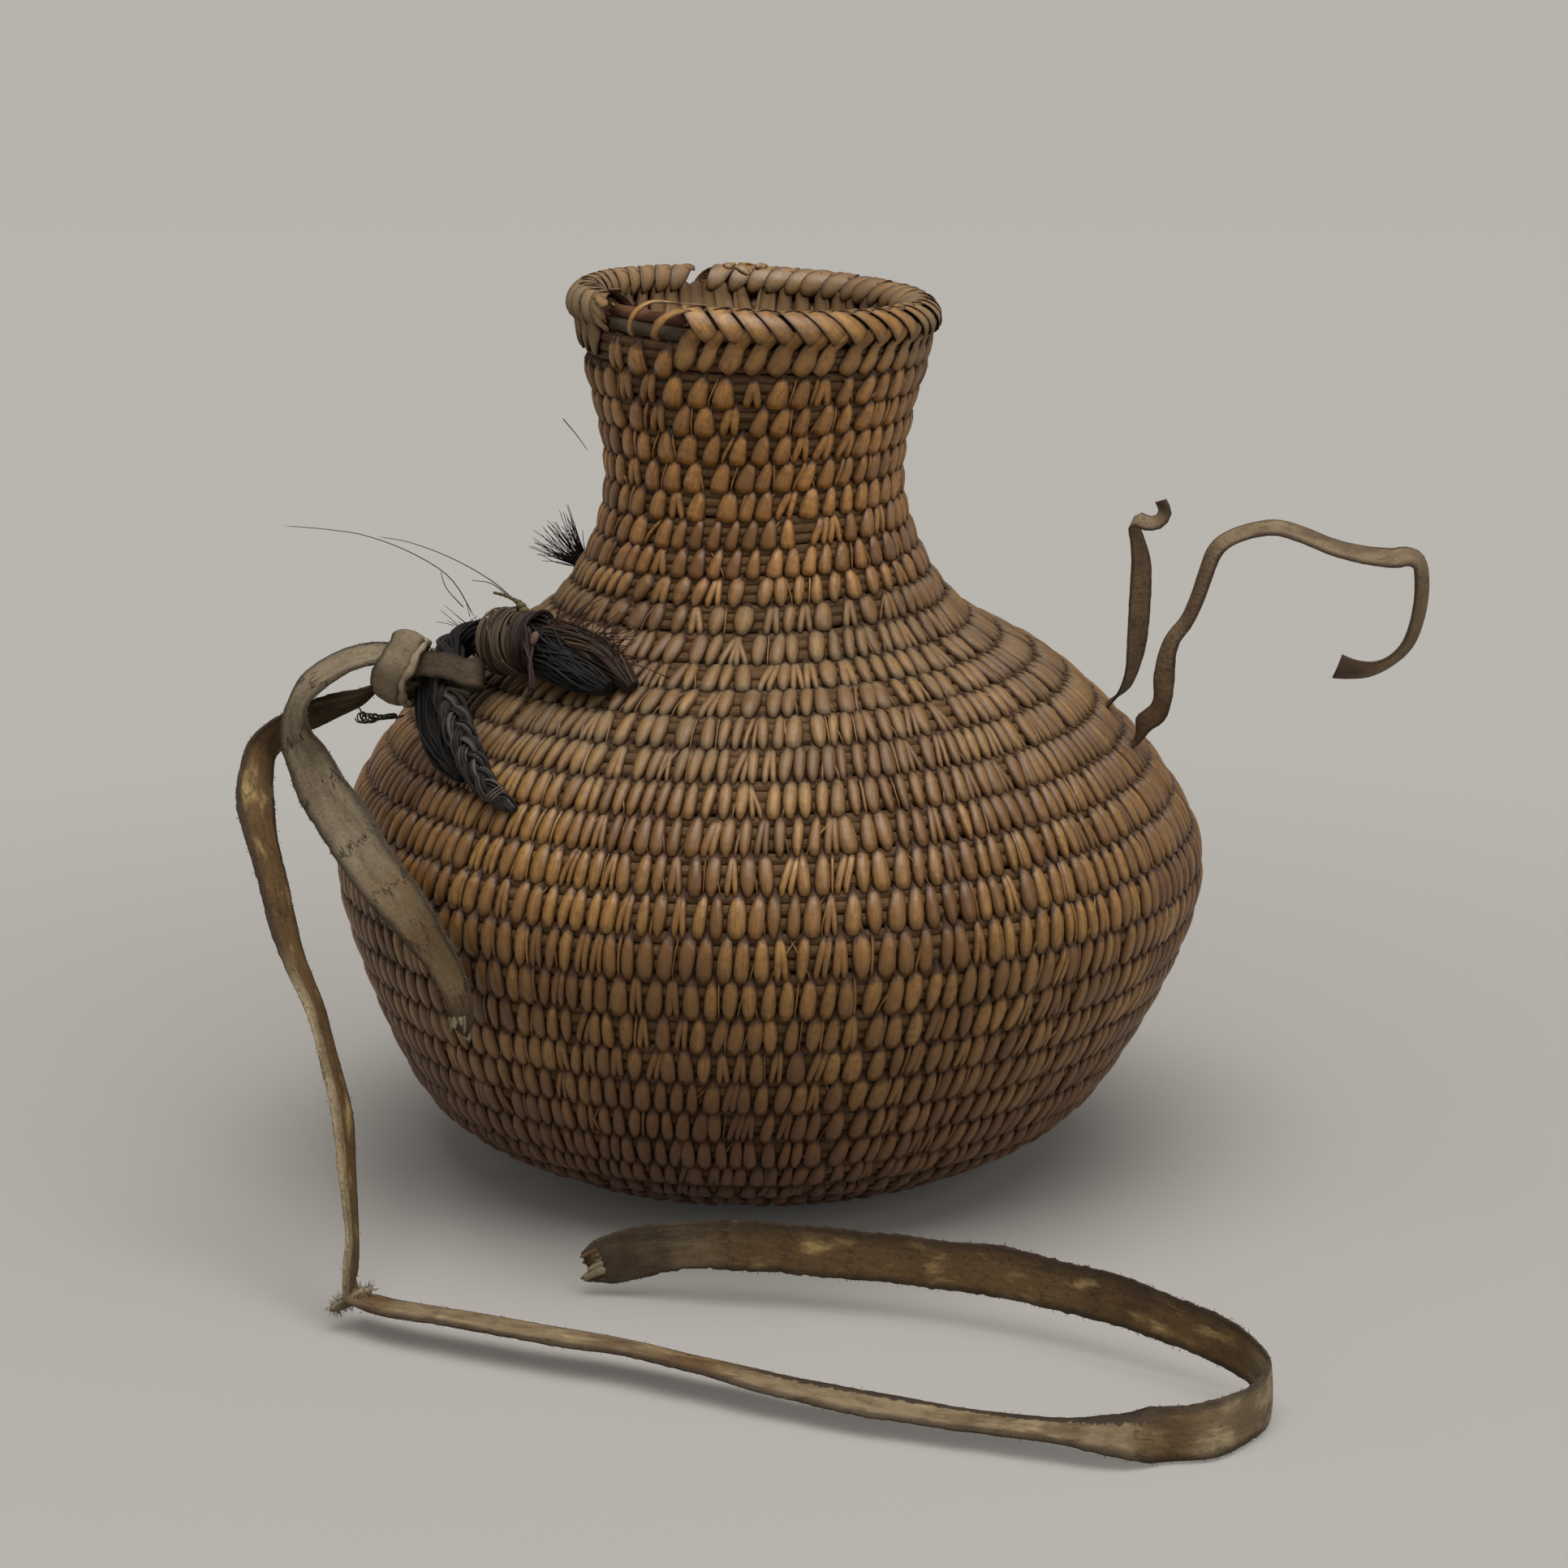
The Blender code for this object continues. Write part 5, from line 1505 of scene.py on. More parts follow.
@dataclass
class Lining:
    """The skin of pitch inside the wall, thrown round the axis and shaped over the coil's turns."""

    wall: CoiledWall
    outer: float = -0.0047
    inner: float = -0.0057
    top_height: float = 0.224
    ridge: float = 0.0004

    def build(self) -> None:
        """Builds the lining."""
        wall = self.wall
        above = (wall.points[:, 0] > wall.base_radius / 2) & (wall.points[:, 1] >= self.top_height)
        top = float(wall.distances[int(np.argmax(above))])
        distance = np.linspace(0.0015, top, 120)
        rows = []
        for offset, way in ((self.outer, 1), (self.inner, -1)):
            radius, height, across, up = wall.profile(distance[::way])
            wave = self.ridge * np.cos(2 * np.pi * distance[::way] / wall.pitch) * (way < 0)
            shift = offset + wave
            rows.append(np.column_stack((np.maximum(radius + across * shift, 0.0), height + up * shift)))
        section = np.vstack(rows)
        maker = bmesh.new()
        verts = [maker.verts.new((float(x), 0.0, float(z))) for x, z in section]
        edges = [maker.edges.new(pair) for pair in zip(verts, verts[1:])]
        bmesh.ops.spin(
            maker,
            geom=[*verts, *edges],
            axis=(0, 0, 1),
            cent=(0, 0, 0),
            angle=2 * math.pi,
            steps=72,
            use_merge=True,
        )
        bmesh.ops.remove_doubles(maker, verts=maker.verts, dist=0.00001)
        bmesh.ops.holes_fill(maker, edges=[edge for edge in maker.edges if edge.is_boundary], sides=0)
        bmesh.ops.recalc_face_normals(maker, faces=maker.faces)
        mesh = bpy.data.meshes.new("pitch_skin")
        maker.to_mesh(mesh)
        maker.free()
        places = np.empty(len(mesh.vertices) * 3, dtype=np.float32)
        mesh.vertices.foreach_get("co", places)
        places = places.reshape(-1, 3).astype(float)
        azimuth = np.degrees(np.arctan2(places[:, 0], -places[:, 1]))
        moved = wall.on_jar(np.hypot(places[:, 0], places[:, 1]), places[:, 2], azimuth)
        mesh.vertices.foreach_set("co", moved.astype(np.float32).ravel())
        mesh.materials.append(PitchFinish("pitch_coat").material())
        thing = placed(mesh)
        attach(thing, BODY)
        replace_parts(thing, "pitch_lining")
        LOG.info("pitch_skin: %d faces", len(mesh.polygons))


# Horsehair


class Ply(Enum):
    """How the strands of a hair piece lie."""

    TWISTED = 1
    BRAIDED = 2
    LOOSE = 3


@dataclass(frozen=True)
class HairRoute:
    """A piece of horsehair: the part's route in millimetres with its radius, and how its strands lie.

    Turn is the length of one turn of its plies, and each strand whose number divides by paler takes the
    piece's second, paler finish.
    """

    name: str
    nodes: tuple[str, ...]
    rows: Table
    ply: Ply
    turn: float
    strands: int
    tones: tuple[float, float]
    seed: int
    paler: int = 0


@dataclass
class Hairwork:
    """Makes horsehair ropes, braids and bundles out of many thin strands."""

    finish: bpy.types.Material
    paler: bpy.types.Material | None = None
    steps: int = 46
    ply_share: float = 0.52
    core_share: float = 0.80

    def plies(self, route: HairRoute, rows: Array) -> list[tuple[Array, float]]:
        """The middle lines of the plies that a rope or braid has.

        Args:
            route: the piece.
            rows: its smooth route in metres, with the radius.

        Returns:
            Each ply's line with its share of the piece's radius.
        """
        centres = rows[:, :3]
        if route.ply is Ply.LOOSE:
            return [(centres, 1.0)]
        size = rows[:, 3]
        normals = carried(centres, (0.0, 0.0, 1.0))
        side = np.cross(ways(centres), normals)
        out = []
        for k in range(3):
            phase = 2 * math.pi * (run_along(centres) / route.turn + k / 3)
            if route.ply is Ply.TWISTED:
                across, up = 0.52 * np.cos(phase), 0.52 * np.sin(phase)
            else:
                across, up = 0.62 * np.sin(phase), 0.34 * np.sin(2 * phase)
            shift = side * (across * size)[:, None] + normals * (up * size)[:, None]
            out.append((centres + shift, self.ply_share))
        return out

    def build(self, route: HairRoute, *more: HairRoute) -> None:
        """Builds one piece of hair, with further bundles that belong to it."""
        weave = Weave()
        for part in (route, *more):
            self.add_strands(weave, part)
        finishes = (self.finish, self.paler) if route.paler else (self.finish,)
        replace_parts(weave.piece(route.name, finishes), *route.nodes)

    def add_strands(self, weave: Weave, route: HairRoute) -> None:
        """Adds one rope, braid or bundle to a weave."""
        draw = np.random.default_rng(route.seed)
        rows = resampled(catmull(metres(route.rows)), self.steps)
        along = np.linspace(0, 1, self.steps)
        for line, share in self.plies(route, rows):
            normals = carried(line, (0.2, -0.5, 1.0))
            side = np.cross(ways(line), normals)
            full = rows[:, 3] * share
            core = full * self.core_share
            size = closed(core)
            # The core under the strands takes the darkest tone: painted shade in the piece's depths.
            weave.add(even_spine(line, normals, size, size), 8, route.tones[0], draw.random())
            if route.ply is Ply.LOOSE:
                share_of_core, thickest, varies = 0.13, 0.00038, 1.3
            else:
                share_of_core, thickest, varies = 0.34, 0.0011, 1.2
            for k in range(route.strands):
                turn = 2 * math.pi * (k + draw.random() * 0.6) / route.strands
                spread = 0.72 + 0.40 * draw.random() ** 2
                angle = turn + draw.normal(0, 0.5) * along + 0.25 * np.sin(7 * along + k)
                place = line + oval(side, normals, angle, full * spread, full * spread)
                thick = closed(np.minimum(core * share_of_core, thickest) * draw.uniform(0.6, varies))
                tone = float(draw.uniform(*route.tones) ** 1.4)
                slot = 1 if route.paler and k % route.paler == 0 else 0
                weave.add(round_spine(place, thick), 6, tone, draw.random() * 9, slot)


@dataclass
class Lug:
    """The horsehair lug on the left shoulder, with its lashing and fibre wrap.

    The routes are in millimetres with a radius; the axis is what the lashing and the wrap go round.
    """

    hair: bpy.types.Material
    fibre: bpy.types.Material
    twine: bpy.types.Material
    axis_start: tuple[float, float, float] = (-0.0615, -0.0515, 0.1600)
    axis_end: tuple[float, float, float] = (-0.0785, -0.0395, 0.1578)
    rope_tail: Table = (
        (-70.0, -45.5, 158.9, 6.0),
        (-75.6, -41.5, 158.2, 5.8),
        (-79.2, -36.4, 157.4, 5.2),
        (-82.6, -33.6, 156.8, 4.6),
        (-86.0, -34.6, 155.4, 4.4),
        (-87.6, -38.6, 153.6, 4.4),
        (-87.6, -43.6, 152.0, 4.4),
        (-87.2, -47.4, 149.8, 4.4),
    )
    leg: Table = (
        (-87.6, -48.4, 151.0, 3.0),
        (-87.2, -53.6, 146.4, 3.4),
        (-84.8, -59.8, 141.2, 3.6),
        (-82.0, -66.4, 136.6, 3.6),
        (-78.6, -73.4, 131.0, 3.3),
        (-74.4, -79.6, 126.6, 2.8),
        (-70.6, -83.4, 124.2, 2.2),
        (-66.6, -85.8, 122.2, 0.8),
    )
    # A loose bundle with the darkest tones along the leg's left side, where the leg lies black in shade:
    # painted shade.
    leg_shade_bundle: Table = (
        (-91.2, -46.0, 150.0, 3.2),
        (-91.8, -50.0, 143.6, 3.8),
        (-90.4, -54.0, 137.0, 4.2),
        (-87.8, -60.0, 131.6, 3.8),
        (-84.4, -66.5, 128.4, 2.4),
        (-81.6, -71.0, 126.8, 1.2),
    )
    plug: Table = (
        (-66.0, -48.2, 159.8, 5.6),
        (-62.5, -50.8, 160.2, 5.8),
        (-59.2, -53.2, 160.0, 5.0),
        (-55.4, -56.4, 159.0, 3.8),
        (-50.0, -61.0, 157.2, 2.0),
    )
    upper: Table = (
        (-61.7, -50.6, 160.9, 2.6),
        (-58.4, -51.8, 161.9, 3.7),
        (-53.4, -54.2, 161.2, 4.3),
        (-46.2, -59.4, 158.6, 4.2),
        (-40.4, -64.8, 155.2, 3.4),
        (-36.0, -69.0, 151.4, 1.6),
    )
    lower: Table = (
        (-63.2, -52.2, 157.6, 3.2),
        (-61.0, -55.4, 156.4, 4.2),
        (-55.6, -61.8, 155.0, 4.6),
        (-48.4, -67.0, 153.4, 3.8),
        (-42.6, -70.0, 151.2, 1.8),
    )
    twig: Table = (
        (-64.2, -48.6, 165.2, 1.5),
        (-65.8, -47.6, 167.2, 1.8),
        (-67.2, -46.2, 168.9, 1.6),
        (-68.8, -44.4, 170.0, 0.7),
        (-71.4, -42.0, 170.8, 0.6),
        (-75.2, -39.0, 171.1, 0.4),
    )
    hanging: Table = (
        (-64.6, -57.0, 166.0),
        (-64.2, -59.0, 161.0),
        (-64.0, -62.4, 155.4),
        (-63.2, -65.0, 149.6),
    )
    scuff: Table = ((-62.2, -58.9, 164.6), (-62.8, -59.4, 162.8), (-63.6, -59.6, 161.0))
    tie: tuple[float, float, float] = (-71.9, -83.6, 126.2)
    tie_radius: float = 0.0026
    wrap_turns: int = 7
    wrap_length: float = 0.0116
    wrap_strands: int = 4
    lashing_turns: int = 11
    lashing_width: float = 0.0038
    core: float = 0.0062
    seed: int = 5

    def __post_init__(self) -> None:
        """Works out the ways along and across the axis."""
        self.draw = np.random.default_rng(self.seed)
        self.start = np.array(self.axis_start)
        self.way = unit(np.array(self.axis_end) - self.start)
        self.side = unit(np.array((0.0, 0.0, 1.0)) - self.way * self.way[2])
        self.other = np.cross(self.way, self.side)

    def build(self) -> None:
        """Builds every piece of the lug."""
        node = ("lug_hair_rope",)
        Hairwork(self.hair).build(
            HairRoute("lug_rope_hair", node, self.rope_tail, Ply.TWISTED, 0.030, 10, (0.1, 0.6), 3)
        )
        # Every second strand of the leg's braid takes this paler grey: painted highlight on the lit strands.
        paler = HairFinish("horsehair_lit_strands", srgb(92, 84, 78), srgb(36, 32, 30)).material()
        node = ("lug_braid_leg",)
        Hairwork(self.hair, paler).build(
            HairRoute("lug_leg_braid", node, self.leg, Ply.BRAIDED, 0.0165, 14, (0.35, 1.0), 4, 2),
            # The darkest bundle along the leg's left side is painted shade.
            HairRoute("leg_shade_bundle", (), self.leg_shade_bundle, Ply.LOOSE, 0.03, 90, (0.0, 0.25), 8),
        )
        brown = HairFinish("horsehair_brown", srgb(98, 70, 50), srgb(17, 12, 11), 0.6).material()
        straw = HairFinish("horsehair_straw", srgb(138, 108, 74), srgb(62, 44, 30), 0.6).material()
        node = ("lug_hair_bundle_upper",)
        Hairwork(brown, straw).build(
            HairRoute("lug_bundle_upper_hair", node, self.upper, Ply.LOOSE, 0.03, 170, (0.0, 0.8), 6, 11)
        )
        node = ("lug_hair_bundle_lower",)
        Hairwork(self.hair).build(
            HairRoute("lug_bundle_lower_hair", node, self.lower, Ply.LOOSE, 0.03, 130, (0.0, 0.35), 7),
            HairRoute("plug", (), self.plug, Ply.LOOSE, 0.03, 90, (0.0, 0.35), 9),
        )
        self.build_wrap()
        self.build_lashing()
        self.build_twig()

    def ring(
        self, place: float, radius: float, turns: float, slip: float, steps: int, begin: float, sway: float
    ) -> Array:
        """A line wound round the lug's axis.

        Args:
            place: where along the axis it starts.
            radius: how far from the axis.
            turns: how often it goes round.
            slip: how far it moves along the axis.
            steps: points in all.
            begin: where round the axis it starts, in turns.
            sway: how far its plane leans, along the axis.

        Returns:
            The line's places.
        """
        t = np.linspace(0, 1, steps)
        angle = 2 * math.pi * (begin + turns * t)
        middle = self.start + self.way * (place + slip * t + sway * np.cos(angle))[:, None]
        return middle + oval(self.side, self.other, angle, radius, radius)

    def wound(self, line: Array, thick: Array | float) -> Spine:
        """The rows of a strand that is wound round the axis, closed at its ends."""
        return round_spine(line, closed(np.broadcast_to(thick, (len(line),))), tuple(self.side))

    def build_wrap(self) -> None:
        """The collar of coarse fibre wound round the rope."""
        weave = Weave()
        draw = self.draw
        pitch = self.wrap_length / self.wrap_turns
        for k in range(self.wrap_turns):
            place = self.lashing_width + 0.0009 + pitch * k
            radius = self.core + 0.0013 + 0.0009 * math.sin(math.pi * (k + 0.5) / self.wrap_turns)
            sway = float(draw.normal(0, 0.0007))
            for strand in range(self.wrap_strands):
                shift = (strand - 1.5) * pitch * 0.26 + float(draw.normal(0, 0.00022))
                lift = radius + float(draw.normal(0, 0.00030))
                line = self.ring(place + shift, lift, 1.04, pitch * 0.8, 40, float(draw.random()), sway)
                thick = float(draw.uniform(0.00036, 0.00062))
                tone = float(draw.uniform(0.0, 1.0))
                weave.add(self.wound(line, thick), 6, tone, draw.random() * 9)
        for _ in range(9):
            place = 0.0055 + 0.008 * draw.random()
            sway = float(draw.normal(0, 0.0022))
            line = self.ring(place, self.core + 0.0028, 0.7, 0.003, 26, draw.random(), sway)
            weave.add(self.wound(line, 0.00028), 5, 0.9, draw.random() * 9)
        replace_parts(weave.piece("lug_wrap_wound", (self.fibre,)), "lug_fibre_wrap")

    def build_lashing(self) -> None:
        """The dark twine tied round the two ends of the rope, with its hanging strands."""
        weave = Weave()
        draw = self.draw
        for k in range(self.lashing_turns):
            place = 0.0002 + 0.0034 * k / (self.lashing_turns - 1)
            radius = self.core + 0.0011 + 0.0012 * draw.random()
            sway = float(draw.normal(0, 0.0008))
            line = self.ring(place, radius, 1.05, float(draw.normal(0, 0.0012)), 36, draw.random(), sway)
            thick = 0.00046 * (1 + 0.25 * np.sin(np.linspace(0, 40, 36) + k))
            weave.add(self.wound(line, thick), 6, float(draw.random()), k)
        for k in range(9):
            shift = draw.normal(0, 0.7, (4, 3)) * (1.0, 0.4, 0.5)
            line = resampled(catmull(metres(self.hanging + shift)), 20)
            thick = closed(np.full(20, 0.00018 if k > 2 else 0.00040))
            weave.add(round_spine(line, thick), 5, float(draw.random()), k * 3.1)
        across = np.array((0.78, 0.10, 0.62))
        over = np.array((-0.2, -0.95, 0.25))
        loop = oval(across, over, np.linspace(0, 2 * math.pi, 20), self.tie_radius, self.tie_radius)
        for k in range(3):
            middle = metres(self.tie) + np.array((0.0006, -0.0003, -0.0005)) * (k - 1)
            weave.add(round_spine(middle + loop, closed(np.full(20, 0.00016))), 5, 1.0, k * 1.7, 1)
        scuffed = HairFinish("twine_scuffed", srgb(130, 102, 86), srgb(74, 54, 46), 0.75, 1400.0).material()
        size = 0.0011 * np.array((0.0, 0.7, 0.9, 1.0, 1.0, 0.9, 0.8, 0.6, 0.0))
        weave.add(round_spine(resampled(catmull(metres(self.scuff)), 9), size), 8, 0.8, 2.0, 1)
        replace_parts(weave.piece("lug_lashing_wound", (self.twine, scuffed)), "lug_lashing")

    def build_twig(self) -> None:
        """The knot on top of the lashing with the stiff twisted end that stands out of it."""
        weave = Weave()
        steps = 30
        rows = resampled(catmull(metres(self.twig)), steps)
        for k in range(2):
            phase = np.linspace(0, 9 * math.pi, steps) + math.pi * k
            swing = np.column_stack((np.zeros(steps), np.cos(phase), np.sin(phase)))
            shift = swing * (rows[:, 3] * 0.40)[:, None]
            weave.add(round_spine(rows[:, :3] + shift, closed(rows[:, 3] * 0.60)), 7, 0.6, k * 2.3)
        finish = HairFinish("twig_fibre", srgb(128, 112, 78), srgb(62, 50, 34), 0.7).material()
        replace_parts(weave.piece("lashing_twig_twisted", (finish,)), "lashing_twig")


# Hide


@dataclass
class HideStrip:
    """A strip of dried hide along the part's route.

    A row is a place in millimetres, the way that its width runs, and its width in metres. Cup is how
    strongly the edges bend, ragged how far they wander, fuzz the length of the fibres on them, and tuft
    the route of the lump where the strip is folded hard.
    """

    name: str
    node: str
    rows: Table
    thickness: float
    finish: bpy.types.Material
    slot: str
    cup: float = 0.0
    ragged: float = 0.05
    seed: float = 0.0
    torn: bool = False
    fuzz: float = 0.0
    pale: bpy.types.Material | None = None
    tuft: Table = ()
    step: float = 0.0016
    thin: tuple[float, ...] = (0.0, 1.0, 0.8, 0.5, 0.0)
    clearance: float = 0.0003

    def spine(self) -> Spine:
        """The strip's rows, with no edge of them under the floor."""
        table = np.array(self.rows, dtype=float)
        table[:, :3] /= 1000.0
        smooth = catmull(table, 8)
        length = float(run_along(smooth[:, :3])[-1])
        rows = blunt(resampled(smooth, max(24, round(length / self.step))))
        centres = rows[:, :3]
        along = ways(centres)
        across = unit(rows[:, 3:6] - along * np.sum(rows[:, 3:6] * along, axis=1)[:, None])
        normals = np.cross(across, along)
        run = np.linspace(0, length, len(rows))
        half = rows[:, 6] / 2
        upright = np.cross(along, normals)[:, 2]
        level = normals[:, 2]
        drop = np.abs(level) * self.thickness * 0.65 + np.maximum(-level * self.cup, 0.0) * half * half
        room = (centres[:, 2] - drop - 0.0005) / np.maximum(np.abs(upright), 0.05)
        right = half * (1 + self.roughness(run, 0.0))
        left = half * (1 + self.roughness(run, 40.0))
        right = np.where(upright < 0, np.minimum(right, room), right)
        left = np.where(upright > 0, np.minimum(left, room), left)
        thick = self.thickness / 2 * (1 + 0.25 * self.wander(run, 0.0, 90.0, 3.0))
        return Spine(centres, normals, right, left, thick, thick, self.cup, 0.62)

    def roughness(self, run: Array, shift: float) -> Array:
        """How far an edge wanders, as a share of the half width."""
        slow = self.wander(run, shift, 60.0, 0.0)
        return self.ragged * (slow + 0.6 * self.wander(run, shift, 420.0, 9.0))

    def wander(self, run: Array, shift: float, fineness: float, layer: float) -> Array:
        """Soft random numbers, about -1 to 1, along the strip."""
        return np.array([noise.noise((self.seed + shift, place * fineness, layer)) for place in run])

    def build(self) -> tuple[bpy.types.Object, Spine]:
        """Builds the strip.

        Returns:
            The piece and its spine.
        """
        spine = self.spine()
        weave = Weave()
        weave.add(spine, 20, 0.5, self.seed)
        if self.torn:
            self.add_shreds(weave, spine)
        if self.fuzz > 0:
            self.add_fuzz(weave, spine)
        if self.tuft:
            self.add_tuft(weave)
        finishes = (self.finish,) if self.pale is None else (self.finish, self.pale)
        thing = weave.piece(self.name, finishes)
        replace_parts(thing, self.node)
        return thing, spine

    def fibre(self, line: Array, radius: float) -> Spine:
        """The rows of one short fibre that stays over the floor."""
        line[:, 2] = np.maximum(line[:, 2], self.clearance)
        return round_spine(line, np.array(self.thin) * radius)

    def add_fuzz(self, weave: Weave, spine: Spine) -> None:
        """Adds short fibres along both edges of the strip."""
        draw = np.random.default_rng(int(self.seed * 10) + 5)
        along = ways(spine.centres)
        side = unit(np.cross(along, spine.normals))
        t = np.linspace(0, 1, 5)[:, None]
        for row in range(3, len(spine.centres) - 3):
            for way, half in ((1.0, spine.right[row]), (-1.0, spine.left[row])):
                for _ in range(3):
                    slide = along[row] * draw.uniform(-0.0008, 0.0008)
                    shift = slide + spine.normals[row] * draw.normal(0, 0.0003)
                    root = spine.centres[row] + side[row] * way * half * 0.97 + shift
                    root = root + spine.normals[row] * self.cup * half * half
                    aim = side[row] * way + draw.normal(0, 0.6, 3)
                    reach = min(self.fuzz * draw.uniform(0.4, 1.3), max(root[2] - 0.0002, 0.0))
                    line = root + aim * reach * t + draw.normal(0, 0.2, 3) * reach * t * t
                    strand = self.fibre(line, draw.uniform(0.00006, 0.00012))
                    weave.add(strand, 4, float(draw.uniform(0.1, 0.7)), row * 0.37)

    def add_tuft(self, weave: Weave) -> None:
        """Adds the pale fibrous lump where the strip is folded hard."""
        draw = np.random.default_rng(int(self.seed * 10) + 9)
        rows = resampled(catmull(metres(self.tuft)), 16)
        weave.add(round_spine(rows[:, :3], closed(rows[:, 3] * 0.8)), 10, 0.5, 3.0, 1)
        t = np.linspace(0, 1, 5)[:, None]
        for _ in range(420):
            row = rows[draw.integers(1, len(rows) - 1)]
            aim = unit(draw.normal(0, 1.0, 3))
            root = row[:3] + aim * row[3] * 0.7
            bend = draw.normal(0, 0.5, 3)
            line = root + (aim * t + bend * t * t) * draw.uniform(0.0006, 0.0022)
            strand = self.fibre(line, draw.uniform(0.00007, 0.00016))
            weave.add(strand, 4, float(draw.random()), draw.random(), 1)

    def add_shreds(self, weave: Weave, spine: Spine) -> None:
        """Adds the short torn tongues at the strip's far end."""
        draw = np.random.default_rng(int(self.seed * 10) + 1)
        end = spine.centres[-3]
        way = unit(end - spine.centres[-12])
        out = spine.normals[-3]
        side = np.cross(way, out)
        count = 11
        slot = 0 if self.pale is None else 1
        t = np.linspace(0, 1, 8)
        width = spine.right[-3]
        for k in range(count):
            share = 1.9 * (k + 0.5) / count - 0.95
            reach = 0.0006 + 0.0030 * draw.random() + 0.0016 * (share < -0.2)
            root = end - way * 0.003 + side * share * width * 0.9 + out * draw.normal(0, 0.0003)
            lift = t**2 * draw.normal(0, 0.0012)
            line = root + way * (t * (reach + 0.003))[:, None] + out * lift[:, None]
            half = np.array((0.5, 1.0, 1.0, 0.95, 0.9, 0.8, 0.6, 0.0)) * draw.uniform(0.0007, 0.0014)
            rise = np.array((0.5, 1.0, 1.0, 0.9, 0.9, 0.8, 0.6, 0.0)) * 0.0006
            line[:, 2] = np.maximum(line[:, 2], 0.0008 + abs(side[2]) * 0.0014)
            shred = even_spine(line, np.tile(out, (8, 1)), half, rise)
            weave.add(shred, 8, draw.uniform(0.2, 0.9), k, slot * (k % 2))


STRAP_TAIL = (
    (-94.6, -48.0, 156.4, 0.00, 1.00, 0.00, 0.0080),
    (-104.2, -48.0, 156.2, -0.03, 0.84, 0.54, 0.0080),
    (-110.9, -47.6, 155.0, -0.12, 0.91, 0.40, 0.0105),
    (-117.3, -48.0, 152.4, -0.40, 0.87, 0.29, 0.0115),
    (-123.0, -51.0, 148.6, -0.60, 0.79, 0.10, 0.0120),
    (-126.6, -54.0, 143.6, -0.54, 0.83, -0.17, 0.0125),
    (-127.6, -56.0, 138.8, -0.63, 0.72, -0.29, 0.0133),
    (-126.6, -58.0, 133.8, -0.71, 0.51, -0.49, 0.0133),
    (-123.6, -60.0, 128.8, -0.81, 0.20, -0.56, 0.0133),
    (-119.4, -64.0, 121.2, -0.84, -0.04, -0.54, 0.0140),
    (-112.9, -69.6, 113.0, -0.80, -0.09, -0.59, 0.0143),
    (-105.9, -77.4, 105.0, -0.76, -0.09, -0.64, 0.0143),
    (-97.7, -86.2, 97.2, -0.70, -0.00, -0.72, 0.0137),
    (-91.0, -92.6, 90.5, -0.59, 0.26, -0.76, 0.0133),
    (-86.3, -96.2, 85.0, -0.61, 0.46, -0.65, 0.0120),
    (-82.6, -99.6, 77.6, -0.77, 0.45, -0.45, 0.0100),
    (-80.9, -100.8, 71.0, -0.76, 0.65, -0.10, 0.0095),
    (-81.6, -100.2, 66.0, -0.64, 0.75, 0.18, 0.0080),
)
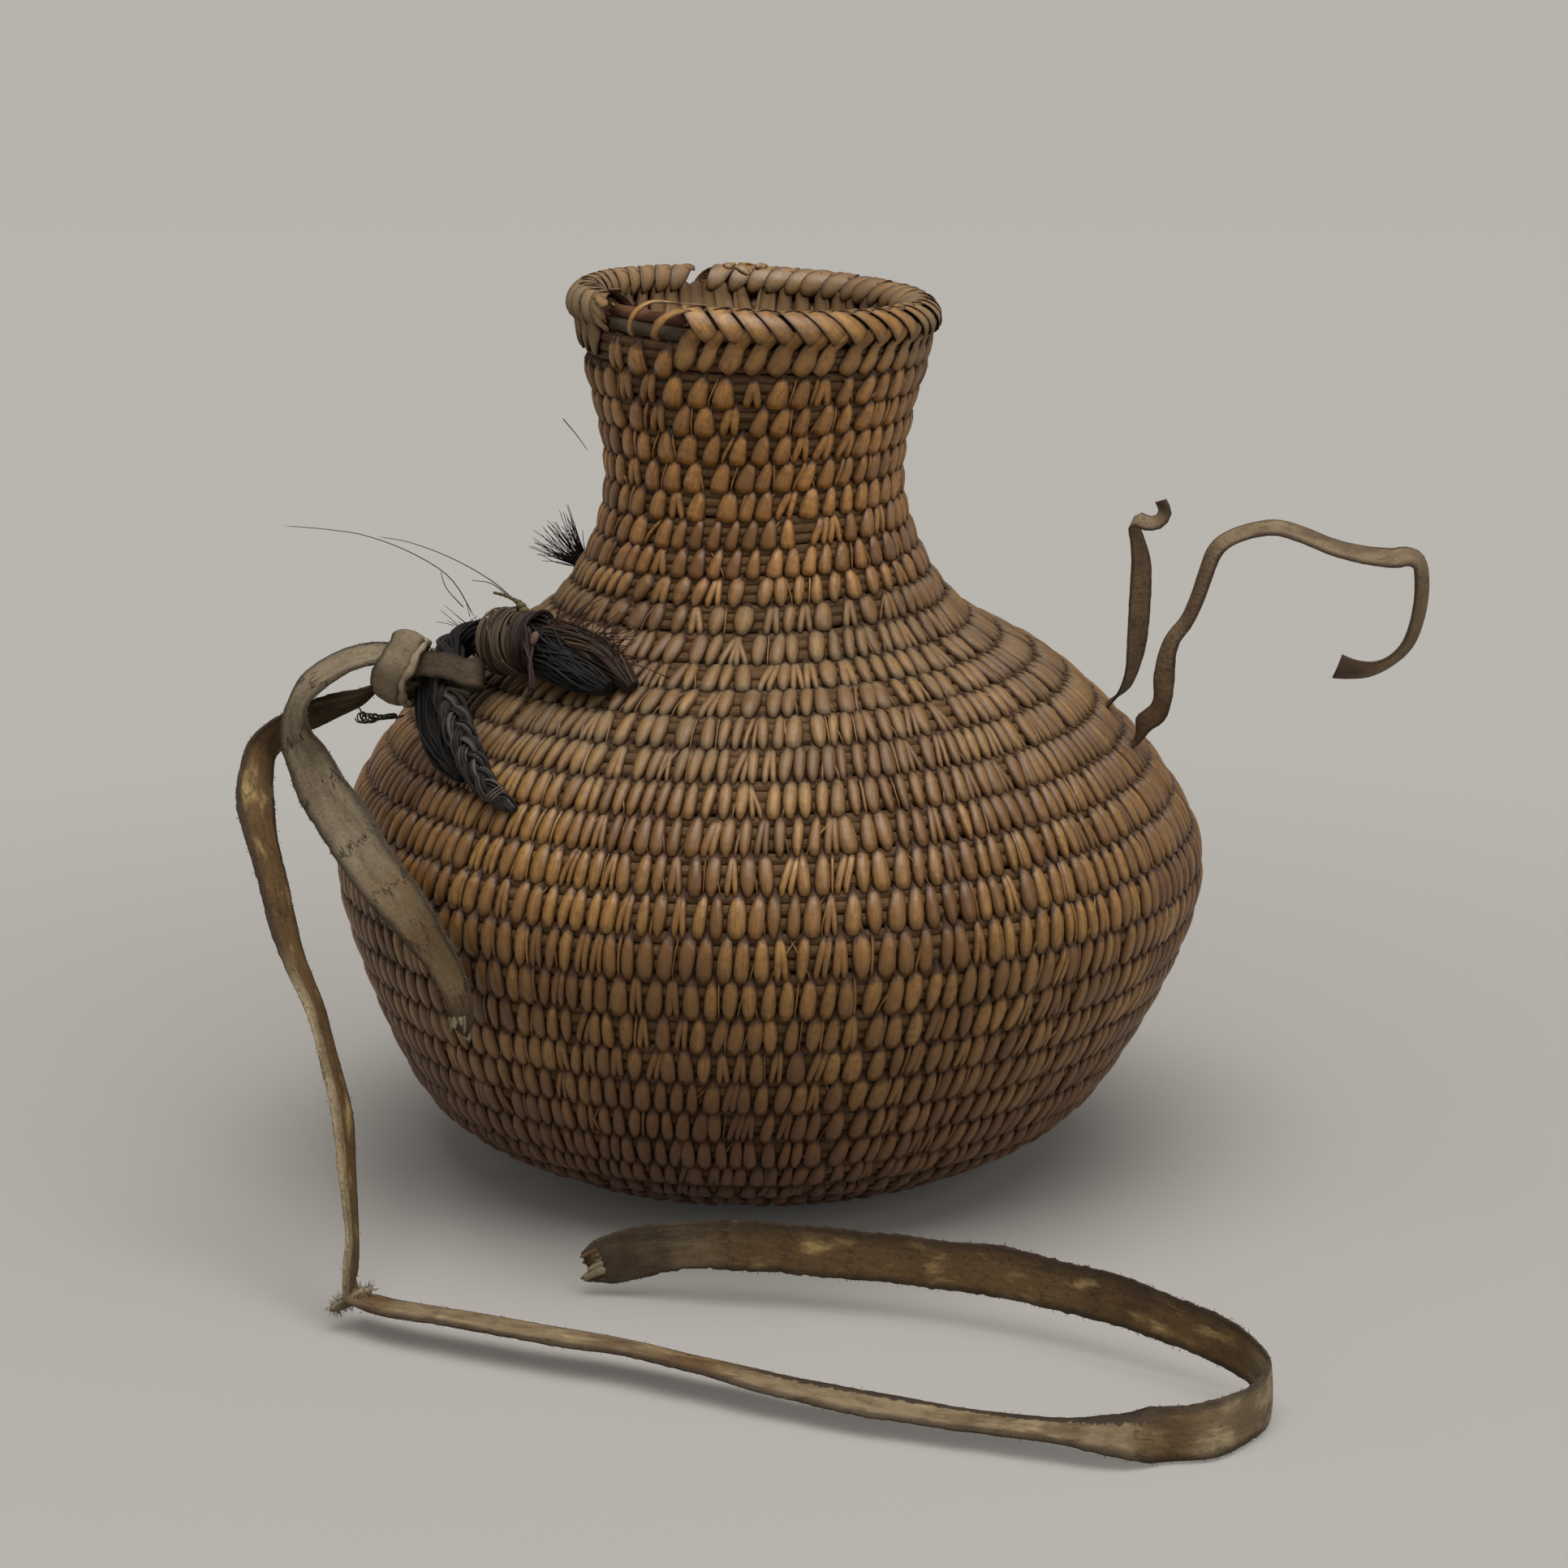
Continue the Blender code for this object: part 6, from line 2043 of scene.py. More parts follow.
STRAP_LONG = (
    (-94.8, -48.0, 148.4, 0.00, 1.00, 0.00, 0.0080),
    (-104.2, -48.2, 147.6, 0.00, 0.96, -0.26, 0.0080),
    (-111.6, -47.6, 143.9, 0.00, 0.80, -0.60, 0.0100),
    (-120.8, -45.0, 139.8, 0.10, 0.62, -0.78, 0.0100),
    (-127.7, -43.6, 136.6, 0.10, 0.56, -0.82, 0.0105),
    (-133.2, -44.6, 133.2, 0.30, 0.62, -0.70, 0.0115),
    (-137.4, -48.0, 129.4, 0.50, 0.76, -0.30, 0.0125),
    (-138.9, -54.0, 123.6, 0.58, 0.80, 0.00, 0.0125),
    (-138.4, -60.4, 117.0, 0.56, 0.82, 0.10, 0.0125),
    (-136.4, -66.0, 109.8, 0.63, 0.71, -0.33, 0.0125),
    (-133.6, -71.8, 101.5, 0.57, 0.75, -0.32, 0.0125),
    (-130.5, -78.1, 92.1, 0.54, 0.77, -0.35, 0.0125),
    (-127.3, -84.3, 83.9, 0.48, 0.78, -0.41, 0.0125),
    (-124.0, -89.6, 77.9, 0.45, 0.79, -0.42, 0.0125),
    (-120.4, -94.6, 72.0, 0.40, 0.80, -0.45, 0.0125),
    (-117.1, -100.9, 64.2, 0.34, 0.78, -0.53, 0.0125),
    (-114.2, -107.6, 56.8, 0.37, 0.75, -0.55, 0.0125),
    (-111.6, -114.3, 49.4, 0.40, 0.74, -0.54, 0.0125),
    (-109.9, -121.2, 41.3, 0.31, 0.76, -0.57, 0.0125),
    (-108.9, -126.9, 34.0, 0.26, 0.78, -0.57, 0.0120),
    (-107.8, -132.8, 26.3, 0.23, 0.77, -0.59, 0.0115),
    (-107.0, -138.5, 19.5, 0.19, 0.75, -0.64, 0.0110),
    (-107.2, -143.8, 13.5, 0.20, 0.94, -0.29, 0.0110),
    (-106.7, -142.0, 8.4, 0.19, 0.97, -0.15, 0.0110),
    (-102.8, -145.5, 8.0, 0.61, 0.78, -0.10, 0.0110),
    (-97.7, -149.1, 7.9, 0.55, 0.83, -0.07, 0.0115),
    (-91.2, -153.1, 8.2, 0.48, 0.87, -0.05, 0.0120),
    (-82.2, -157.6, 8.5, 0.43, 0.90, -0.06, 0.0125),
    (-70.2, -163.0, 8.6, 0.41, 0.91, -0.07, 0.0125),
    (-58.2, -168.5, 8.5, 0.39, 0.92, -0.07, 0.0125),
    (-46.6, -172.9, 8.3, 0.37, 0.92, -0.09, 0.0133),
    (-35.1, -177.9, 8.2, 0.42, 0.90, -0.13, 0.0133),
    (-25.3, -182.8, 7.9, 0.45, 0.88, -0.16, 0.0133),
    (-12.9, -189.5, 7.5, 0.49, 0.86, -0.14, 0.0133),
    (-0.5, -196.9, 7.0, 0.49, 0.87, -0.06, 0.0133),
    (11.6, -203.2, 6.6, 0.43, 0.90, 0.01, 0.0133),
    (23.6, -208.3, 6.3, 0.38, 0.93, 0.02, 0.0133),
    (35.4, -212.9, 6.0, 0.35, 0.94, 0.02, 0.0133),
    (47.1, -217.1, 5.7, 0.33, 0.94, -0.01, 0.0133),
    (57.2, -220.6, 5.8, 0.34, 0.94, 0.00, 0.0133),
    (67.3, -224.5, 6.3, 0.36, 0.93, 0.05, 0.0133),
    (75.9, -227.9, 6.8, 0.28, 0.93, 0.24, 0.0133),
    (84.8, -229.9, 7.0, 0.10, 0.84, 0.53, 0.0133),
    (94.6, -230.4, 7.2, -0.04, 0.22, 0.97, 0.0133),
    (104.6, -227.6, 7.3, -0.19, 0.37, 0.91, 0.0133),
    (113.4, -221.2, 7.4, -0.13, 0.11, 0.98, 0.0133),
    (119.6, -212.0, 7.6, -0.12, 0.01, 0.99, 0.0133),
    (122.1, -202.6, 8.2, -0.06, -0.06, 1.00, 0.0133),
    (120.6, -197.5, 10.3, -0.06, -0.08, 1.00, 0.0133),
    (116.5, -191.4, 12.0, -0.04, -0.10, 1.00, 0.0133),
    (108.7, -185.0, 14.4, 0.10, -0.14, 0.99, 0.0133),
    (98.9, -176.5, 15.8, 0.06, -0.03, 1.00, 0.0133),
    (85.5, -165.6, 16.4, 0.06, 0.05, 1.00, 0.0133),
    (71.4, -155.1, 16.5, 0.07, 0.11, 0.99, 0.0133),
    (57.3, -147.1, 16.5, 0.06, 0.12, 0.99, 0.0133),
    (42.6, -140.9, 16.4, 0.02, 0.08, 1.00, 0.0133),
    (27.8, -136.3, 16.3, 0.02, 0.09, 1.00, 0.0133),
    (10.4, -131.9, 16.4, 0.03, 0.09, 1.00, 0.0133),
    (-1.9, -129.3, 16.6, 0.02, 0.10, 0.99, 0.0133),
    (-13.4, -127.9, 16.5, -0.05, 0.11, 0.99, 0.0133),
    (-25.1, -125.6, 15.0, -0.17, 0.06, 0.98, 0.0133),
    (-34.6, -122.8, 12.6, -0.26, 0.11, 0.96, 0.0133),
    (-43.0, -121.6, 9.6, -0.35, 0.06, 0.94, 0.0128),
    (-47.4, -121.8, 7.8, -0.36, -0.24, 0.90, 0.0100),
)
STRAP_FOLD = (
    (-112.4, -146.6, 5.4, 0.8),
    (-110.2, -145.8, 6.6, 1.8),
    (-107.0, -144.6, 8.0, 2.2),
    (-103.8, -143.6, 9.2, 2.0),
    (-101.8, -143.0, 9.8, 1.0),
)
THONG_SHORT = (
    (98.9, -9.8, 137.4, 0.50, 0.80, 0.00, 0.0062),
    (101.2, -11.0, 144.3, 0.70, 0.70, 0.00, 0.0062),
    (102.4, -12.0, 153.8, 0.95, 0.30, 0.00, 0.0062),
    (102.8, -12.0, 164.7, 1.00, 0.10, 0.00, 0.0062),
    (102.8, -12.0, 173.9, 0.90, 0.40, 0.00, 0.0062),
    (101.6, -12.0, 180.4, 0.70, 0.70, 0.10, 0.0056),
    (100.4, -12.4, 184.6, 0.50, 0.80, 0.30, 0.0052),
    (101.4, -13.6, 186.6, 0.10, 0.86, 0.50, 0.0050),
    (104.2, -16.0, 186.0, 0.00, 0.80, 0.60, 0.0050),
    (107.2, -17.6, 186.8, -0.30, 0.76, 0.50, 0.0050),
    (108.6, -18.0, 189.6, -0.60, 0.70, 0.20, 0.0050),
    (107.4, -18.0, 192.4, -0.60, 0.70, -0.20, 0.0046),
)
THONG_LONG = (
    (103.2, -24.0, 130.6, -0.40, 0.20, 0.88, 0.0058),
    (106.9, -26.6, 134.4, -0.60, 0.40, 0.70, 0.0060),
    (108.2, -28.0, 138.8, -0.80, 0.60, 0.20, 0.0058),
    (108.5, -28.2, 144.5, -0.90, 0.40, 0.00, 0.0062),
    (109.2, -28.0, 151.2, -0.80, 0.60, 0.10, 0.0056),
    (110.9, -28.0, 156.2, -0.60, 0.70, 0.30, 0.0052),
    (114.0, -28.0, 160.4, -0.40, 0.80, 0.40, 0.0054),
    (116.7, -28.2, 166.4, -0.50, 0.80, 0.20, 0.0056),
    (118.9, -29.0, 173.6, -0.60, 0.78, 0.10, 0.0056),
    (121.2, -30.0, 180.4, -0.60, 0.74, 0.30, 0.0054),
    (125.0, -31.0, 184.4, -0.40, 0.76, 0.50, 0.0052),
    (131.6, -32.0, 187.1, -0.20, 0.80, 0.56, 0.0054),
    (138.3, -33.0, 188.0, 0.00, 0.80, 0.60, 0.0058),
    (145.3, -34.0, 186.1, 0.20, 0.78, 0.60, 0.0060),
    (153.3, -34.0, 182.8, 0.20, 0.74, 0.64, 0.0058),
    (161.1, -34.0, 180.8, 0.10, 0.70, 0.70, 0.0060),
    (169.3, -33.0, 179.6, 0.00, 0.66, 0.74, 0.0062),
    (174.2, -32.0, 179.9, 0.20, 0.76, 0.60, 0.0062),
    (177.8, -30.2, 177.2, 0.60, 0.76, 0.20, 0.0062),
    (178.9, -28.6, 169.8, 0.74, 0.66, 0.00, 0.0060),
    (178.1, -27.4, 160.8, 0.76, 0.64, 0.10, 0.0058),
    (175.6, -27.4, 153.8, 0.60, 0.70, -0.40, 0.0056),
    (171.0, -28.0, 149.3, 0.30, 0.70, -0.60, 0.0056),
    (165.6, -29.0, 147.2, 0.10, 0.60, -0.80, 0.0060),
    (160.1, -30.0, 147.5, 0.00, 0.40, -0.92, 0.0066),
    (156.1, -31.0, 148.6, 0.00, 0.20, -0.98, 0.0074),
)


@dataclass(frozen=True)
class Band:
    """A turn of hide round an axis that laps over its own start.

    Its oval has two half sizes. Begin is where it starts and lap how far its end lies over its start, both
    in turns. The half widths are spread evenly along it, and cup is how far its edges bend out.
    """

    centre: tuple[float, float, float]
    axis: tuple[float, float, float]
    half_across: float
    half_up: float
    widths: tuple[float, ...]
    lap: float
    cup: float
    begin: float = 0.95
    steps: int = 58
    thickness: float = 0.00085

    def frame(self) -> tuple[Array, Array, Array]:
        """The axis, and the level way and the way up across it."""
        along = unit(np.array(self.axis))
        level = unit(np.array((0.0, 1.0, 0.0)) - along * along[1])
        return along, level, np.cross(along, level)

    def spine(self) -> Spine:
        """The band's rows, with dents in it and ragged edges."""
        along, level, up = self.frame()
        t = np.linspace(0, 1, self.steps)
        angle = 2 * math.pi * (self.begin + (1 + self.lap) * t)
        grow = 0.0006 * t
        centres = np.array(self.centre) + oval(level, up, angle, self.half_across + grow, self.half_up + grow)
        wave = np.array([noise.noise((v * 5.0, self.begin * 9.0, 1.0)) for v in t])
        dent = np.array([noise.noise((v * 11.0, self.begin * 5.0, 7.0)) for v in t])
        normals = oval(level, up, angle, 1.0, 1.0)
        centres = centres + along * (wave * 0.0016)[:, None] + normals * (dent * 0.0011)[:, None]
        half = closed(np.interp(t, np.linspace(0, 1, len(self.widths)), self.widths))
        thick = np.full(self.steps, self.thickness)
        ragged = 1 + 0.16 * np.array([noise.noise((v * 23.0, self.begin * 3.0, 2.0)) for v in t])
        return Spine(centres, normals, half * ragged, half * (2 - ragged), thick, thick, self.cup, 0.6)


@dataclass
class Hidework:
    """The hide strap with its knot, and the thin thong on the other side.

    A hole is the turn of the wall that it goes through and its azimuth.
    """

    wall: CoiledWall
    holes: tuple[tuple[int, float], ...] = ((20, 85.9), (19, 79.3))
    strap_thickness: float = 0.0014
    strap_width: float = 0.0133
    fuzz: float = 0.00045
    thong_thickness: float = 0.0010
    thong_width: float = 0.0062
    collar: Band = Band(
        (-0.0990, -0.0480, 0.1522),
        (0.88, -0.36, -0.30),
        0.0074,
        0.0094,
        (0.0036, 0.0042, 0.0044, 0.0050, 0.0052, 0.0052, 0.0046, 0.0040, 0.0034),
        0.12,
        -62.0,
    )
    bight: Band = Band(
        (-0.0868, -0.0478, 0.1514),
        (0.10, 0.42, 1.0),
        0.0068,
        0.0086,
        (0.0030, 0.0034, 0.0034, 0.0036, 0.0046, 0.0050, 0.0034),
        0.14,
        10.0,
    )

    def __post_init__(self) -> None:
        """Makes the finishes."""
        self.strap = HideFinish(
            "strap_hide_dry",
            light=srgb(132, 117, 93),
            dark=srgb(76, 62, 43),
            patch=srgb(122, 98, 62),
            edge=srgb(44, 34, 23),
            pale=srgb(110, 84, 48),
            patches=0.5,
            cracks=0.85,
            fades=((0.096, 0.152, 0.75),),
        ).material()
        self.raw = HideFinish(
            "strap_hide_scraped",
            light=srgb(100, 75, 43),
            dark=srgb(52, 37, 20),
            patch=srgb(166, 140, 90),
            edge=srgb(42, 31, 20),
            pale=srgb(158, 142, 112),
            patches=0.85,
            cracks=0.45,
            lip=0.85,
            lips=((0.118, 0.212, 1.0),),
            fades=((0.222, 0.300, 0.45), (0.320, 0.425, 0.50), (0.440, 0.480, 0.70), (0.636, 0.700, 0.40)),
            chips=((0.322, 0.430, 0.9), (0.500, 0.660, 0.35)),
        ).material()
        self.fibrous = HideFinish(
            "hide_fibre_pale",
            light=srgb(154, 141, 116),
            dark=srgb(106, 91, 66),
            patch=srgb(172, 154, 118),
            edge=srgb(92, 76, 52),
            patches=0.4,
            cracks=0.0,
        ).material()
        self.knot = HideFinish(
            "knot_hide_dry",
            light=srgb(124, 108, 85),
            dark=srgb(66, 53, 37),
            patch=srgb(112, 91, 62),
            edge=srgb(40, 31, 22),
            cracks=0.2,
        ).material()
        self.thong = HideFinish(
            "thong_hide_dry",
            light=srgb(108, 86, 60),
            dark=srgb(44, 30, 20),
            patch=srgb(118, 98, 70),
            edge=srgb(58, 44, 31),
            pale=srgb(142, 123, 96),
            patches=0.7,
            cracks=0.3,
            fades=((0.058, 0.130, 0.60), (0.130, 0.200, 0.28)),
        ).material()

    def build_straps(self) -> None:
        """Builds the strap's two free ends."""
        ends = (
            ("strap_tail_hide", "strap_tail", STRAP_TAIL, self.strap, 14.0, 0.09, 1.0, ()),
            ("strap_long_hide", "strap_long", STRAP_LONG, self.raw, 9.0, 0.13, 2.0, STRAP_FOLD),
        )
        for name, node, table, finish, cup, ragged, seed, tuft in ends:
            thing, spine = HideStrip(
                name,
                node,
                table,
                self.strap_thickness,
                finish,
                "strap_hide",
                cup=cup,
                ragged=ragged,
                seed=seed,
                torn=True,
                fuzz=self.fuzz,
                pale=self.fibrous,
                tuft=tuft,
            ).build()

    def hole(self, course: int, azimuth: float) -> tuple[Array, Array, Array]:
        """Middle, outward way and level way of a thong hole."""
        wall = self.wall
        turns = course + ((azimuth - wall.seam) % 360.0) / 360.0
        distance = np.array([(float(wall.edge(turns)) + float(wall.edge(turns + 1))) / 2])
        around = np.array([azimuth])
        inside = wall.on_wall(distance, around, np.array([-wall.thickness]))[0][0]
        outside = wall.on_wall(distance, around, np.array([wall.thickness]))[0][0]
        turn = math.radians(azimuth)
        return (inside + outside) / 2, unit(outside - inside), np.array((math.cos(turn), math.sin(turn), 0.0))

    def build_thongs(self) -> None:
        """Builds the thong's two free ends and its run inside the wall."""
        wall = self.wall
        width = self.thong_width
        frames = [self.hole(course, azimuth) for course, azimuth in self.holes]
        ends = (
            ("thong_short_hide", "thong_short_end", THONG_SHORT, 3.0),
            ("thong_long_hide", "thong_long_end", THONG_LONG, 4.0),
        )
        made = (self.thong_thickness, self.thong, "thong_hide")
        for (centre, way, level), (name, node, table, seed) in zip(frames, ends):
            start = [
                (*(1000 * (centre + way * 0.00015)), *level, width),
                (*(1000 * (centre + way * wall.thickness * 0.6)), *level, width),
            ]
            strip = HideStrip(name, node, (*start, *table), *made, cup=40.0, ragged=0.08, seed=seed)
            thing, spine = strip.build()
        depth = wall.thickness / 2 + 0.0009 + self.thong_thickness + 0.0024
        rows = []
        for index, shares in ((0, (0.0, 0.75, 1.15)), (1, (1.15, 0.75, 0.0))):
            centre, way, level = frames[index]
            for share in shares:
                rows.append((*(1000 * (centre - way * max(depth * share, 0.0003))), *level, width))
        HideStrip("thong_inner_hide", "thong_inner_loop", tuple(rows), *made, ragged=0.06, seed=5.0).build()

    def build_knot(self) -> None:
        """Builds the strap's knot: an upright collar and the bight that holds the lug's leg."""
        weave = Weave()
        weave.add(self.collar.spine(), 22, 0.5, 7.0)
        along, level, up = self.collar.frame()
        angle = np.linspace(0, 2 * math.pi * 0.96, 60) + 1.2
        wave = 0.0005 * np.sin(3 * angle) + 0.0003 * np.sin(7 * angle)
        roll = np.array(self.collar.centre) + along * (0.0044 + wave)[:, None]
        roll = roll + oval(level, up, angle, 0.0069, 0.0088)
        size = closed(0.0011 * (1 + 0.18 * np.sin(5 * angle) + 0.12 * np.sin(13 * angle)))
        weave.add(round_spine(roll, size), 10, 0.3, 4.0, 1)
        collar = weave.piece("knot_collar_hide", (self.knot, self.fibrous))
        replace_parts(collar, "strap_knot_collar")
        weave = Weave()
        weave.add(self.bight.spine(), 22, -0.35, 8.0)
        t = np.linspace(0, 1, 14)
        fold = metres(
            np.column_stack((-89.5 + 9.0 * t, -53.6 - 0.6 * np.sin(3.1 * t), 147.3 - 0.6 * t - 1.2 * t**2))
        )
        half = np.array((0.0, 0.5, 0.7, 0.85, 0.95, 1.0, 1.0, 1.0, 1.0, 0.96, 0.9, 0.8, 0.6, 0.0)) * 0.0020
        weave.add(even_spine(fold, np.tile((0.1, -0.7, -0.7), (14, 1)), half, 0.0007, 0.6), 14, 0.1, 9.0)
        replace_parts(weave.piece("knot_band_hide", (self.knot,)), "strap_knot_band")


# Loose hairs and the second lug


@dataclass
class LooseEnds:
    """Single hairs, the bristles of the second lug, and a curled fibre. The routes are in millimetres."""

    hair: bpy.types.Material
    hairs: tuple[Table, ...] = (
        (
            (-80.0, -40.0, 164.0),
            (-86.3, -40.0, 175.0),
            (-96.5, -40.0, 182.0),
            (-109.0, -40.0, 186.9),
            (-120.0, -40.0, 188.7),
            (-131.5, -40.0, 189.7),
        ),
        (
            (-68.0, -40.0, 168.0),
            (-75.5, -40.0, 174.6),
            (-86.0, -40.0, 180.7),
            (-97.0, -40.0, 185.0),
            (-106.0, -40.0, 186.7),
        ),
        ((-83.0, -40.0, 167.0), (-87.6, -40.0, 172.4), (-89.2, -40.0, 177.3)),
        ((-70.5, -40.0, 170.0), (-75.6, -40.0, 173.8), (-81.0, -40.0, 174.6)),
        ((-57.4, -6.0, 213.5), (-53.2, -9.0, 209.0), (-50.2, -12.0, 205.4)),
    )
    short_hairs: int = 22
    wiry_hairs: int = 60
    wiry_from: tuple[float, float, float] = (-58.5, -52.6, 165.4)
    wiry_to: tuple[float, float, float] = (-39.0, -65.4, 158.6)
    tuft_root: tuple[float, float, float] = (-0.0534, 0.0206, 0.1671)
    tuft_aim: tuple[float, float, float] = (-0.0600, 0.0215, 0.1740)
    bristles: int = 70
    stem: Table = ((-112.0, -46.0, 141.5), (-111.0, -46.0, 139.6), (-110.0, -46.0, 137.8))
    seed: int = 21

    def __post_init__(self) -> None:
        """Starts the random draws."""
        self.draw = np.random.default_rng(self.seed)

    def hair_line(self, weave: Weave, points: Array, radius: float = 0.00017, slot: int = 0) -> None:
        """Adds one hair through the points, thinner towards its tip.

        Args:
            weave: what it is added to.
            points: places in metres.
            radius: how thick it is at its root.
            slot: which of the mesh's finishes it has.
        """
        rows = resampled(catmull(points), 22)
        size = closed(radius * np.linspace(1.0, 0.55, 22))
        tone = float(self.draw.random())
        weave.add(round_spine(rows, size, (0.3, 0.2, 1.0)), 5, tone, self.draw.random(), slot)

    def bent(self, root: Array, way: Array, bend: Array, share: float) -> Array:
        """Three points of a hair that runs one way and bends, with a share of the bend halfway."""
        return np.array((root, root + way * 0.5 + bend * share, root + way + bend))

    def build_stray(self) -> None:
        """The single hairs that stand away from the lug."""
        weave = Weave()
        draw = self.draw
        for points in self.hairs:
            self.hair_line(weave, metres(points))
        for _ in range(self.short_hairs):
            turn = draw.uniform(0.3, 2.6)
            out = np.array((math.cos(turn), -0.3, math.sin(turn)))
            root = np.array((-80.5, -38.0, 158.0)) + out * 5.2 + draw.normal(0, 1.0, 3) * (1.5, 3.0, 0.8)
            way = out + draw.normal(0, 0.5, 3)
            way = way * draw.uniform(2.0, 5.0)
            self.hair_line(weave, metres(self.bent(root, way, draw.normal(0, 1.0, 3), 0.4)), 0.00011)
        for _ in range(self.wiry_hairs):
            share = draw.random()
            root = np.array(self.wiry_from) * (1 - share) + np.array(self.wiry_to) * share
            root = root + draw.normal(0, 1.0, 3) * (1.2, 1.0, 0.8)
            way = unit(np.array((0.50, -0.20, 0.85)) + draw.normal(0, 0.45, 3))
            way = way * draw.uniform(4.0, 12.0)
            bend = draw.normal(0, 1.6, 3) + (1.0, 0.0, -1.5)
            self.hair_line(weave, metres(self.bent(root, way, bend, 0.3)), 0.00021, 1)
        wiry = HairFinish("horsehair_wiry", srgb(86, 56, 46), srgb(40, 25, 21), 0.6).material()
        weave.piece("stray_hairs", (self.hair, wiry))

    def build_tuft(self) -> None:
        """The stub of a second lug behind the neck, with its bristles standing out."""
        weave = Weave()
        draw = self.draw
        root = np.array(self.tuft_root)
        way = unit(np.array(self.tuft_aim) - root)
        side = unit(np.cross(way, (0.0, 1.0, 0.0)))
        other = np.cross(way, side)
        stub = root + way * (np.linspace(-0.001, 0.005, 8))[:, None]
        size = np.array((0.0, 0.9, 1.0, 1.0, 0.9, 0.7, 0.4, 0.0)) * 0.0026
        weave.add(round_spine(stub, size), 10, 0.2, 1.0)
        for _ in range(self.bristles):
            turn = draw.uniform(0, 2 * math.pi)
            spread = math.sqrt(draw.random())
            out = side * math.cos(turn) + other * math.sin(turn)
            foot = root + out * spread * 0.0020
            aimed = unit(way + out * spread * 0.55 + draw.normal(0, 0.12, 3))
            aimed = aimed * draw.uniform(0.008, 0.0165)
            self.hair_line(weave, self.bent(foot, aimed, draw.normal(0, 0.0012, 3), 0.0), 0.00016)
        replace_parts(weave.piece("rear_tuft_bristles", (self.hair,)), "rear_lug_tuft")

    def build_curl(self) -> None:
        """The curled loose fibre between the strap and the wall."""
        weave = Weave()
        t = np.linspace(0, 1, 60)
        for k in range(4):
            phase = 2 * math.pi * (t * (3.0 + 0.7 * k) + 0.21 * k)
            size = 1.6 - 0.2 * k
            x = -111.5 + 10.5 * t + size * np.cos(phase)
            z = 137.6 + size * 0.9 * np.sin(phase) * (1 - t) ** 0.5 + 0.4 * t
            y = -46.0 + 1.2 * np.sin(phase * 0.7 + k) + 1.5 * t
            thick = closed(np.full(60, 0.00022 if k else 0.00030))
            weave.add(round_spine(metres(np.column_stack((x, y, z))), thick), 5, 0.4 + 0.1 * k, k)
        stem = resampled(catmull(metres(self.stem)), 14)
        weave.add(round_spine(stem, closed(np.full(14, 0.00022))), 5, 0.5, 3.0)
        finish = HairFinish("loose_fibre", srgb(96, 84, 68), srgb(46, 38, 30), 0.7).material()
        weave.piece("curled_fibre", (finish,))

    def build(self) -> None:
        """Builds all loose ends."""
        self.build_stray()
        self.build_tuft()
        self.build_curl()


# The studio


@dataclass(frozen=True)
class Lamp:
    """A soft square light: where it is, what it points at, its side in metres and its strength in watts."""

    name: str
    place: tuple[float, float, float]
    size: float
    power: float
    aim: tuple[float, float, float] = (0.0, 0.0, 0.1)

    def build(self) -> None:
        """Adds the light."""
        data = bpy.data.lights.new(self.name, "AREA")
        data.shape = "SQUARE"
        data.size = self.size
        data.energy = self.power
        light = bpy.data.objects.new(self.name, data)
        light.location = self.place
        light.rotation_euler = (Vector(self.aim) - Vector(self.place)).to_track_quat("-Z", "Y").to_euler()
        bpy.context.scene.collection.objects.link(light)


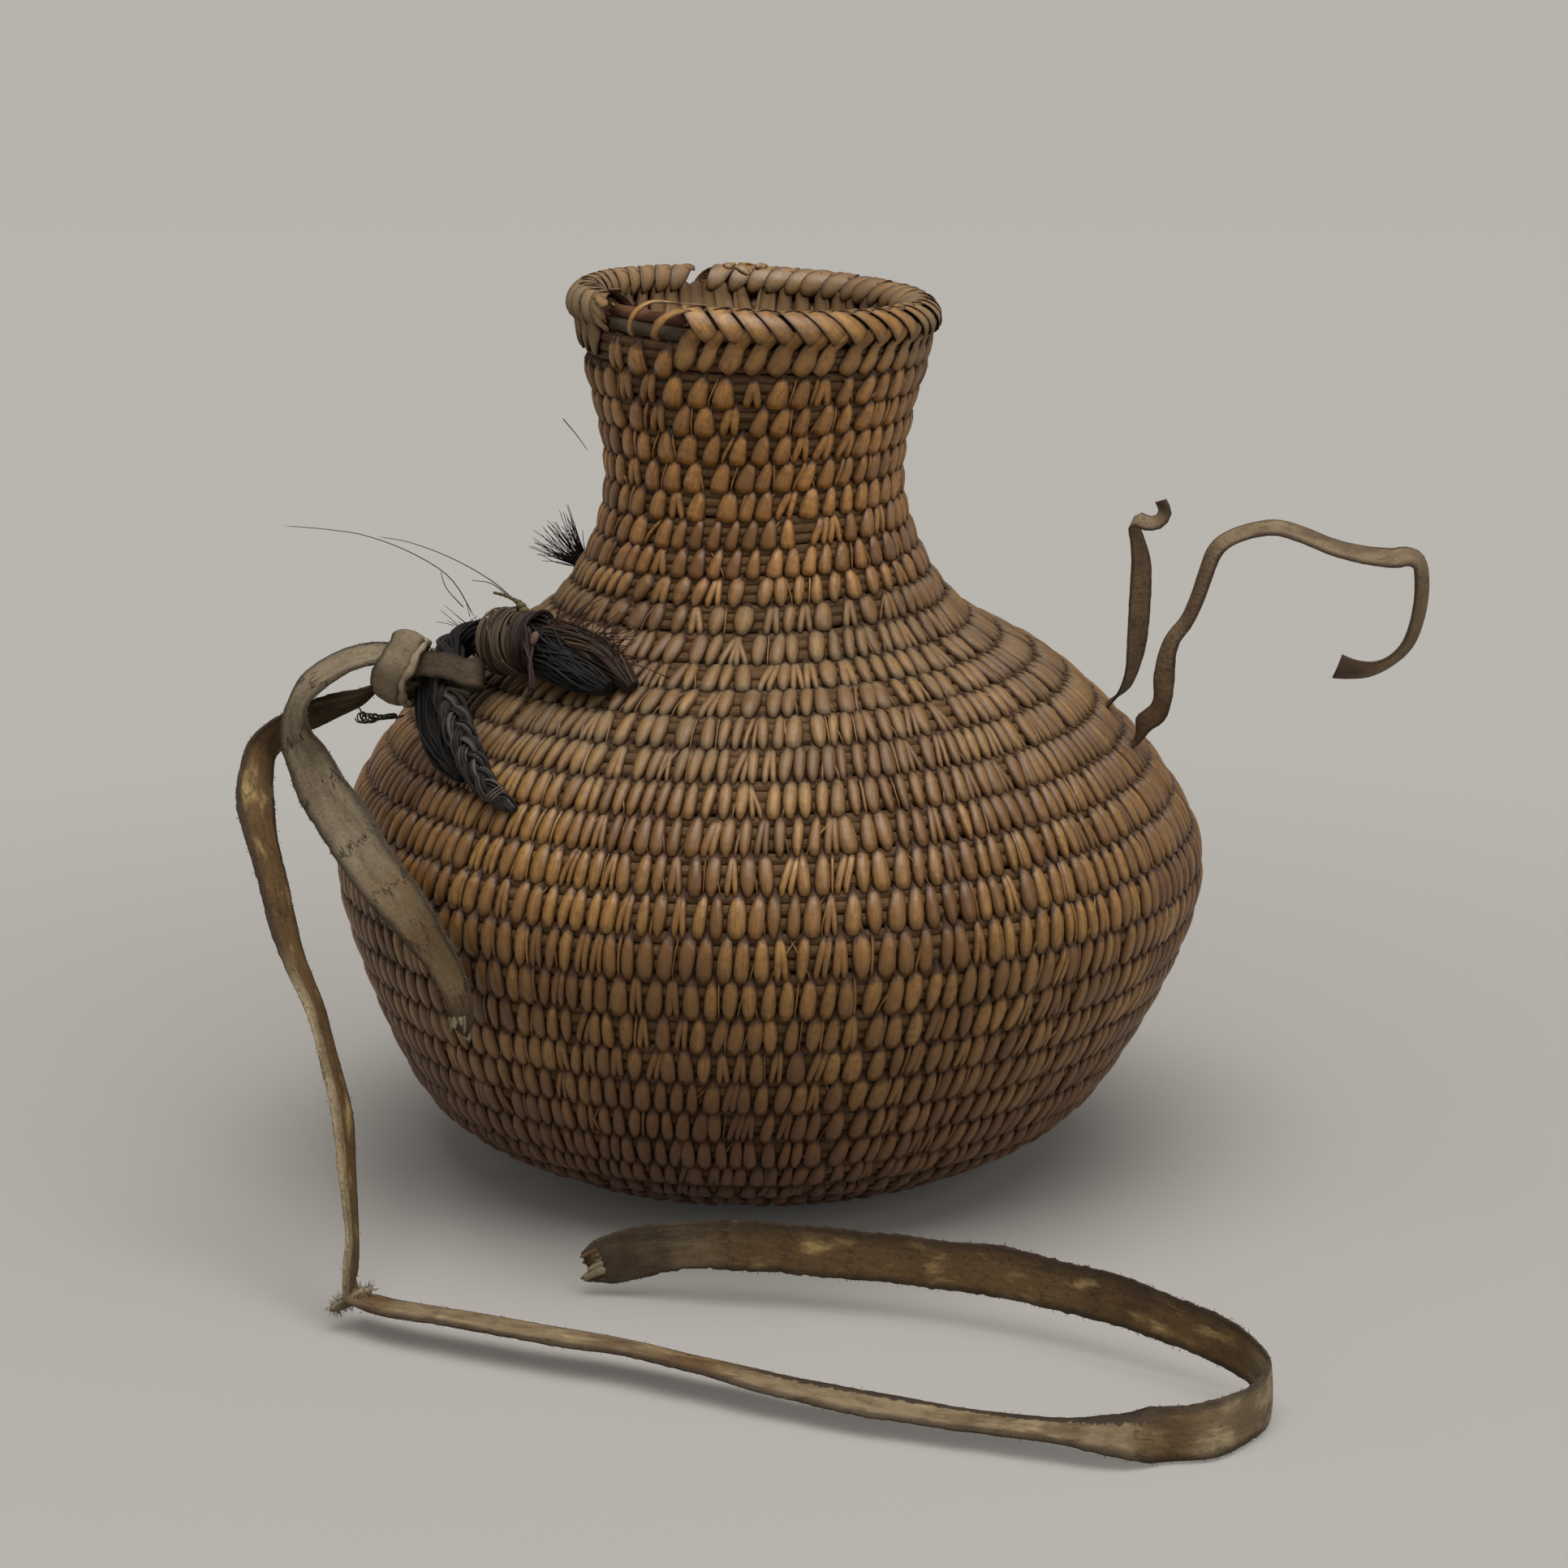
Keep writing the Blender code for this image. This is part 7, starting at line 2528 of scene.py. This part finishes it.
@dataclass
class Studio:
    """The camera, the pale ground and the soft lights.

    The ground runs level to sweep_start, turns up with sweep_radius, and goes on upright.
    """

    camera_place: tuple[float, float, float] = (0.0039, -1.150, 0.400)
    pitch_down: float = 14.27
    lens: float = 95.83
    sensor: float = 36.0
    farthest: float = 60.0
    ground_start: float = -4.0
    ground_length: float = 10.0
    ground_half_width: float = 5.0
    sweep_start: float = 2.2
    sweep_radius: float = 1.2
    air: Colour = (1.0, 0.985, 0.96, 1.0)
    air_strength: float = 0.30
    lamps: tuple[Lamp, ...] = (
        Lamp("overhead", (0.09, -0.42, 1.8), 1.7, 35.0),
        Lamp("right_front", (1.5, -1.5, 1.1), 1.0, 7.5),
        Lamp("left_front", (-1.7, -1.2, 0.9), 1.2, 1.6),
    )

    def build_camera(self) -> None:
        """Sets the camera at the photograph's place."""
        data = bpy.data.cameras.new("photo_camera")
        data.lens = self.lens
        data.sensor_width = self.sensor
        data.clip_end = self.farthest
        camera = bpy.data.objects.new("photo_camera", data)
        camera.location = self.camera_place
        camera.rotation_euler = (math.radians(90 - self.pitch_down), 0.0, 0.0)
        bpy.context.scene.collection.objects.link(camera)
        bpy.context.scene.camera = camera

    def build_ground(self) -> None:
        """Makes the floor with its sweep up at the back."""
        start, radius = self.sweep_start, self.sweep_radius
        quarter = radius * math.pi / 2
        maker = bmesh.new()
        bmesh.ops.create_grid(maker, x_segments=2, y_segments=60, size=1.0)
        for vert in maker.verts:
            run = (vert.co.y + 1) / 2 * self.ground_length + self.ground_start
            if run <= start:
                y, z = run, 0.0
            elif run <= start + quarter:
                turn = (run - start) / radius
                y, z = start + radius * math.sin(turn), radius * (1 - math.cos(turn))
            else:
                y, z = start + radius, radius + run - start - quarter
            vert.co = (vert.co.x * self.ground_half_width, y, z)
        bmesh.ops.recalc_face_normals(maker, faces=maker.faces)
        mesh = bpy.data.meshes.new("studio_ground")
        maker.to_mesh(mesh)
        maker.free()
        mesh.materials.append(PaperFinish("studio_paper").material())
        placed(mesh)

    def build_lights(self) -> None:
        """Lights the jar softly from above and a little from the right."""
        world = bpy.data.worlds.new("studio_air")
        world.use_nodes = True
        background = world.node_tree.nodes["Background"]
        background.inputs["Color"].default_value = self.air
        background.inputs["Strength"].default_value = self.air_strength
        bpy.context.scene.world = world
        for lamp in self.lamps:
            lamp.build()

    def build(self) -> None:
        """Builds the studio."""
        bpy.context.scene.view_settings.view_transform = "Standard"
        self.build_camera()
        self.build_ground()
        self.build_lights()


def main() -> None:
    """Builds the studio and every piece of the jar."""
    logging.basicConfig(level=logging.INFO, format="%(message)s", stream=sys.stdout)
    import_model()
    Studio().build()
    wall = CoiledWall()
    hides = Hidework(wall)
    hides.build_straps()
    hides.build_thongs()
    hides.build_knot()
    splint = SplintFinish("splint_sewn").material()
    rim_splint = SplintFinish(
        "splint_rim", inside_share=0.5, neck=srgb(176, 129, 66), dust_everywhere=0.24, tip_share=0.12
    ).material()
    inner = SplintFinish("splint_inside", inside_share=0.8, dust_everywhere=0.45, tip_share=0.3).material()
    rod = RodFinish("rod_bundle").material()
    Basket(wall, splint, rod, inner).build()
    Rim(wall, rim_splint, rod).build()
    Lining(wall).build()
    hair = HairFinish("horsehair_black").material()
    fibre = HairFinish("wrap_fibre_taupe", srgb(116, 98, 76), srgb(38, 30, 23), 0.8, 2400.0).material()
    twine = HairFinish("twine_dark", srgb(74, 54, 48), srgb(27, 18, 19), 0.7, 2600.0).material()
    Lug(hair, fibre, twine).build()
    LooseEnds(hair).build()


if __name__ == "__main__":
    main()
